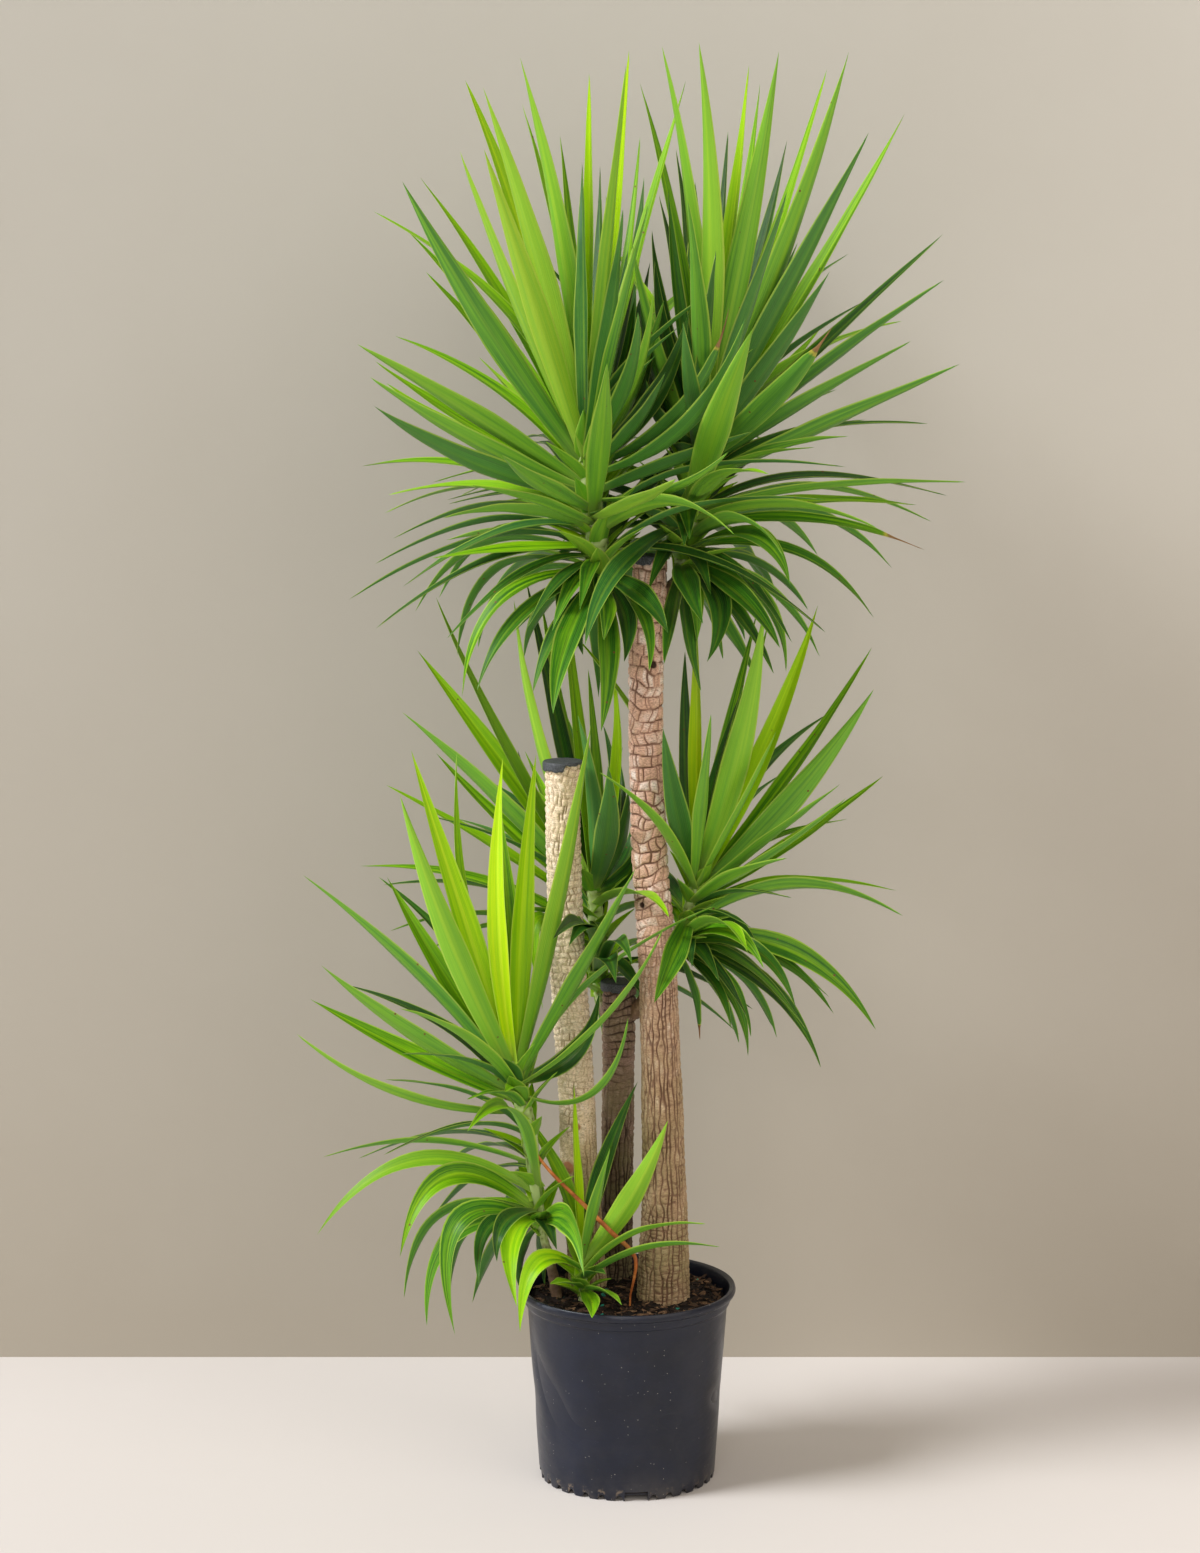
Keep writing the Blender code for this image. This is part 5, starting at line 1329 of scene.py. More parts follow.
def sheath_blades(head):
    """Short clasping leaf bases round a crown, from its foot to its top by the golden angle."""
    blades = []
    count = sheath_count(head)
    for order in range(count):
        turn = GOLDEN_TURN * order + head.seed
        root = stem_place(head, 0.02 + 0.86 * order / count)
        ahead = (stem_place(head, 0.98) - stem_place(head, 0.60)).normalized()
        level = Vector((cos(turn), sin(turn), 0.0))
        level = (level - ahead * level.dot(ahead)).normalized()
        lean = 0.75 - 0.5 * order / count
        size = 0.145 * head.length[0]
        bend = root + (ahead * 0.42 + level * 0.30) * size
        tip = root + (ahead * (1.0 - 0.45 * lean) + level * (0.55 + 0.75 * lean)) * size
        blades.append(Blade(root, bend, tip, level.cross(ahead), 0.78 * head.width))
    return blades


STEM_RINGS = 60
STEM_AROUND = 28
CUP_SPACING = 0.012
CUP_DEPTH = 0.0016
STEM_INSET = 0.0012


def stem_skin(head):
    """A stem whose old leaf bases overlap like shallow cups, each set above the last."""
    centres, radii = line_of(head.stem, STEM_RINGS)
    way = np.linspace(0.0, 1.0, STEM_RINGS + 1)
    height = np.array([c.z for c in centres])[:, None]
    angle = turn_round(STEM_AROUND)
    step = np.mod(height / CUP_SPACING + 0.35 * np.sin(angle * 2 + head.seed), 1.0)
    slim = 1.0 - 0.36 * softly(way[:, None], head.crown - 0.25, head.crown + 0.10)
    radius = np.array(radii)[:, None] * slim - STEM_INSET + CUP_DEPTH * step
    radius = radius + 0.0004 * np.sin(angle * 5 + height * 90.0)
    rings = carried_rings(centres, radius, angle)
    values = {"step": step, "crown": way[:, None] - head.crown}
    return closed_skins(rings, end_middles(rings), values, material=1)


# Canes

# Points round each cane, and rings along it
CANE_FINE = {"cane_tall": (168, 540), "cane_medium": (144, 400), "cane_short": (120, 240)}
BURIED_SHARE = 0.08
BARK_MARGIN = 0.0005
BARK_SWELL = 0.0006
BARK_GRAIN = 0.00022
PLATE_STEP = 0.0006

# How wide the cracks open, how far apart the short ones lie, and how round the plates are
RING_WIDE = 0.0015
COLUMN_WIDE = 0.0014
FISSURE_WIDE = 0.0012
CROSS_WIDE = 0.0010
CROSS_SPACING = 0.0085
STRIP_DOME = 0.004
DOME_EDGE = 0.0028

# Bark: the bands' height low down and high up, plates and fissures round the cane, the
# heights between which the lower bark turns into the upper, and for each of the two how
# strong its rings and its upright cracks are
Bark = namedtuple("Bark", "ring_spacing plates fissures change upper lower")
BARK = {
    "cane_tall": Bark((0.0105, 0.0175), 11, 26, (0.66, 0.92), (1.0, 1.0), (0.8, 1.0)),
    "cane_medium": Bark((0.0110, 0.0105), 19, 23, (0.40, 0.60), (0.55, 0.75), (0.6, 1.0)),
    "cane_short": Bark((0.0110, 0.0130), 15, 22, (0.45, 0.70), (1.0, 0.8), (0.7, 1.0)),
}


def near_line(distance, width):
    """From 1 on a line down to 0 beyond its width, by a bell curve."""
    return np.exp(-((distance / width) ** 2))


def nearest_line(place, count, row, spread, sway):
    """Distance to the nearest of count upright lines round a cane, and the gap's number.

    Place is the turn round the cane times the count. Each line is strewn sideways by a
    fixed draw for its row and number, and sways by the given field times its own draw.
    """
    best = np.full(place.shape, 9.0)
    gap = np.floor(place)
    for step in (-1, 0, 1, 2):
        name = np.mod(gap + step, count)
        line = gap + step + spread * (scatter(row, name, 1) - 0.5)
        line = line + sway * (scatter(0.0 * row, name, 2) - 0.5)
        best = np.minimum(best, np.abs(place - line))
    return best, np.mod(gap, count)


def bark_rows(bark, height, angle, shift):
    """Which band of the bark a height lies in, as a running number, and the bands' height.

    Waves round the cane and the given shift bend the bands. The number is the sum of the
    height over the bands' height, which changes along the cane.
    """
    fine = np.linspace(0.1, 1.6, 3000)
    spacing = np.interp(fine, bark.change, bark.ring_spacing)
    rows = np.interp(height, fine, np.cumsum((fine[1] - fine[0]) / spacing))
    rows = rows + 0.30 * np.sin(angle + 9.0 * height + shift)
    rows = rows + 0.16 * np.sin(2 * angle + 31.0 * height)
    return rows, np.interp(height, bark.change, bark.ring_spacing)


def upper_plates(bark, rows, row, turn, wander, seed):
    """Nearest upright crack of the upper bark, which starts anew in each band."""
    shift = np.floor(7.0 * scatter(row, 0.0 * row, seed + 5)) + 0.5 * np.mod(row, 2.0)
    lean = 1.1 * (scatter(row, 0.0 * row, seed + 8) - 0.5) * (rows - row - 0.5)
    place = turn * bark.plates + shift + lean + 0.16 * wander
    return nearest_line(place, bark.plates, row, 0.8, 0.0)


def lower_strips(bark, height, row, turn, wander, seed):
    """Nearest fissure and cross crack of the lower bark, and the strip's number."""
    sway = 0.7 * np.sin(height * 61.0 + seed) + 0.4 * np.sin(height * 171.0) + 0.5 * wander
    strip, number = nearest_line(turn * bark.fissures, bark.fissures, 0.0 * row, 0.5, sway)
    cross = height / CROSS_SPACING + 5.0 * scatter(number, 0.0 * row, seed + 6) + 0.5 * wander
    cross = np.abs(np.mod(cross, 1.0) - 0.5) * CROSS_SPACING
    return strip, cross, number


def bark_field(bark, height, angle, radius, seed):
    """How open the cracks are, how domed the plates are, and each plate's own number.

    Rings lie between the bands. In the upper bark, upright cracks start anew in each
    band. In the lower bark they run on and sway, and short cracks cross each strip. Smooth
    uneven fields bend all cracks and make them more or less open.
    """
    upper = softly(height + 0.03 * np.sin(2 * angle + seed), *bark.change)
    lower = 1.0 - upper
    x = radius * np.cos(angle)
    y = radius * np.sin(angle)
    rows, spacing = bark_rows(bark, height, angle, seed)
    rows = rows + 0.17 * rolling(height * 130.0, x * 150.0, y * 150.0, seed + 11)
    wander = rolling(height * 210.0, x * 130.0, y * 130.0, seed + 12)
    row = np.floor(rows)
    ring = np.minimum(rows - row, row + 1.0 - rows) * spacing
    turn = angle / (2 * pi)
    column, plate = upper_plates(bark, rows, row, turn, wander, seed)
    column = column * (2 * pi * radius / bark.plates)
    strip, cross, number = lower_strips(bark, height, row, turn, wander, seed)
    strip = strip * 2 * pi * radius / bark.fissures
    faint = 0.6 + 0.4 * scatter(row, plate, seed + 9)
    cracks = (
        upper * bark.upper[0] * near_line(ring, RING_WIDE),
        upper * bark.upper[1] * faint * near_line(column, COLUMN_WIDE),
        lower * bark.lower[0] * 0.8 * near_line(ring, FISSURE_WIDE),
        lower * bark.lower[1] * near_line(strip, FISSURE_WIDE),
        lower * 0.65 * near_line(cross, CROSS_WIDE),
    )
    open_share = 0.85 + 0.3 * rolling(height * 90.0, x * 110.0, y * 110.0, seed)
    crack = np.maximum.reduce(cracks) * np.clip(open_share, 0.66, 1.0)
    dome = upper * np.minimum(ring, column) + lower * np.minimum(strip, STRIP_DOME)
    dome = 1.0 - np.exp(-dome / DOME_EDGE)
    return crack, dome, scatter(row * upper.round(), plate + number * lower.round(), seed + 7)


def cane_skin(name, stations, crack_depth, seed):
    """A cane: a round section carried along its line, with bark plates and cracks cut in.

    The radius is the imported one, less the cracks' depth, less up to half of that where a
    plate falls off towards its edge. Slow swells and fine roughness lie on top.
    """
    around, count = CANE_FINE[name]
    centres, radii = line_of(stations, count)
    foot = centres[-1]
    buried = int(count * BURIED_SHARE)
    for k in range(1, buried + 1):
        share = k / buried
        centres.append(Vector((foot.x, foot.y, foot.z + (CANE_BOTTOM - foot.z) * share)))
        radii.append(radii[count] * (1.0 - 0.03 * share))
    height = np.array([c.z for c in centres])[:, None]
    radius = np.array(radii)[:, None]
    angle = turn_round(around)
    x = radius * np.cos(angle)
    y = radius * np.sin(angle)
    crack, dome, plate = bark_field(BARK[name], height, angle, radius, seed)
    face = BARK_GRAIN * rolling(height * 420.0, x * 420.0, y * 420.0, seed)
    swell = BARK_SWELL * rolling(height * 48.0, x * 30.0, y * 30.0, seed + 3)
    size = radius + 0.0002 + swell + face
    size = size - crack_depth * (crack + 0.55 * (1.0 - dome)) - PLATE_STEP * plate
    marks = [(mark, mark_field(mark, name, height, angle)) for mark in MARKS]
    bumps = sum(mark.lift * field for mark, field in marks)
    size = np.minimum(size, radius + BARK_MARGIN) + bumps
    rings = carried_rings(centres, size, angle)
    scar = np.clip(sum(field for mark, field in marks) * 1.3, 0.0, 1.0)
    values = {"crack": crack, "plate": plate, "dome": dome, "scar": scar}
    return closed_skins(rings, end_middles(rings), values)


# Healed buds and knots: soft bumps and dips, which also show their own colour
Mark = namedtuple("Mark", "cane px py depth reach lift")
MARKS = (
    Mark("cane_medium", 565, 1168, 0.020, 0.011, 0.0035),
    Mark("cane_medium", 577, 1127, 0.020, 0.006, 0.0015),
    Mark("cane_tall", 655, 665, -0.026, 0.006, -0.0018),
    Mark("cane_tall", 640, 905, -0.028, 0.005, -0.0014),
)


def mark_field(mark, name, height, angle):
    """From 0 to 1 towards the middle of a mark on a cane's front."""
    if mark.cane != name:
        return np.zeros(np.broadcast_shapes(height.shape, angle.shape))
    place = seen(mark.px, mark.py, mark.depth)
    line, radii = cane_line(CANES[tuple(BARK).index(name)])
    k = int(np.argmin([abs(c.z - place.z) for c in line]))
    turn = atan2(place.y - line[k].y, place.x - line[k].x)
    apart = np.angle(np.exp(1j * (-angle - turn))) * radii[k]
    distance = np.sqrt(apart**2 + (height - place.z) ** 2)
    return near_line(distance, mark.reach)


# Wax caps

# Points round a cap, how far its edge is rounded, how fine and how deep its grain is, and
# how many of its rings lie on the lid and on the whole outside
WAX_AROUND = 96
WAX_EDGE = 0.0008
WAX_GRAIN = 900.0
WAX_GRAIN_OUT = 0.00022
WAX_GRAIN_UP = 0.0003
WAX_LID_RINGS = 6
WAX_OUTSIDE_RINGS = 13


def wax_profile(inside, hem):
    """How far out and down the wax's outside and inside run, from the lid's middle."""
    outside = inside + WAX_THICK
    profile = [(outside * share, -WAX_THICK) for share in (0.15, 0.4, 0.65, 0.85, 0.95)]
    for turn in (0.3, 0.6, 0.9):
        bulge = WAX_EDGE * (1.0 - cos(turn * pi / 2))
        profile.append((outside - WAX_EDGE + bulge, -WAX_THICK * (1 - turn)))
    profile += [(outside, hem * share) for share in (0.25, 0.5, 0.75, 0.93)]
    profile += [(outside - 0.0007, hem), (inside, hem * 0.96), (inside, hem * 0.5)]
    profile += [(inside, -GAP), (inside * 0.5, -GAP)]
    reach = np.array([np.full(hem.shape, row[0]) for row in profile])
    return reach, np.array([np.broadcast_to(row[1], hem.shape) for row in profile])


def wax_skin(stations, seed):
    """A wax cap: its outside runs from the lid over a rounded edge down to a dripped hem.

    Rings run from the lid's middle outwards, down the skirt, and back up inside it to the
    underside's middle. The skirt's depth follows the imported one, with narrow drips.
    """
    centres, radii = cane_line(stations)
    down = (centres[1] - centres[0]).normalized()
    side = Vector((1.0, 0.0, 0.0))
    side = (side - down * side.dot(down)).normalized()
    over = down.cross(side)
    angle = turn_round(WAX_AROUND)[0]
    hem = 0.20 + 0.72 * softly(0.12 - np.cos(angle), -0.08, 0.10)
    hem = hem + 0.07 * np.sin(7 * angle + seed) + 0.05 * np.sin(17 * angle)
    hem = WAX_SKIRT * np.clip(hem, 0.1, 1.0)
    reach, drop = wax_profile(radii[0] + CANE_SWELL + GAP, hem)
    ring = np.arange(len(reach))[:, None]
    x = reach * WAX_GRAIN * np.cos(angle)
    y = reach * WAX_GRAIN * np.sin(angle)
    grain = rolling(x, y, drop * WAX_GRAIN, seed)
    reach = reach + (ring < WAX_OUTSIDE_RINGS) * WAX_GRAIN_OUT * grain
    drop = drop + (ring < WAX_LID_RINGS) * WAX_GRAIN_UP * grain
    side, over, down, place = (np.array(tuple(v)) for v in (side, over, down, centres[0]))
    rings = side * np.cos(angle)[:, None] + over * np.sin(angle)[:, None]
    rings = place + reach[..., None] * rings
    rings = (rings + drop[..., None] * down)[None]
    return closed_skins(rings, end_middles(rings), {"hem": drop / WAX_SKIRT})


# Pot

POT_AROUND = 400
NOTCH_ARCH = 0.0115
FOOT_TOP = 0.012

# The pot's section as radius and height, from the floor's underside round to its top
POT_PROFILE = (
    (0.060, 0.0),
    (FLOOR_RADIUS, 0.0),
    (FLOOR_RADIUS + 0.004, CHANNEL_HEIGHT),
    (FOOT_RADIUS - 0.007, CHANNEL_HEIGHT),
    (FOOT_RADIUS - 0.004, 0.0),
    (FOOT_RADIUS, 0.0),
    (FOOT_RADIUS + 0.001, FOOT_TOP),
    (0.5 * (FOOT_RADIUS + WALL_TOP_RADIUS), 0.5 * (POT_HEIGHT - BAND_DROP)),
    (WALL_TOP_RADIUS, POT_HEIGHT - BAND_DROP),
    (WALL_TOP_RADIUS + 0.0040, POT_HEIGHT - BAND_DROP + 0.003),
    (WALL_TOP_RADIUS + 0.0055, POT_HEIGHT - LIP_DROP - 0.003),
    (RIM_RADIUS - 0.001, POT_HEIGHT - LIP_DROP),
    (RIM_RADIUS + 0.0004, POT_HEIGHT - LIP_DROP + 0.005),
    (RIM_RADIUS - 0.0012, POT_HEIGHT + 0.0002),
    (RIM_RADIUS - 0.009, POT_HEIGHT - 0.002),
    (WALL_TOP_RADIUS - WALL, POT_HEIGHT - BAND_DROP - 0.004),
    (FOOT_RADIUS - WALL + 0.0008, FLOOR_TOP),
    (0.060, FLOOR_TOP),
)


def rounded_profile(profile, rounding):
    """A profile with its corners cut to soft ones: each corner becomes four points.

    The corner is passed on a quadratic curve between points set back along both sides by
    the rounding, or by 0.4 of a shorter side.
    """
    points = [np.array(point) for point in profile]
    soft = [points[0]]
    for before, here, after in zip(points, points[1:], points[2:]):
        back = before - here
        ahead = after - here
        start = here + back * min(rounding / np.linalg.norm(back), 0.4)
        end = here + ahead * min(rounding / np.linalg.norm(ahead), 0.4)
        for t in (0.0, 0.33, 0.67, 1.0):
            soft.append(start * (1 - t) ** 2 + here * 2 * t * (1 - t) + end * t**2)
    soft.append(points[-1])
    return np.array(soft)


def with_long_runs_divided(profile, longest):
    """A profile with extra points where two neighbours are further apart than longest."""
    rows = [profile[0]]
    for start, end in zip(profile, profile[1:]):
        parts = max(1, int(np.ceil(np.linalg.norm(end - start) / longest)))
        for k in range(1, parts + 1):
            rows.append(start + (end - start) * k / parts)
    return np.array(rows)


# Dents of the wall, by their turn in degrees; they lean as they rise
Dent = namedtuple("Dent", "angle height reach_round reach_up depth")
DENT_LEAN = 0.55
DENTS = (
    Dent(-150.0, 0.150, 0.022, 0.070, 0.0032),
    Dent(-132.0, 0.120, 0.018, 0.060, 0.0024),
    Dent(-112.0, 0.100, 0.040, 0.016, 0.0026),
    Dent(-98.0, 0.150, 0.030, 0.030, 0.0016),
    Dent(-80.0, 0.085, 0.050, 0.014, 0.0022),
    Dent(-62.0, 0.120, 0.040, 0.013, 0.0026),
    Dent(-52.0, 0.070, 0.016, 0.050, 0.0024),
    Dent(-18.0, 0.130, 0.030, 0.016, 0.0030),
    Dent(20.0, 0.150, 0.050, 0.030, 0.0016),
    Dent(100.0, 0.100, 0.050, 0.030, 0.0018),
    Dent(170.0, 0.130, 0.060, 0.030, 0.0016),
)


def dent_push(angle, height):
    """How far the dents push the wall in: each by a bell curve round its middle."""
    push = 0.0
    for dent in DENTS:
        turn = np.angle(np.exp(1j * (angle - radians(dent.angle)))) * WALL_TOP_RADIUS
        turn = turn + DENT_LEAN * (height - dent.height)
        bell = (turn / dent.reach_round) ** 2 + ((height - dent.height) / dent.reach_up) ** 2
        push = push + dent.depth * np.exp(-bell)
    return push


def pot_skin(dent_depth):
    """The pot: its rounded profile turned about the axis, with a notched foot and dents.

    The notches lift the foot's lower edge in a row of soft arches.
    """
    profile = with_long_runs_divided(rounded_profile(POT_PROFILE, 0.0016), 0.006)
    radius = profile[:, 0:1]
    height = profile[:, 1:2]
    angle = turn_round(POT_AROUND)
    outer = (np.arange(len(profile)) <= int(np.argmax(profile[:, 0])))[:, None]
    wall = outer & (height > FOOT_TOP) & (height < POT_HEIGHT - BAND_DROP)
    step = 2 * pi / NOTCH_COUNT
    apart = np.abs(np.mod(angle, step) - 0.5 * step) * FOOT_RADIUS
    notch = np.sqrt(np.clip(1.0 - (apart / (0.5 * NOTCH_ARCH)) ** 2, 0.0, 1.0))
    foot = (radius > FOOT_RADIUS - 0.006) & outer
    arch = softly(notch, 0.1, 0.6) * (foot & (height < FOOT_TOP + 0.002))
    height = height + NOTCH_HEIGHT * notch * foot * np.clip(1.0 - height / FOOT_TOP, 0.0, 1.0)
    dented = wall * dent_push(angle, height) * dent_depth
    radius = radius - dented * softly(height, FOOT_TOP, 0.03)
    rings = np.stack([radius * np.cos(angle), radius * np.sin(angle), height + 0 * angle], axis=-1)
    ends = np.array([[0.0, 0.0, 0.0], [0.0, 0.0, FLOOR_TOP]])
    return closed_skins(rings[None], ends[None], {"notch": arch})


def cut_drains(pot):
    """Cuts the four wide drain slots out of the foot, with one block each."""
    cutters = []
    for k in range(DRAIN_COUNT):
        angle = -pi / 2 + DRAIN_TURN + 2 * pi * k / DRAIN_COUNT
        outward = Vector((cos(angle), sin(angle), 0.0))
        sideways = Vector((-sin(angle), cos(angle), 0.0))
        points = []
        for radius in (FOOT_RADIUS - 0.008, FOOT_RADIUS + 0.012):
            for across in (-0.5 * DRAIN_WIDTH, 0.5 * DRAIN_WIDTH):
                for height in (-0.005, DRAIN_HEIGHT):
                    place = outward * radius + sideways * across
                    points.append((place.x, place.y, height))
        mesh = bpy.data.meshes.new("drain_block")
        mesh.from_pydata(points, [], BLOCK_FACES)
        cutters.append(bpy.data.objects.new("drain_block", mesh))
    for cutter in cutters:
        bpy.context.scene.collection.objects.link(cutter)
        cut = pot.modifiers.new("drain", "BOOLEAN")
        cut.operation = "DIFFERENCE"
        cut.solver = "EXACT"
        cut.object = cutter
    graph = bpy.context.evaluated_depsgraph_get()
    finished = bpy.data.meshes.new_from_object(pot.evaluated_get(graph))
    pot.modifiers.clear()
    pot.data = finished
    for cutter in cutters:
        bpy.data.objects.remove(cutter, do_unlink=True)


# Mulch

SOIL_AROUND = 220
SOIL_FINE = 56
CHIP_COUNT = 1500
CRUMB_HEIGHT = 0.0012
CHIP_LIFT = 0.0012
CHIP_TILT = 0.22
CHIP_HALF_LENGTH = (0.0024, 0.0102)
CHIP_HALF_THICK = (0.0008, 0.0020)


def soil_skin():
    """The mulch's body: its uneven top on rings out to the wall, then the wall down.

    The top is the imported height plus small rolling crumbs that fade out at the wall.
    """
    angle = turn_round(SOIL_AROUND)
    rim = inner_radius(SOIL_TOP + 0.002) - GAP
    radius = np.linspace(0.02, 1.0, SOIL_FINE)[:, None] * rim
    x = radius * np.cos(angle)
    y = radius * np.sin(angle)
    chips = np.sin(61.0 * x + 3.0) * np.cos(53.0 * y) + 0.6 * np.sin(117.0 * x - 89.0 * y)
    height = SOIL_TOP + SOIL_RISE_BEHIND * (0.5 + y / 0.3) + SOIL_BUMP * 0.5 * chips
    crumbs = rolling(x * 420.0, y * 420.0, 0.0 * x, 5)
    crumbs = crumbs + 0.7 * rolling(x * 900.0, y * 900.0, 0.0 * x, 9)
    height = height + CRUMB_HEIGHT * crumbs
    fade = softly(radius / rim, 0.93, 1.0)
    height = height * (1.0 - fade) + SOIL_TOP * fade
    bottom = FLOOR_TOP + GAP
    share = np.array((0.33, 0.66, 1.0))[:, None]
    reach = rim + (inner_radius(bottom) - GAP - rim) * share
    level = SOIL_TOP + (bottom - SOIL_TOP) * share + 0 * angle
    sides = np.stack([reach * np.cos(angle), reach * np.sin(angle), level], axis=-1)
    rings = np.concatenate([np.stack([x, y, height], axis=-1), sides])[None]
    poles = np.stack([rings[:, 0].mean(axis=1), [[0.0, 0.0, bottom]]], axis=1)
    return closed_skins(rings, poles, {"chip": 0.0 * rings[..., 0]})


def between(ends, share):
    """The value at a share of the way from the first end to the second."""
    return ends[0] + (ends[1] - ends[0]) * share


def chip_places(draw):
    """Where the chips lie: strewn over the pot, but not within a cane or a stem."""
    reach = inner_radius(SOIL_TOP) - 0.008
    radius = reach * np.sqrt(draw.uniform(0.0, 1.0, CHIP_COUNT))
    angle = draw.uniform(0.0, 2 * pi, CHIP_COUNT)
    x = radius * np.cos(angle)
    y = radius * np.sin(angle)
    taken = [(seen(s[-1].px, s[-1].py, s[-1].depth), s[-1].radius + 0.006) for s in CANES]
    for head in (LOWER_LEFT, FRONT_SHOOT):
        centres, radii = line_of(head.stem, 20)
        low = [(c, size + 0.004) for c, size in zip(centres, radii) if c.z < SOIL_TOP + 0.02]
        taken += low
    clear = np.ones(CHIP_COUNT, bool)
    for place, size in taken:
        clear &= np.hypot(x - place.x, y - place.y) > size
    return x[clear], y[clear]


def chip_skins(seed):
    """Bark chips: small slabs with a six-sided section, bent and tilted, lying strewn.

    Each slab's section is an uneven hexagon that narrows towards both ends. It is turned
    about the vertical, tilted a little, and set half sunk into the mulch.
    """
    draw = np.random.default_rng(seed)
    x, y = chip_places(draw)
    count = len(x)
    big = (draw.uniform(0.0, 1.0, count) ** 2.2)[:, None, None]
    long = between(CHIP_HALF_LENGTH, big)
    wide = long * draw.uniform(0.22, 0.5, count)[:, None, None]
    thick = between(CHIP_HALF_THICK, big)
    s = np.linspace(-1.0, 1.0, 5)[None, :, None]
    corner = (np.arange(6) * pi / 3)[None, None]
    jag = 1.0 + 0.25 * draw.uniform(-1.0, 1.0, (count, 5, 6))
    narrow = 1.0 - 0.55 * np.abs(s) ** 3
    along = long * s + 0.0 * corner
    across = wide * narrow * np.cos(corner) * jag
    arch = 0.15 * long * s * s * draw.uniform(-1, 1, (count, 1, 1))
    up = thick * narrow * np.sin(corner) * jag + arch
    turn = draw.uniform(0.0, 2 * pi, count)[:, None, None]
    tilt = draw.normal(0.0, CHIP_TILT, count)[:, None, None]
    level = along * np.cos(tilt) - up * np.sin(tilt)
    rise = along * np.sin(tilt) + up * np.cos(tilt)
    px = x[:, None, None] + level * np.cos(turn) - across * np.sin(turn)
    py = y[:, None, None] + level * np.sin(turn) + across * np.cos(turn)
    shrink = np.minimum(1.0, (inner_radius(SOIL_TOP) - 0.001) / np.hypot(px, py))
    ground = np.array([soil_height(a, b) for a, b in zip(x, y)])[:, None, None]
    rings = np.stack([px * shrink, py * shrink, ground + CHIP_LIFT + rise], axis=-1)
    chance = draw.uniform(0.05, 1.0, count)[:, None, None]
    return closed_skins(rings, end_middles(rings), {"chip": chance})


# Dry leaf


def dry_leaf_skin():
    """The dry leaf: a thin strip along its line, folded along the middle and curled."""
    steps = 72
    centres, radii = dry_leaf_line(steps)
    centres = np.array([tuple(c) for c in centres])
    ahead = path_directions(centres)
    across = unit(np.cross(ahead, [0.0, 1.0, 0.0]))
    above = np.cross(across, ahead)
    u = np.array((-1.0, -0.5, 0.0, 0.5, 1.0, 0.96, 0.5, 0.0, -0.5, -0.96))[None]
    under = (np.arange(10) >= 5).astype(float)[None]
    t = np.linspace(0.0, 1.0, steps + 1)[:, None]
    half = np.array(radii)[:, None]
    lift = 0.45 * half * np.abs(u) ** 1.3 + 0.0003 * u * np.sin(40.0 * t)
    lift = lift - under * DRY_LEAF_THICK * 0.8
    rings = centres[:, None] + across[:, None] * (half * u)[..., None]
    rings = (rings + above[:, None] * lift[..., None])[None]
    return closed_skins(rings, end_middles(rings), {"across": u + 0 * t, "along": t + 0 * u})


# Colours and shader nodes


def tint(code, alpha=1.0):
    """A linear colour from a six-figure screen colour."""
    parts = np.array([int(code[n : n + 2], 16) for n in (0, 2, 4)]) / 255.0
    linear = np.where(parts <= 0.04045, parts / 12.92, ((parts + 0.055) / 1.055) ** 2.4)
    return (*[float(part) for part in linear], alpha)


def add_node(tree, kind, **inputs):
    """A shader node whose named inputs are set to a value or joined to another socket."""
    node = tree.nodes.new(kind)
    for name, value in inputs.items():
        fill(tree, node.inputs[name.replace("_", " ")], value)
    return node


def fill(tree, socket, value):
    """Joins a socket to another, or sets it to a plain value."""
    if isinstance(value, bpy.types.NodeSocket):
        tree.links.new(value, socket)
    else:
        socket.default_value = value


def calc(tree, operation, first, second=0.0, third=0.0):
    """Result of one sum on numbers or sockets."""
    node = tree.nodes.new("ShaderNodeMath")
    node.operation = operation
    for socket, value in zip(node.inputs, (first, second, third)):
        fill(tree, socket, value)
    return node.outputs[0]


def times(tree, first, second):
    """Product of two numbers or sockets."""
    return calc(tree, "MULTIPLY", first, second)


def scaled(tree, value, factor, plus):
    """A value times a factor, plus another value."""
    return calc(tree, "MULTIPLY_ADD", value, factor, plus)


def blend_colours(tree, share, first, second):
    """Two colours blended by a share."""
    node = tree.nodes.new("ShaderNodeMix")
    node.data_type = "RGBA"
    fill(tree, node.inputs[0], share)
    fill(tree, node.inputs[6], first)
    fill(tree, node.inputs[7], second)
    return node.outputs[2]


def laid_over(tree, colour, mask, code, share=None):
    """A colour with a screen colour laid over it by a mask, at most by the share."""
    if share is not None:
        mask = times(tree, mask, share)
    return blend_colours(tree, mask, colour, tint(code))


def step_between(tree, value, low, high):
    """A share that rises softly from 0 at low to 1 at high."""
    node = tree.nodes.new("ShaderNodeMapRange")
    node.interpolation_type = "SMOOTHSTEP"
    fill(tree, node.inputs["Value"], value)
    fill(tree, node.inputs["From Min"], low)
    fill(tree, node.inputs["From Max"], high)
    return node.outputs["Result"]


def falling(tree, value, low, high):
    """A share that falls softly from 1 at low to 0 at high."""
    return calc(tree, "SUBTRACT", 1.0, step_between(tree, value, low, high))


def colour_steps(tree, share, steps):
    """A colour read from a list of (place, screen colour) by a share."""
    node = tree.nodes.new("ShaderNodeValToRGB")
    ramp = node.color_ramp
    while len(ramp.elements) < len(steps):
        ramp.elements.new(0.5)
    for element, (place, code) in zip(ramp.elements, steps):
        element.position = place
        element.color = tint(code)
    fill(tree, node.inputs[0], share)
    return node.outputs[0]


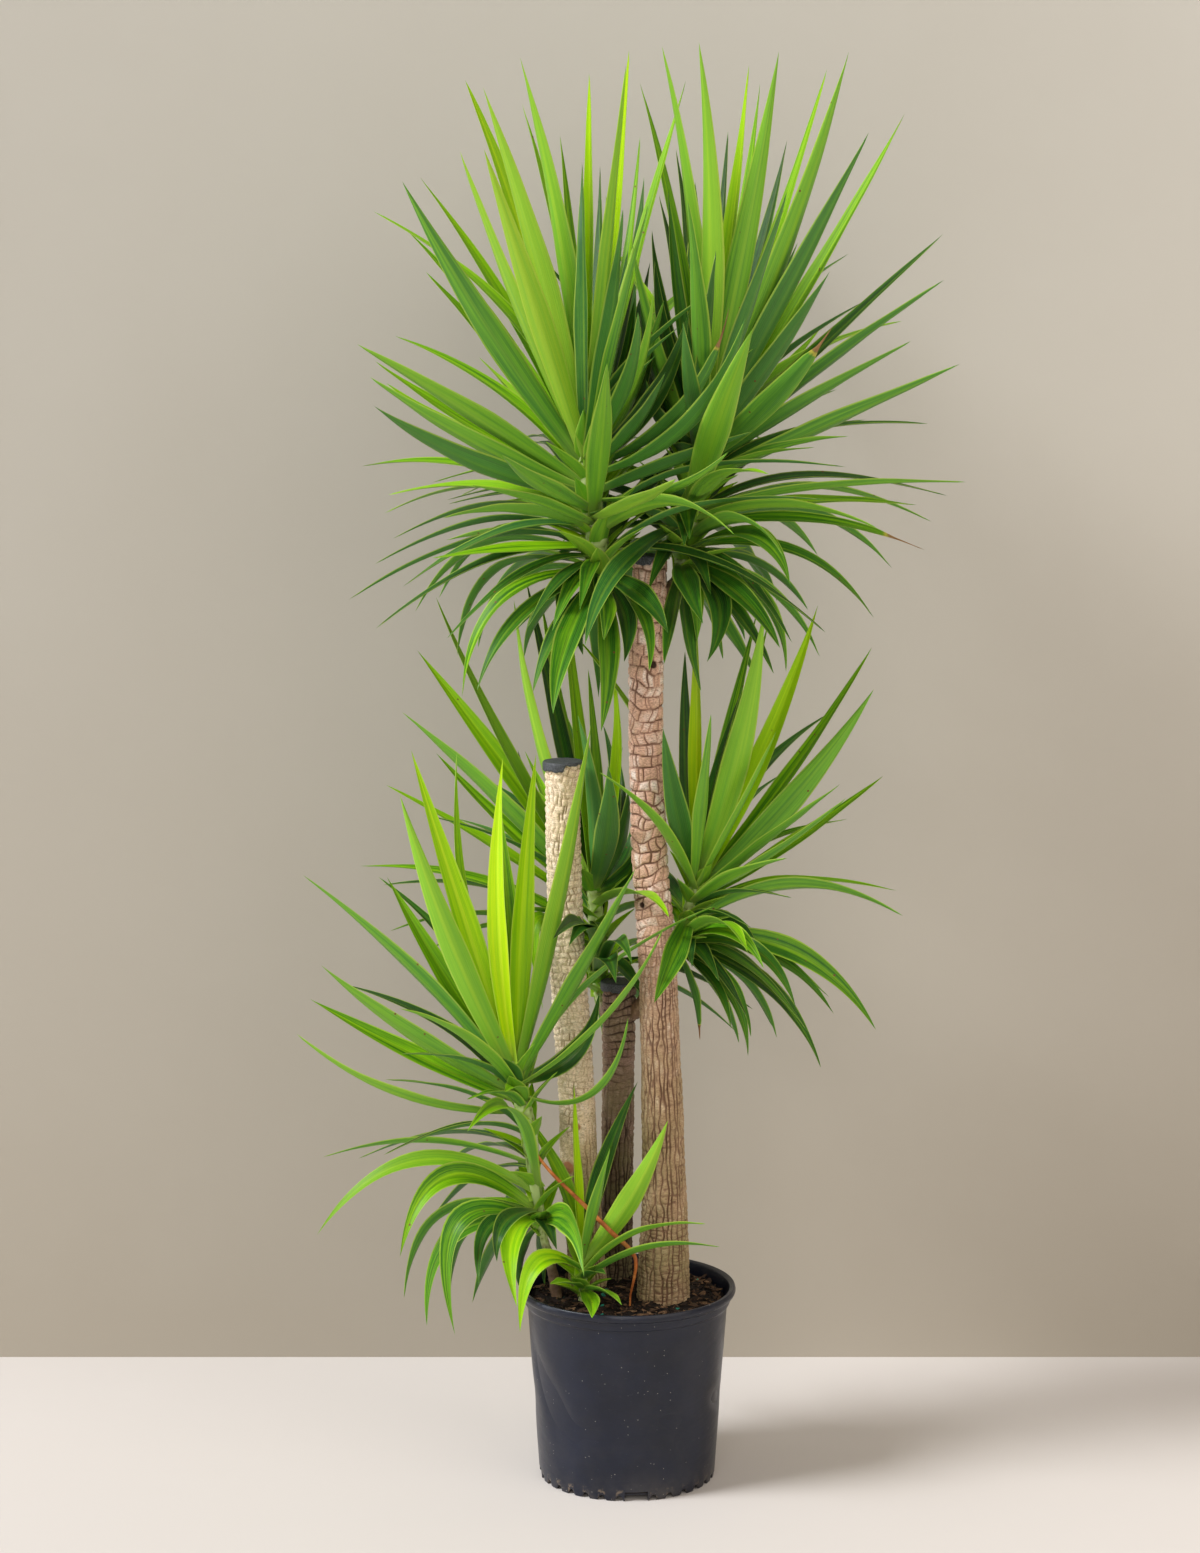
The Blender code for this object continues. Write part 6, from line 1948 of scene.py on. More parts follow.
def point_value(tree, name):
    """The value that a piece's points carry under a name."""
    node = tree.nodes.new("ShaderNodeAttribute")
    node.attribute_name = name
    return node.outputs["Fac"]


def own_place(tree):
    """Place on the object, in metres."""
    return tree.nodes.new("ShaderNodeTexCoord").outputs["Object"]


def height_of(tree):
    """Height on the object, in metres."""
    return add_node(tree, "ShaderNodeSeparateXYZ", Vector=own_place(tree)).outputs["Z"]


def stretched(tree, scale):
    """Place on the object, stretched by a scale along each axis."""
    node = add_node(tree, "ShaderNodeMapping", Vector=own_place(tree), Scale=scale)
    return node.outputs[0]


def uneven(tree, vector, scale, detail=3.0, roughness=0.6):
    """Cloudy noise from 0 to 1."""
    place = {"Vector": vector, "Scale": scale}
    node = add_node(tree, "ShaderNodeTexNoise", **place, Detail=detail, Roughness=roughness)
    return node.outputs[0]


def bumped(tree, height, strength, distance, normal=None):
    """A normal raised by a height."""
    node = add_node(tree, "ShaderNodeBump", Height=height, Strength=strength, Distance=distance)
    if normal is not None:
        fill(tree, node.inputs["Normal"], normal)
    return node.outputs[0]


def new_group(name, inputs, outputs):
    """An empty shader group with named inputs (name, kind, default) and outputs."""
    tree = bpy.data.node_groups.new(name, "ShaderNodeTree")
    for label, kind, default in inputs:
        socket = tree.interface.new_socket(label, in_out="INPUT", socket_type=kind)
        socket.default_value = default
    for label, kind in outputs:
        tree.interface.new_socket(label, in_out="OUTPUT", socket_type=kind)
    return tree, tree.nodes.new("NodeGroupInput"), tree.nodes.new("NodeGroupOutput")


def place_group(tree, group, **inputs):
    """A group's node in a tree, with its inputs set by name."""
    node = tree.nodes.new("ShaderNodeGroup")
    node.node_tree = group
    for name, value in inputs.items():
        fill(tree, node.inputs[name.replace("_", " ")], value)
    return node


def mask_from(tree, group, **inputs):
    """The mask that a group gives for these inputs."""
    return place_group(tree, group, **inputs).outputs["Mask"]


def group_patches():
    """Group: large soft patches, as a mask, with their size and how much they cover."""
    inputs = (
        ("Scale", "NodeSocketFloat", 12.0),
        ("Cover", "NodeSocketFloat", 0.5),
        ("Softness", "NodeSocketFloat", 0.12),
    )
    tree, given, result = new_group("Soft patches", inputs, (("Mask", "NodeSocketFloat"),))
    noise = uneven(tree, own_place(tree), given.outputs["Scale"], 4.0)
    middle = calc(tree, "SUBTRACT", 1.0, given.outputs["Cover"])
    low = calc(tree, "SUBTRACT", middle, given.outputs["Softness"])
    high = calc(tree, "ADD", middle, given.outputs["Softness"])
    fill(tree, result.inputs["Mask"], step_between(tree, noise, low, high))
    return tree


def group_specks():
    """Group: small round specks strewn over a surface, as a mask."""
    inputs = (
        ("Scale", "NodeSocketFloat", 260.0),
        ("Size", "NodeSocketFloat", 0.12),
        ("Share", "NodeSocketFloat", 0.2),
    )
    tree, given, result = new_group("Strewn specks", inputs, (("Mask", "NodeSocketFloat"),))
    size = given.outputs["Scale"]
    cells = add_node(tree, "ShaderNodeTexVoronoi", Vector=own_place(tree), Scale=size)
    near = calc(tree, "LESS_THAN", cells.outputs["Distance"], given.outputs["Size"])
    red = add_node(tree, "ShaderNodeSeparateColor", Color=cells.outputs["Color"])
    chosen = calc(tree, "LESS_THAN", red.outputs[0], given.outputs["Share"])
    fill(tree, result.inputs["Mask"], calc(tree, "MULTIPLY", near, chosen))
    return tree


def group_grain():
    """Group: fine uneven grain as a normal, and the grain's own value."""
    inputs = (
        ("Scale", "NodeSocketFloat", 400.0),
        ("Depth", "NodeSocketFloat", 0.0003),
        ("Strength", "NodeSocketFloat", 0.4),
    )
    outputs = (("Normal", "NodeSocketVector"), ("Value", "NodeSocketFloat"))
    tree, given, result = new_group("Fine grain", inputs, outputs)
    noise = uneven(tree, own_place(tree), given.outputs["Scale"], 4.0, 0.65)
    normal = bumped(tree, noise, given.outputs["Strength"], given.outputs["Depth"])
    fill(tree, result.inputs["Normal"], normal)
    fill(tree, result.inputs["Value"], noise)
    return tree


def new_material(name, specular=None):
    """An empty material with its surface shader, and how strongly the surface shines."""
    material = bpy.data.materials.new(name)
    material.use_nodes = True
    tree = material.node_tree
    tree.nodes.clear()
    shader = tree.nodes.new("ShaderNodeBsdfPrincipled")
    output = tree.nodes.new("ShaderNodeOutputMaterial")
    tree.links.new(shader.outputs[0], output.inputs[0])
    if specular is not None:
        shader.inputs["Specular IOR Level"].default_value = specular
    return material, tree


def finish_with(material, colour, roughness, normal=None):
    """Joins a material's colour, roughness and normal to its surface shader."""
    tree = material.node_tree
    shader = next(n for n in tree.nodes if n.type == "BSDF_PRINCIPLED")
    fill(tree, shader.inputs["Base Color"], colour)
    fill(tree, shader.inputs["Roughness"], roughness)
    if normal is not None:
        fill(tree, shader.inputs["Normal"], normal)
    return material


def leaf_lanes(tree):
    """Broad lanes along a leaf, uneven from 0 to 1 and different on every leaf."""
    lane = add_node(
        tree,
        "ShaderNodeCombineXYZ",
        X=times(tree, point_value(tree, "across"), 2.4),
        Y=point_value(tree, "along"),
        Z=times(tree, point_value(tree, "chance"), 40.0),
    )
    return uneven(tree, lane.outputs[0], 1.5)


def living_leaf(tree, youth, veins, vein_contrast):
    """A living leaf: green by its age, with veins and a paler midrib, underside and edges."""
    steps = ((0.0, "0A2807"), (0.25, "306C08"), (0.5, "7EB604"), (0.75, "A0CC08"), (1.0, "BED60A"))
    colour = colour_steps(tree, youth, steps)
    colour = laid_over(tree, colour, point_value(tree, "blue"), "164C30")
    streaks = uneven(tree, own_place(tree), 90.0)
    colour = laid_over(tree, colour, times(tree, veins, streaks), "AAD436", vein_contrast)
    edge = calc(tree, "ABSOLUTE", point_value(tree, "across"))
    midrib = times(tree, falling(tree, edge, 0.05, 0.22), point_value(tree, "stripe"))
    colour = laid_over(tree, colour, midrib, "C8E42C", 0.5)
    colour = laid_over(tree, colour, point_value(tree, "under"), "5E9848", 0.45)
    base = falling(tree, point_value(tree, "along"), 0.02, 0.17)
    colour = laid_over(tree, colour, base, "A6BC60", 0.5)
    return laid_over(tree, colour, step_between(tree, edge, 0.84, 0.95), "B4C850", 0.5)


def dried_leaf(tree, colour):
    """A leaf's colour with its dry end laid over it, and how dry each place is."""
    place = own_place(tree)
    ragged = scaled(tree, uneven(tree, place, 60.0), 0.05, -0.025)
    reach = calc(tree, "ADD", point_value(tree, "along"), ragged)
    reach = calc(tree, "ADD", reach, point_value(tree, "dry"))
    dry = step_between(tree, reach, 0.99, 1.005)
    rim = calc(tree, "SUBTRACT", step_between(tree, reach, 0.975, 0.99), dry)
    colour = laid_over(tree, colour, rim, "C9B14A", 0.7)
    dry_colour = colour_steps(tree, uneven(tree, place, 14.0), ((0.3, "6E4B2C"), (0.7, "A9855A")))
    return blend_colours(tree, dry, colour, dry_colour), dry


def leaf_material(look, groups):
    """Leaf: tones by age, fine lengthwise veins, pale margin and base, dry tip and spots."""
    material, tree = new_material("yucca_leaf", 0.17)
    lanes = leaf_lanes(tree)
    shift = scaled(tree, lanes, 0.9, scaled(tree, point_value(tree, "chance"), 0.2, -0.58))
    youth = calc(tree, "ADD", point_value(tree, "youth"), shift)
    veins = calc(tree, "SINE", times(tree, point_value(tree, "across"), 46.0))
    veins = scaled(tree, veins, 0.5, 0.5)
    colour = living_leaf(tree, youth, veins, look.vein_contrast)
    spots = mask_from(tree, groups["specks"], Scale=95.0, Size=0.16, Share=0.05)
    old = falling(tree, youth, 0.45, 0.75)
    colour = laid_over(tree, colour, times(tree, spots, old), "6B4A2A")
    colour, dry = dried_leaf(tree, colour)
    rough = calc(tree, "ADD", scaled(tree, lanes, 0.3, 0.22), times(tree, dry, 0.3))
    return finish_with(material, colour, rough, bumped(tree, veins, 0.25, 0.0006))


def stem_material(groups):
    """Stem: pale green crown with papery leaf bases, brown and woody lower down."""
    material, tree = new_material("yucca_stem")
    step = point_value(tree, "step")
    cloud = uneven(tree, own_place(tree), 60.0)
    green = colour_steps(tree, step, ((0.0, "5E6B34"), (0.25, "93A65A"), (1.0, "B9C98A")))
    wood = colour_steps(tree, cloud, ((0.25, "4A3626"), (0.55, "7B6048"), (0.8, "A58A6A")))
    where = scaled(tree, cloud, 0.3, point_value(tree, "crown"))
    colour = blend_colours(tree, step_between(tree, where, -0.05, 0.2), wood, green)
    colour = laid_over(tree, colour, falling(tree, step, 0.0, 0.16), "3A2A1C", 0.75)
    grain = place_group(tree, groups["grain"], Scale=420.0, Depth=0.0004, Strength=0.5)
    return finish_with(material, colour, 0.62, grain.outputs["Normal"])


# Screen colours of the plates near the top and the foot, each with a paler one for the plates'
# domes that is partly a painted highlight, of cracks and scars, and the heights between which the
# foot's colours change to the top's
BarkTones = namedtuple("BarkTones", "top top_pale foot foot_pale crack change scar")


def bark_plates(tree, tones, cloud):
    """Two tones of bark on the domed plates, changing from the foot's to the top's; the paler one,
    on the domes, is partly the bark's own and partly a painted highlight.
    """
    pale = scaled(tree, cloud, 0.8, scaled(tree, point_value(tree, "plate"), 0.45, -0.25))
    # Painted highlight in part: the paler tone only where a plate domes up
    pale = times(tree, step_between(tree, pale, 0.3, 0.8), point_value(tree, "dome"))
    upper = blend_colours(tree, pale, tint(tones.top), tint(tones.top_pale))
    lower = blend_colours(tree, pale, tint(tones.foot), tint(tones.foot_pale))
    rise = scaled(tree, cloud, 0.16, calc(tree, "SUBTRACT", height_of(tree), 0.08))
    return blend_colours(tree, step_between(tree, rise, *tones.change), lower, upper)


def bark_material(name, tones, groups):
    """Bark: plates of two tones, changing from top to foot, with dark cracks and scars."""
    material, tree = new_material(name, 0.3)
    fine = uneven(tree, stretched(tree, (1.0, 1.0, 2.2)), 240.0, 4.0, 0.7)
    colour = bark_plates(tree, tones, uneven(tree, own_place(tree), 38.0, 4.0))
    colour = laid_over(tree, colour, falling(tree, fine, 0.35, 0.6), tones.crack, 0.55)
    # Olive patches low on the canes, fading out by 0.8 m up: moss, and painted shade towards the
    # foot
    shade = calc(tree, "SUBTRACT", 0.5, step_between(tree, height_of(tree), 0.45, 1.15))
    moss_and_shade = mask_from(tree, groups["patches"], Scale=17.0, Cover=0.5, Softness=0.2)
    moss_and_shade = times(tree, moss_and_shade, calc(tree, "MAXIMUM", shade, 0.0))
    colour = laid_over(tree, colour, moss_and_shade, "7C7A4A")
    dull = mask_from(tree, groups["patches"], Scale=26.0, Cover=0.42, Softness=0.08)
    colour = laid_over(tree, colour, dull, tones.foot, 0.28)
    specks = mask_from(tree, groups["specks"], Scale=170.0, Size=0.2, Share=0.16)
    colour = laid_over(tree, colour, specks, tones.crack, 0.6)
    ragged = scaled(tree, fine, 0.5, -0.25)
    open_crack = calc(tree, "ADD", point_value(tree, "crack"), ragged)
    open_crack = step_between(tree, open_crack, 0.2, 0.7)
    colour = laid_over(tree, colour, open_crack, tones.crack, 0.82)
    scar = step_between(tree, calc(tree, "ADD", point_value(tree, "scar"), ragged), 0.35, 0.8)
    colour = laid_over(tree, colour, scar, tones.scar)
    relief = bumped(tree, scaled(tree, open_crack, -0.6, fine), 0.55, 0.0010)
    return finish_with(material, colour, scaled(tree, fine, 0.2, 0.72), relief)


def wax_material(groups):
    """Wax: charcoal, granular and slightly greasy, with paler rubbed grains."""
    material, tree = new_material("sealing_wax")
    grain = place_group(tree, groups["grain"], Scale=620.0, Depth=0.0008, Strength=0.8)
    steps = ((0.30, "24262A"), (0.55, "43464B"), (0.75, "6C6F74"))
    colour = colour_steps(tree, grain.outputs["Value"], steps)
    patches = mask_from(tree, groups["patches"], Scale=70.0, Cover=0.35, Softness=0.1)
    colour = laid_over(tree, colour, patches, "2B2C2F", 0.4)
    return finish_with(material, colour, 0.55, grain.outputs["Normal"])


def sandy_foot(tree):
    """Where sand sticks to the pot: in the notches' edges and lightly along the foot."""
    low = falling(tree, height_of(tree), 0.005, 0.016)
    crust = step_between(tree, uneven(tree, own_place(tree), 170.0), 0.48, 0.66)
    notches = times(tree, point_value(tree, "notch"), crust)
    return scaled(tree, times(tree, low, crust), 0.12, notches)


def pot_material(look, groups):
    """Pot: blue-black moulded plastic with cloudy gloss, dust, scuffs and sandy feet."""
    material, tree = new_material("nursery_pot", 0.4)
    cloud = uneven(tree, own_place(tree), 16.0, 4.0)
    colour = blend_colours(tree, cloud, tuple(look.plastic), tuple(look.plastic_worn))
    scratch = uneven(tree, stretched(tree, (1.0, 1.0, 7.0)), 130.0, 5.0, 0.7)
    colour = laid_over(tree, colour, step_between(tree, scratch, 0.62, 0.72), "8A8E96", 0.10)
    dust = mask_from(tree, groups["specks"], Scale=210.0, Size=0.14, Share=0.10)
    colour = laid_over(tree, colour, dust, "B7B2A8", 0.5)
    film = mask_from(tree, groups["patches"], Scale=22.0, Cover=0.45, Softness=0.2)
    low = falling(tree, height_of(tree), 0.004, 0.05)
    film = times(tree, scaled(tree, low, 0.10, 0.02), film)
    colour = laid_over(tree, colour, film, "8D8373")
    colour = laid_over(tree, colour, sandy_foot(tree), "8E7C66", 0.42)
    rough = scaled(tree, cloud, 0.22, look.gloss_roughness - 0.11)
    rough = calc(tree, "ADD", rough, times(tree, film, 0.4))
    waves = uneven(tree, stretched(tree, (1.0, 1.0, 2.5)), 20.0, 2.0)
    grain = place_group(tree, groups["grain"], Scale=900.0, Depth=0.0001, Strength=0.25)
    normal = bumped(tree, waves, 0.25, 0.004, grain.outputs["Normal"])
    return finish_with(material, colour, rough, normal)


def mulch_material(groups):
    """Mulch: dark crumbs and bark chips from near black to tan, with a few green grains."""
    material, tree = new_material("bark_mulch", 0.25)
    chip = point_value(tree, "chip")
    fine = uneven(tree, own_place(tree), 320.0, 4.0, 0.7)
    ground = colour_steps(tree, fine, ((0.3, "0A0706"), (0.55, "1C140F"), (0.75, "3A2A1F")))
    steps = ((0.0, "17110D"), (0.45, "30221A"), (0.8, "58412F"), (1.0, "8A6B4E"))
    tone = scaled(tree, fine, 0.5, calc(tree, "SUBTRACT", chip, 0.3))
    bark = colour_steps(tree, tone, steps)
    colour = blend_colours(tree, step_between(tree, chip, 0.01, 0.04), ground, bark)
    cells = add_node(tree, "ShaderNodeTexVoronoi", Vector=own_place(tree), Scale=190.0)
    red = add_node(tree, "ShaderNodeSeparateColor", Color=cells.outputs["Color"]).outputs[0]
    colour = laid_over(tree, colour, calc(tree, "LESS_THAN", red, 0.006), "2F8F7A", 0.8)
    grain = place_group(tree, groups["grain"], Scale=500.0, Depth=0.0012, Strength=0.8)
    return finish_with(material, colour, 0.9, grain.outputs["Normal"])


def dry_leaf_material(groups):
    """Dry leaf: orange brown with fibres along it and darker edges."""
    material, tree = new_material("dry_leaf_strip")
    across = point_value(tree, "across")
    cloud = uneven(tree, own_place(tree), 70.0, 4.0)
    colour = colour_steps(tree, cloud, ((0.25, "8A4518"), (0.5, "C26E2A"), (0.75, "DDA05A")))
    fibres = scaled(tree, calc(tree, "SINE", times(tree, across, 18.0)), 0.5, 0.5)
    colour = laid_over(tree, colour, fibres, "6E3512", 0.3)
    edge = step_between(tree, calc(tree, "ABSOLUTE", across), 0.75, 1.0)
    colour = laid_over(tree, colour, edge, "5A2C10", 0.4)
    grain = place_group(tree, groups["grain"], Scale=500.0, Depth=0.0003, Strength=0.5)
    return finish_with(material, colour, 0.7, grain.outputs["Normal"])


def plain_surface(name, colour, worn, scale, roughness):
    """Floor or wall: one colour with a very faint cloudiness, turning to a second colour near the
    floor line; on the wall this is painted shade that darkens it towards the floor.
    """
    material, tree = new_material(name, 0.2)
    cloud = scaled(tree, uneven(tree, own_place(tree), scale, 4.0), 0.3, 0.85)
    # Painted shade: the lower a place, the more of the second, darker colour, so the wall darkens
    # towards the floor line
    cloud = calc(tree, "SUBTRACT", cloud, calc(tree, "DIVIDE", height_of(tree), 2.4))
    colour = blend_colours(tree, cloud, tuple(colour), tuple(worn))
    return finish_with(material, colour, roughness)


def clear_from_behind(material):
    """Lets a view from behind look through the wall; its front stays as it is."""
    tree = material.node_tree
    output = next(n for n in tree.nodes if n.type == "OUTPUT_MATERIAL")
    front = output.inputs["Surface"].links[0].from_socket
    side = tree.nodes.new("ShaderNodeNewGeometry")
    clear = tree.nodes.new("ShaderNodeBsdfTransparent")
    mix = tree.nodes.new("ShaderNodeMixShader")
    tree.links.new(side.outputs["Backfacing"], mix.inputs[0])
    tree.links.new(front, mix.inputs[1])
    tree.links.new(clear.outputs[0], mix.inputs[2])
    tree.links.new(mix.outputs[0], output.inputs["Surface"])


def shared_groups():
    """The effects that several materials use, each made once."""
    if "Soft patches" not in bpy.data.node_groups:
        group_patches()
        group_specks()
        group_grain()
    names = {"patches": "Soft patches", "specks": "Strewn specks", "grain": "Fine grain"}
    return {key: bpy.data.node_groups[name] for key, name in names.items()}


# Settings that a user may change


class LeafLook(bpy.types.PropertyGroup):
    """Sizes and contrasts of the leaves."""

    ripple: FloatProperty(
        name="Edge ripple",
        description="How far a leaf's edges wave up and down",
        default=0.0006,
        min=0.0,
        max=0.002,
        unit="LENGTH",
    )
    vein_contrast: FloatProperty(
        name="Vein contrast",
        description="How strongly the pale lengthwise veins show",
        default=0.16,
        min=0.0,
        max=1.0,
        subtype="FACTOR",
    )
    seed: IntProperty(
        name="Seed",
        description="Draw for the small differences between leaves",
        default=4,
    )


class CaneLook(bpy.types.PropertyGroup):
    """Relief of the bark."""

    crack_depth: FloatProperty(
        name="Crack depth",
        description="How deep the cracks between bark plates are",
        default=0.0026,
        min=0.0,
        max=0.003,
        unit="LENGTH",
    )
    seed: IntProperty(name="Seed", description="Draw for the bark plates", default=3)


class PotLook(bpy.types.PropertyGroup):
    """Colour, gloss and dents of the pot, and the mulch in it."""

    plastic: FloatVectorProperty(
        name="Plastic",
        description="Colour of the pot",
        default=tint("070B16"),
        size=4,
        subtype="COLOR",
    )
    plastic_worn: FloatVectorProperty(
        name="Worn plastic",
        description="Colour of the pot where it is rubbed",
        default=tint("141B2F"),
        size=4,
        subtype="COLOR",
    )
    gloss_roughness: FloatProperty(
        name="Roughness",
        description="Roughness of the pot's wall",
        default=0.33,
        min=0.05,
        max=1.0,
        subtype="FACTOR",
    )
    dent_depth: FloatProperty(
        name="Dents",
        description="Depth of the wall's dents, as a share of the usual",
        default=1.4,
        min=0.0,
        max=2.0,
        subtype="FACTOR",
    )
    chip_seed: IntProperty(name="Chip seed", description="Draw for the bark chips", default=7)


class StageLook(bpy.types.PropertyGroup):
    """Floor, wall and lights."""

    floor: FloatVectorProperty(
        name="Floor",
        description="Colour of the floor",
        default=tint("D7D4D3"),
        size=4,
        subtype="COLOR",
    )
    wall: FloatVectorProperty(
        name="Wall",
        description="Colour of the wall",
        default=tint("BEBBB3"),
        size=4,
        subtype="COLOR",
    )
    wall_place: FloatProperty(
        name="Wall place",
        description="How far the wall stands behind the pot's middle",
        default=0.545,
        unit="LENGTH",
    )
    key_strength: FloatProperty(
        name="Main light",
        description="Strength of the soft main light from the left",
        default=3.7,
        min=0.0,
    )
    fill_power: FloatProperty(
        name="Fill light",
        description="Power of the broad light at the front",
        default=120.0,
        min=0.0,
        unit="POWER",
    )
    right_power: FloatProperty(
        name="Right light",
        description="Power of the warm light at the right",
        default=75.0,
        min=0.0,
        unit="POWER",
    )
    side_power: FloatProperty(
        name="Side light",
        description="Power of the small cool light at the left, which gives the pot its sheen",
        default=9.0,
        min=0.0,
        unit="POWER",
    )


# Operators


class YUCCA_OT_leafy_stems(bpy.types.Operator):
    """Makes the six leafy stems from their settled leaves"""

    bl_idname = "yucca.leafy_stems"
    bl_label = "Leafy stems"

    def execute(self, context):
        look = context.scene.yucca_leaves
        groups = shared_groups()
        finishes = [leaf_material(look, groups), stem_material(groups)]
        placed, tones = place_leaves(obstacles_of_leaves())
        for head in HEADS:
            own = [n for n, one in enumerate(placed) if one.head == head.name]
            blades = [placed[n].blade for n in own]
            own_tones = [tones[n] for n in own]
            sheaths = sheath_blades(head)
            skins = [
                leaf_skins(blades, own_tones, look.seed + head.seed, look.ripple),
                leaf_skins(sheaths, ["light"] * len(sheaths), head.seed, 0.0, 0.95),
                stem_skin(head),
            ]
            name = "leaves_" + head.name.replace("head_", "")
            put_piece(name, head.name, "leaf", skins, finishes)
        return {"FINISHED"}


BARK_TONES = {
    "cane_tall": BarkTones(
        "D8AE96", "FFF4EA", "AC906E", "D4BE9A", "644434", change=(0.55, 0.85), scar="38241A"
    ),
    "cane_medium": BarkTones(
        "F6E0C2", "FFF8EA", "CCB488", "ECD6AC", "70582F", change=(0.42, 0.58), scar="A8744E"
    ),
    "cane_short": BarkTones(
        "927666", "BCA292", "6E5A4A", "987E6C", "34221A", change=(0.40, 0.60), scar="4A3022"
    ),
}


class YUCCA_OT_canes(bpy.types.Operator):
    """Makes the three canes with their bark plates"""

    bl_idname = "yucca.canes"
    bl_label = "Canes"

    def execute(self, context):
        look = context.scene.yucca_canes
        groups = shared_groups()
        for n, (name, stations) in enumerate(zip(BARK, CANES)):
            finish = bark_material("bark_" + name, BARK_TONES[name], groups)
            skin = cane_skin(name, stations, look.crack_depth, look.seed + n)
            put_piece(name.replace("cane", "bark"), name, name, [skin], [finish], radians(80.0))
        return {"FINISHED"}


class YUCCA_OT_wax_caps(bpy.types.Operator):
    """Makes the wax caps on the canes' cut tops"""

    bl_idname = "yucca.wax_caps"
    bl_label = "Wax caps"

    def execute(self, context):
        finish = wax_material(shared_groups())
        for n, (name, stations) in enumerate(zip(("tall", "medium", "short"), CANES)):
            skin = wax_skin(stations, n)
            put_piece("cap_" + name, "wax_" + name, "wax", [skin], [finish])
        return {"FINISHED"}


class YUCCA_OT_pot(bpy.types.Operator):
    """Makes the pot with its rolled lip, dents, notched foot and drain slots"""

    bl_idname = "yucca.pot"
    bl_label = "Pot"

    def execute(self, context):
        look = context.scene.yucca_pot
        finish = pot_material(look, shared_groups())
        pot = put_piece("nursery_pot", "pot", "pot", [pot_skin(look.dent_depth)], [finish])
        cut_drains(pot)
        return {"FINISHED"}


class YUCCA_OT_mulch(bpy.types.Operator):
    """Makes the mulch and its bark chips"""

    bl_idname = "yucca.mulch"
    bl_label = "Mulch"

    def execute(self, context):
        look = context.scene.yucca_pot
        skins = [soil_skin(), chip_skins(look.chip_seed)]
        put_piece("mulch", "soil", "soil", skins, [mulch_material(shared_groups())])
        return {"FINISHED"}


class YUCCA_OT_dry_leaf(bpy.types.Operator):
    """Makes the dry leaf that hangs down to the mulch"""

    bl_idname = "yucca.dry_leaf"
    bl_label = "Dry leaf"

    def execute(self, context):
        finish = dry_leaf_material(shared_groups())
        put_piece("dry_strip", "dry_leaf", "dry_leaf", [dry_leaf_skin()], [finish])
        return {"FINISHED"}


# Stage: its square lights, the way to the main light, and how far the floor and wall go
AreaLight = namedtuple("AreaLight", "name place target size colour")
FRONT_LIGHT = AreaLight("front_light", (-0.6, -7.0, 3.2), (0.0, 0.0, 0.9), 3.5, (1.0, 0.965, 0.92))
RIGHT_LIGHT = AreaLight("right_light", (2.9, -3.0, 2.6), (0.5, 0.2, 0.4), 4.0, (1.0, 0.93, 0.85))
SIDE_LIGHT = AreaLight("side_light", (-2.6, 0.05, 0.7), (0.0, 0.0, 0.3), 0.9, (0.86, 0.93, 1.0))
SUN_WAY = (-0.82, -0.29, 0.70)
STAGE_SIDE = 6.0
FLOOR_FRONT = -8.0
WALL_TOP = 5.0


def flat_sheet(name, start, end, material):
    """A flat part of the stage, from one depth and height to another."""
    left = -STAGE_SIDE
    corners = [(left, *start), (STAGE_SIDE, *start), (STAGE_SIDE, *end), (left, *end)]
    mesh = bpy.data.meshes.new(name)
    mesh.from_pydata(corners, [], [(0, 1, 2, 3)])
    mesh.materials.append(material)
    sheet = bpy.data.objects.new(name, mesh)
    bpy.context.scene.collection.objects.link(sheet)


def stand_up(name, data, place, turn):
    """A light or a camera in its place, turned its way."""
    item = bpy.data.objects.new(name, data)
    item.location = place
    item.rotation_euler = turn
    bpy.context.scene.collection.objects.link(item)
    return item


def soft_light(light, power):
    """A square area light that points at its target."""
    lamp = bpy.data.lights.new(light.name, "AREA")
    lamp.shape = "SQUARE"
    lamp.size = light.size
    lamp.energy = power
    lamp.color = light.colour
    way = Vector(light.target) - Vector(light.place)
    stand_up(light.name, lamp, light.place, way.to_track_quat("-Z", "Y").to_euler())


def main_light(strength):
    """A broad even light from the upper left front, with a soft shadow."""
    lamp = bpy.data.lights.new("main_light", "SUN")
    lamp.energy = strength
    lamp.angle = radians(22.0)
    lamp.color = (0.97, 0.985, 1.0)
    stand_up("main_light", lamp, (0, 0, 0), Vector(SUN_WAY).to_track_quat("Z", "Y").to_euler())


def front_camera():
    """The camera at the front view's place, tilt and focal length."""
    lens = bpy.data.cameras.new("front_camera")
    lens.sensor_width = SENSOR
    lens.lens = VIEW_FOCAL / VIEW_HEIGHT * SENSOR
    camera = stand_up("front_camera", lens, EYE, (pi / 2 - TILT_DOWN, 0.0, 0.0))
    bpy.context.scene.camera = camera


def room_light():
    """The weak warm light that comes from everywhere."""
    world = bpy.data.worlds.new("studio")
    world.use_nodes = True
    background = world.node_tree.nodes["Background"]
    background.inputs["Color"].default_value = (1.0, 0.89, 0.77, 1.0)
    background.inputs["Strength"].default_value = 0.30
    bpy.context.scene.world = world


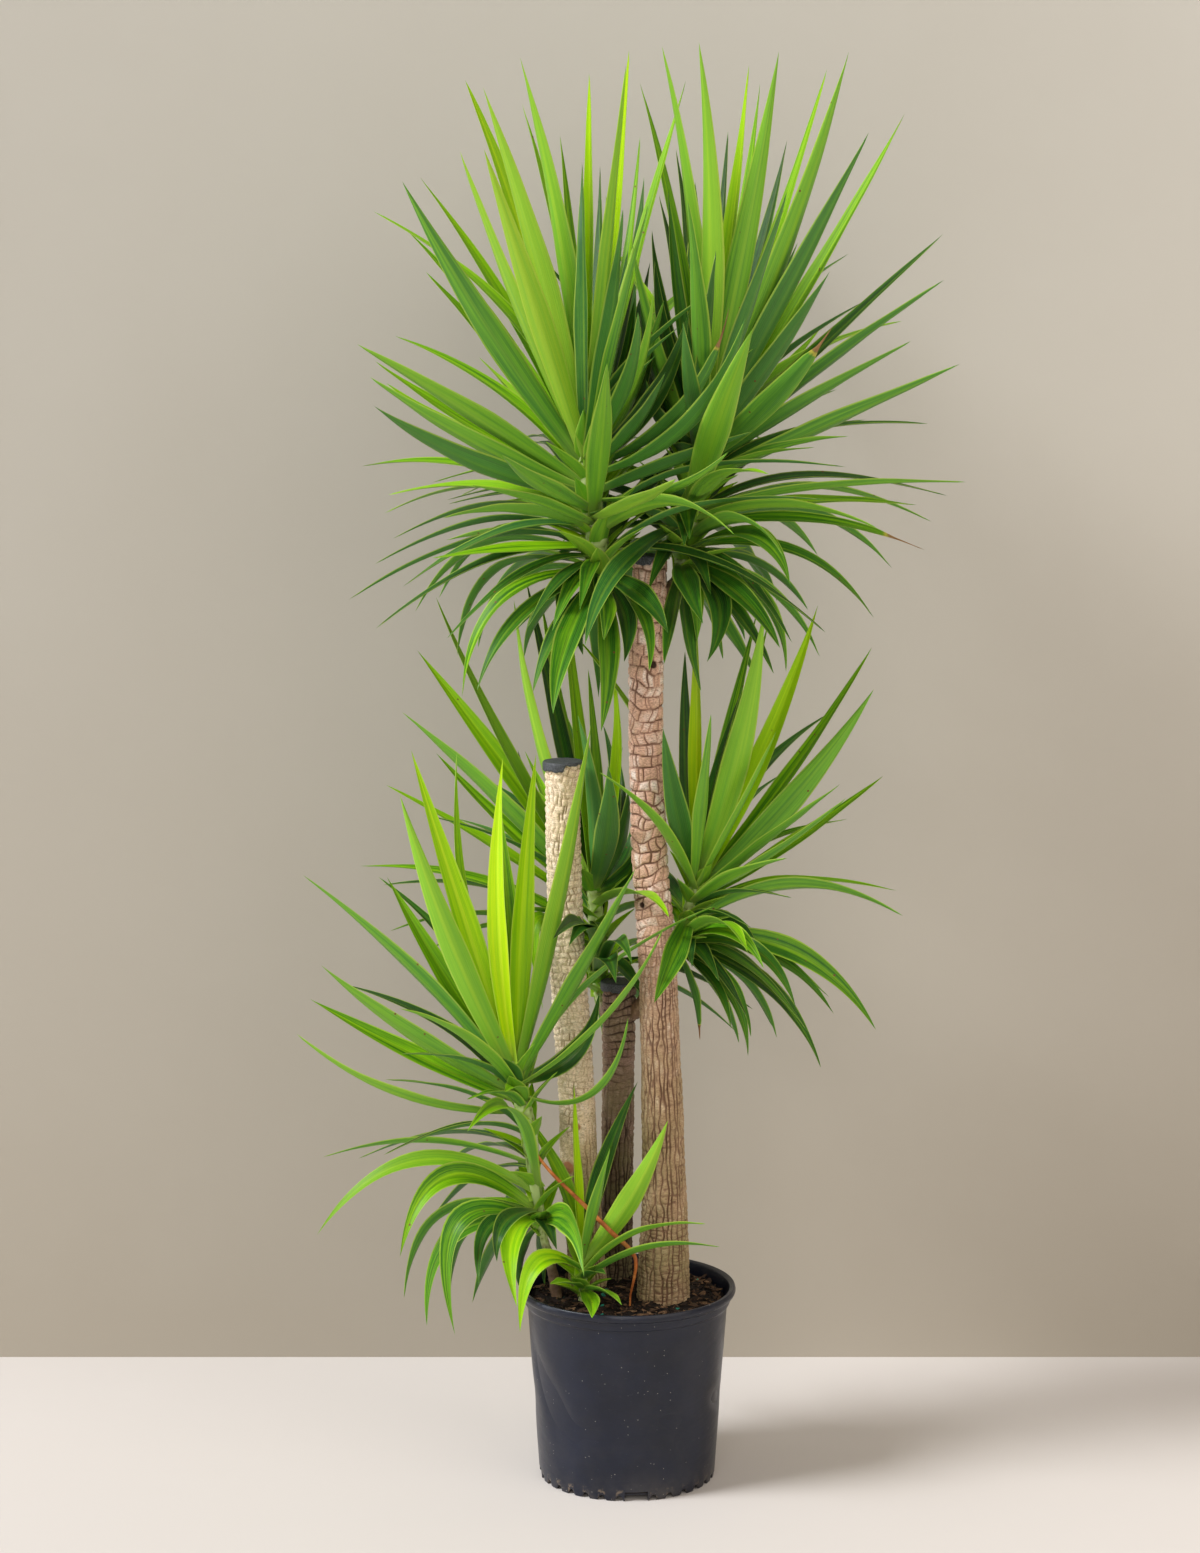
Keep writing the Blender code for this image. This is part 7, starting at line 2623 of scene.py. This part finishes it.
class YUCCA_OT_stage(bpy.types.Operator):
    """Makes the pale floor, the wall, the soft lights and the camera"""

    bl_idname = "yucca.stage"
    bl_label = "Stage"

    def execute(self, context):
        look = context.scene.yucca_stage
        # The floor's second colour gives its faint cloudiness; the wall's second colour is its
        # painted shade near the floor line
        floor = plain_surface("stage_floor", look.floor, tint("D2CCC8"), 3.0, 0.7)
        wall = plain_surface("stage_wall", look.wall, tint("A69E91"), 1.5, 0.9)
        clear_from_behind(wall)
        flat_sheet("floor", (FLOOR_FRONT, 0.0), (STAGE_SIDE, 0.0), floor)
        flat_sheet("wall", (look.wall_place, 0.0), (look.wall_place, WALL_TOP), wall)
        main_light(look.key_strength)
        soft_light(FRONT_LIGHT, look.fill_power)
        soft_light(RIGHT_LIGHT, look.right_power)
        soft_light(SIDE_LIGHT, look.side_power)
        room_light()
        context.scene.view_settings.view_transform = "Standard"
        front_camera()
        return {"FINISHED"}


OPERATORS = (
    YUCCA_OT_leafy_stems,
    YUCCA_OT_canes,
    YUCCA_OT_wax_caps,
    YUCCA_OT_pot,
    YUCCA_OT_mulch,
    YUCCA_OT_dry_leaf,
    YUCCA_OT_stage,
)


class YUCCA_PT_panel(bpy.types.Panel):
    """Settings and steps of the potted yucca"""

    bl_label = "Potted yucca"
    bl_idname = "YUCCA_PT_panel"
    bl_space_type = "VIEW_3D"
    bl_region_type = "UI"
    bl_category = "Yucca"

    def draw(self, context):
        layout = self.layout
        for group in LOOKS:
            look = getattr(context.scene, group)
            box = layout.box()
            for key in look.bl_rna.properties.keys():
                if key not in ("rna_type", "name"):
                    box.prop(look, key)
        for operator in OPERATORS:
            layout.operator(operator.bl_idname)


LOOKS = {
    "yucca_leaves": LeafLook,
    "yucca_canes": CaneLook,
    "yucca_pot": PotLook,
    "yucca_stage": StageLook,
}


def register():
    """Registers the settings, the operators and the panel."""
    for name, look in LOOKS.items():
        bpy.utils.register_class(look)
        setattr(bpy.types.Scene, name, PointerProperty(type=look))
    for item in (*OPERATORS, YUCCA_PT_panel):
        bpy.utils.register_class(item)


def unregister():
    """Takes the panel, the operators and the settings away again."""
    for item in (YUCCA_PT_panel, *reversed(OPERATORS)):
        bpy.utils.unregister_class(item)
    for name, look in LOOKS.items():
        delattr(bpy.types.Scene, name)
        bpy.utils.unregister_class(look)


def main():
    """Runs every step in order."""
    register()
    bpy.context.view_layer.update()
    bpy.ops.yucca.leafy_stems()
    bpy.ops.yucca.canes()
    bpy.ops.yucca.wax_caps()
    bpy.ops.yucca.pot()
    bpy.ops.yucca.mulch()
    bpy.ops.yucca.dry_leaf()
    bpy.ops.yucca.stage()


if __name__ == "__main__":
    main()
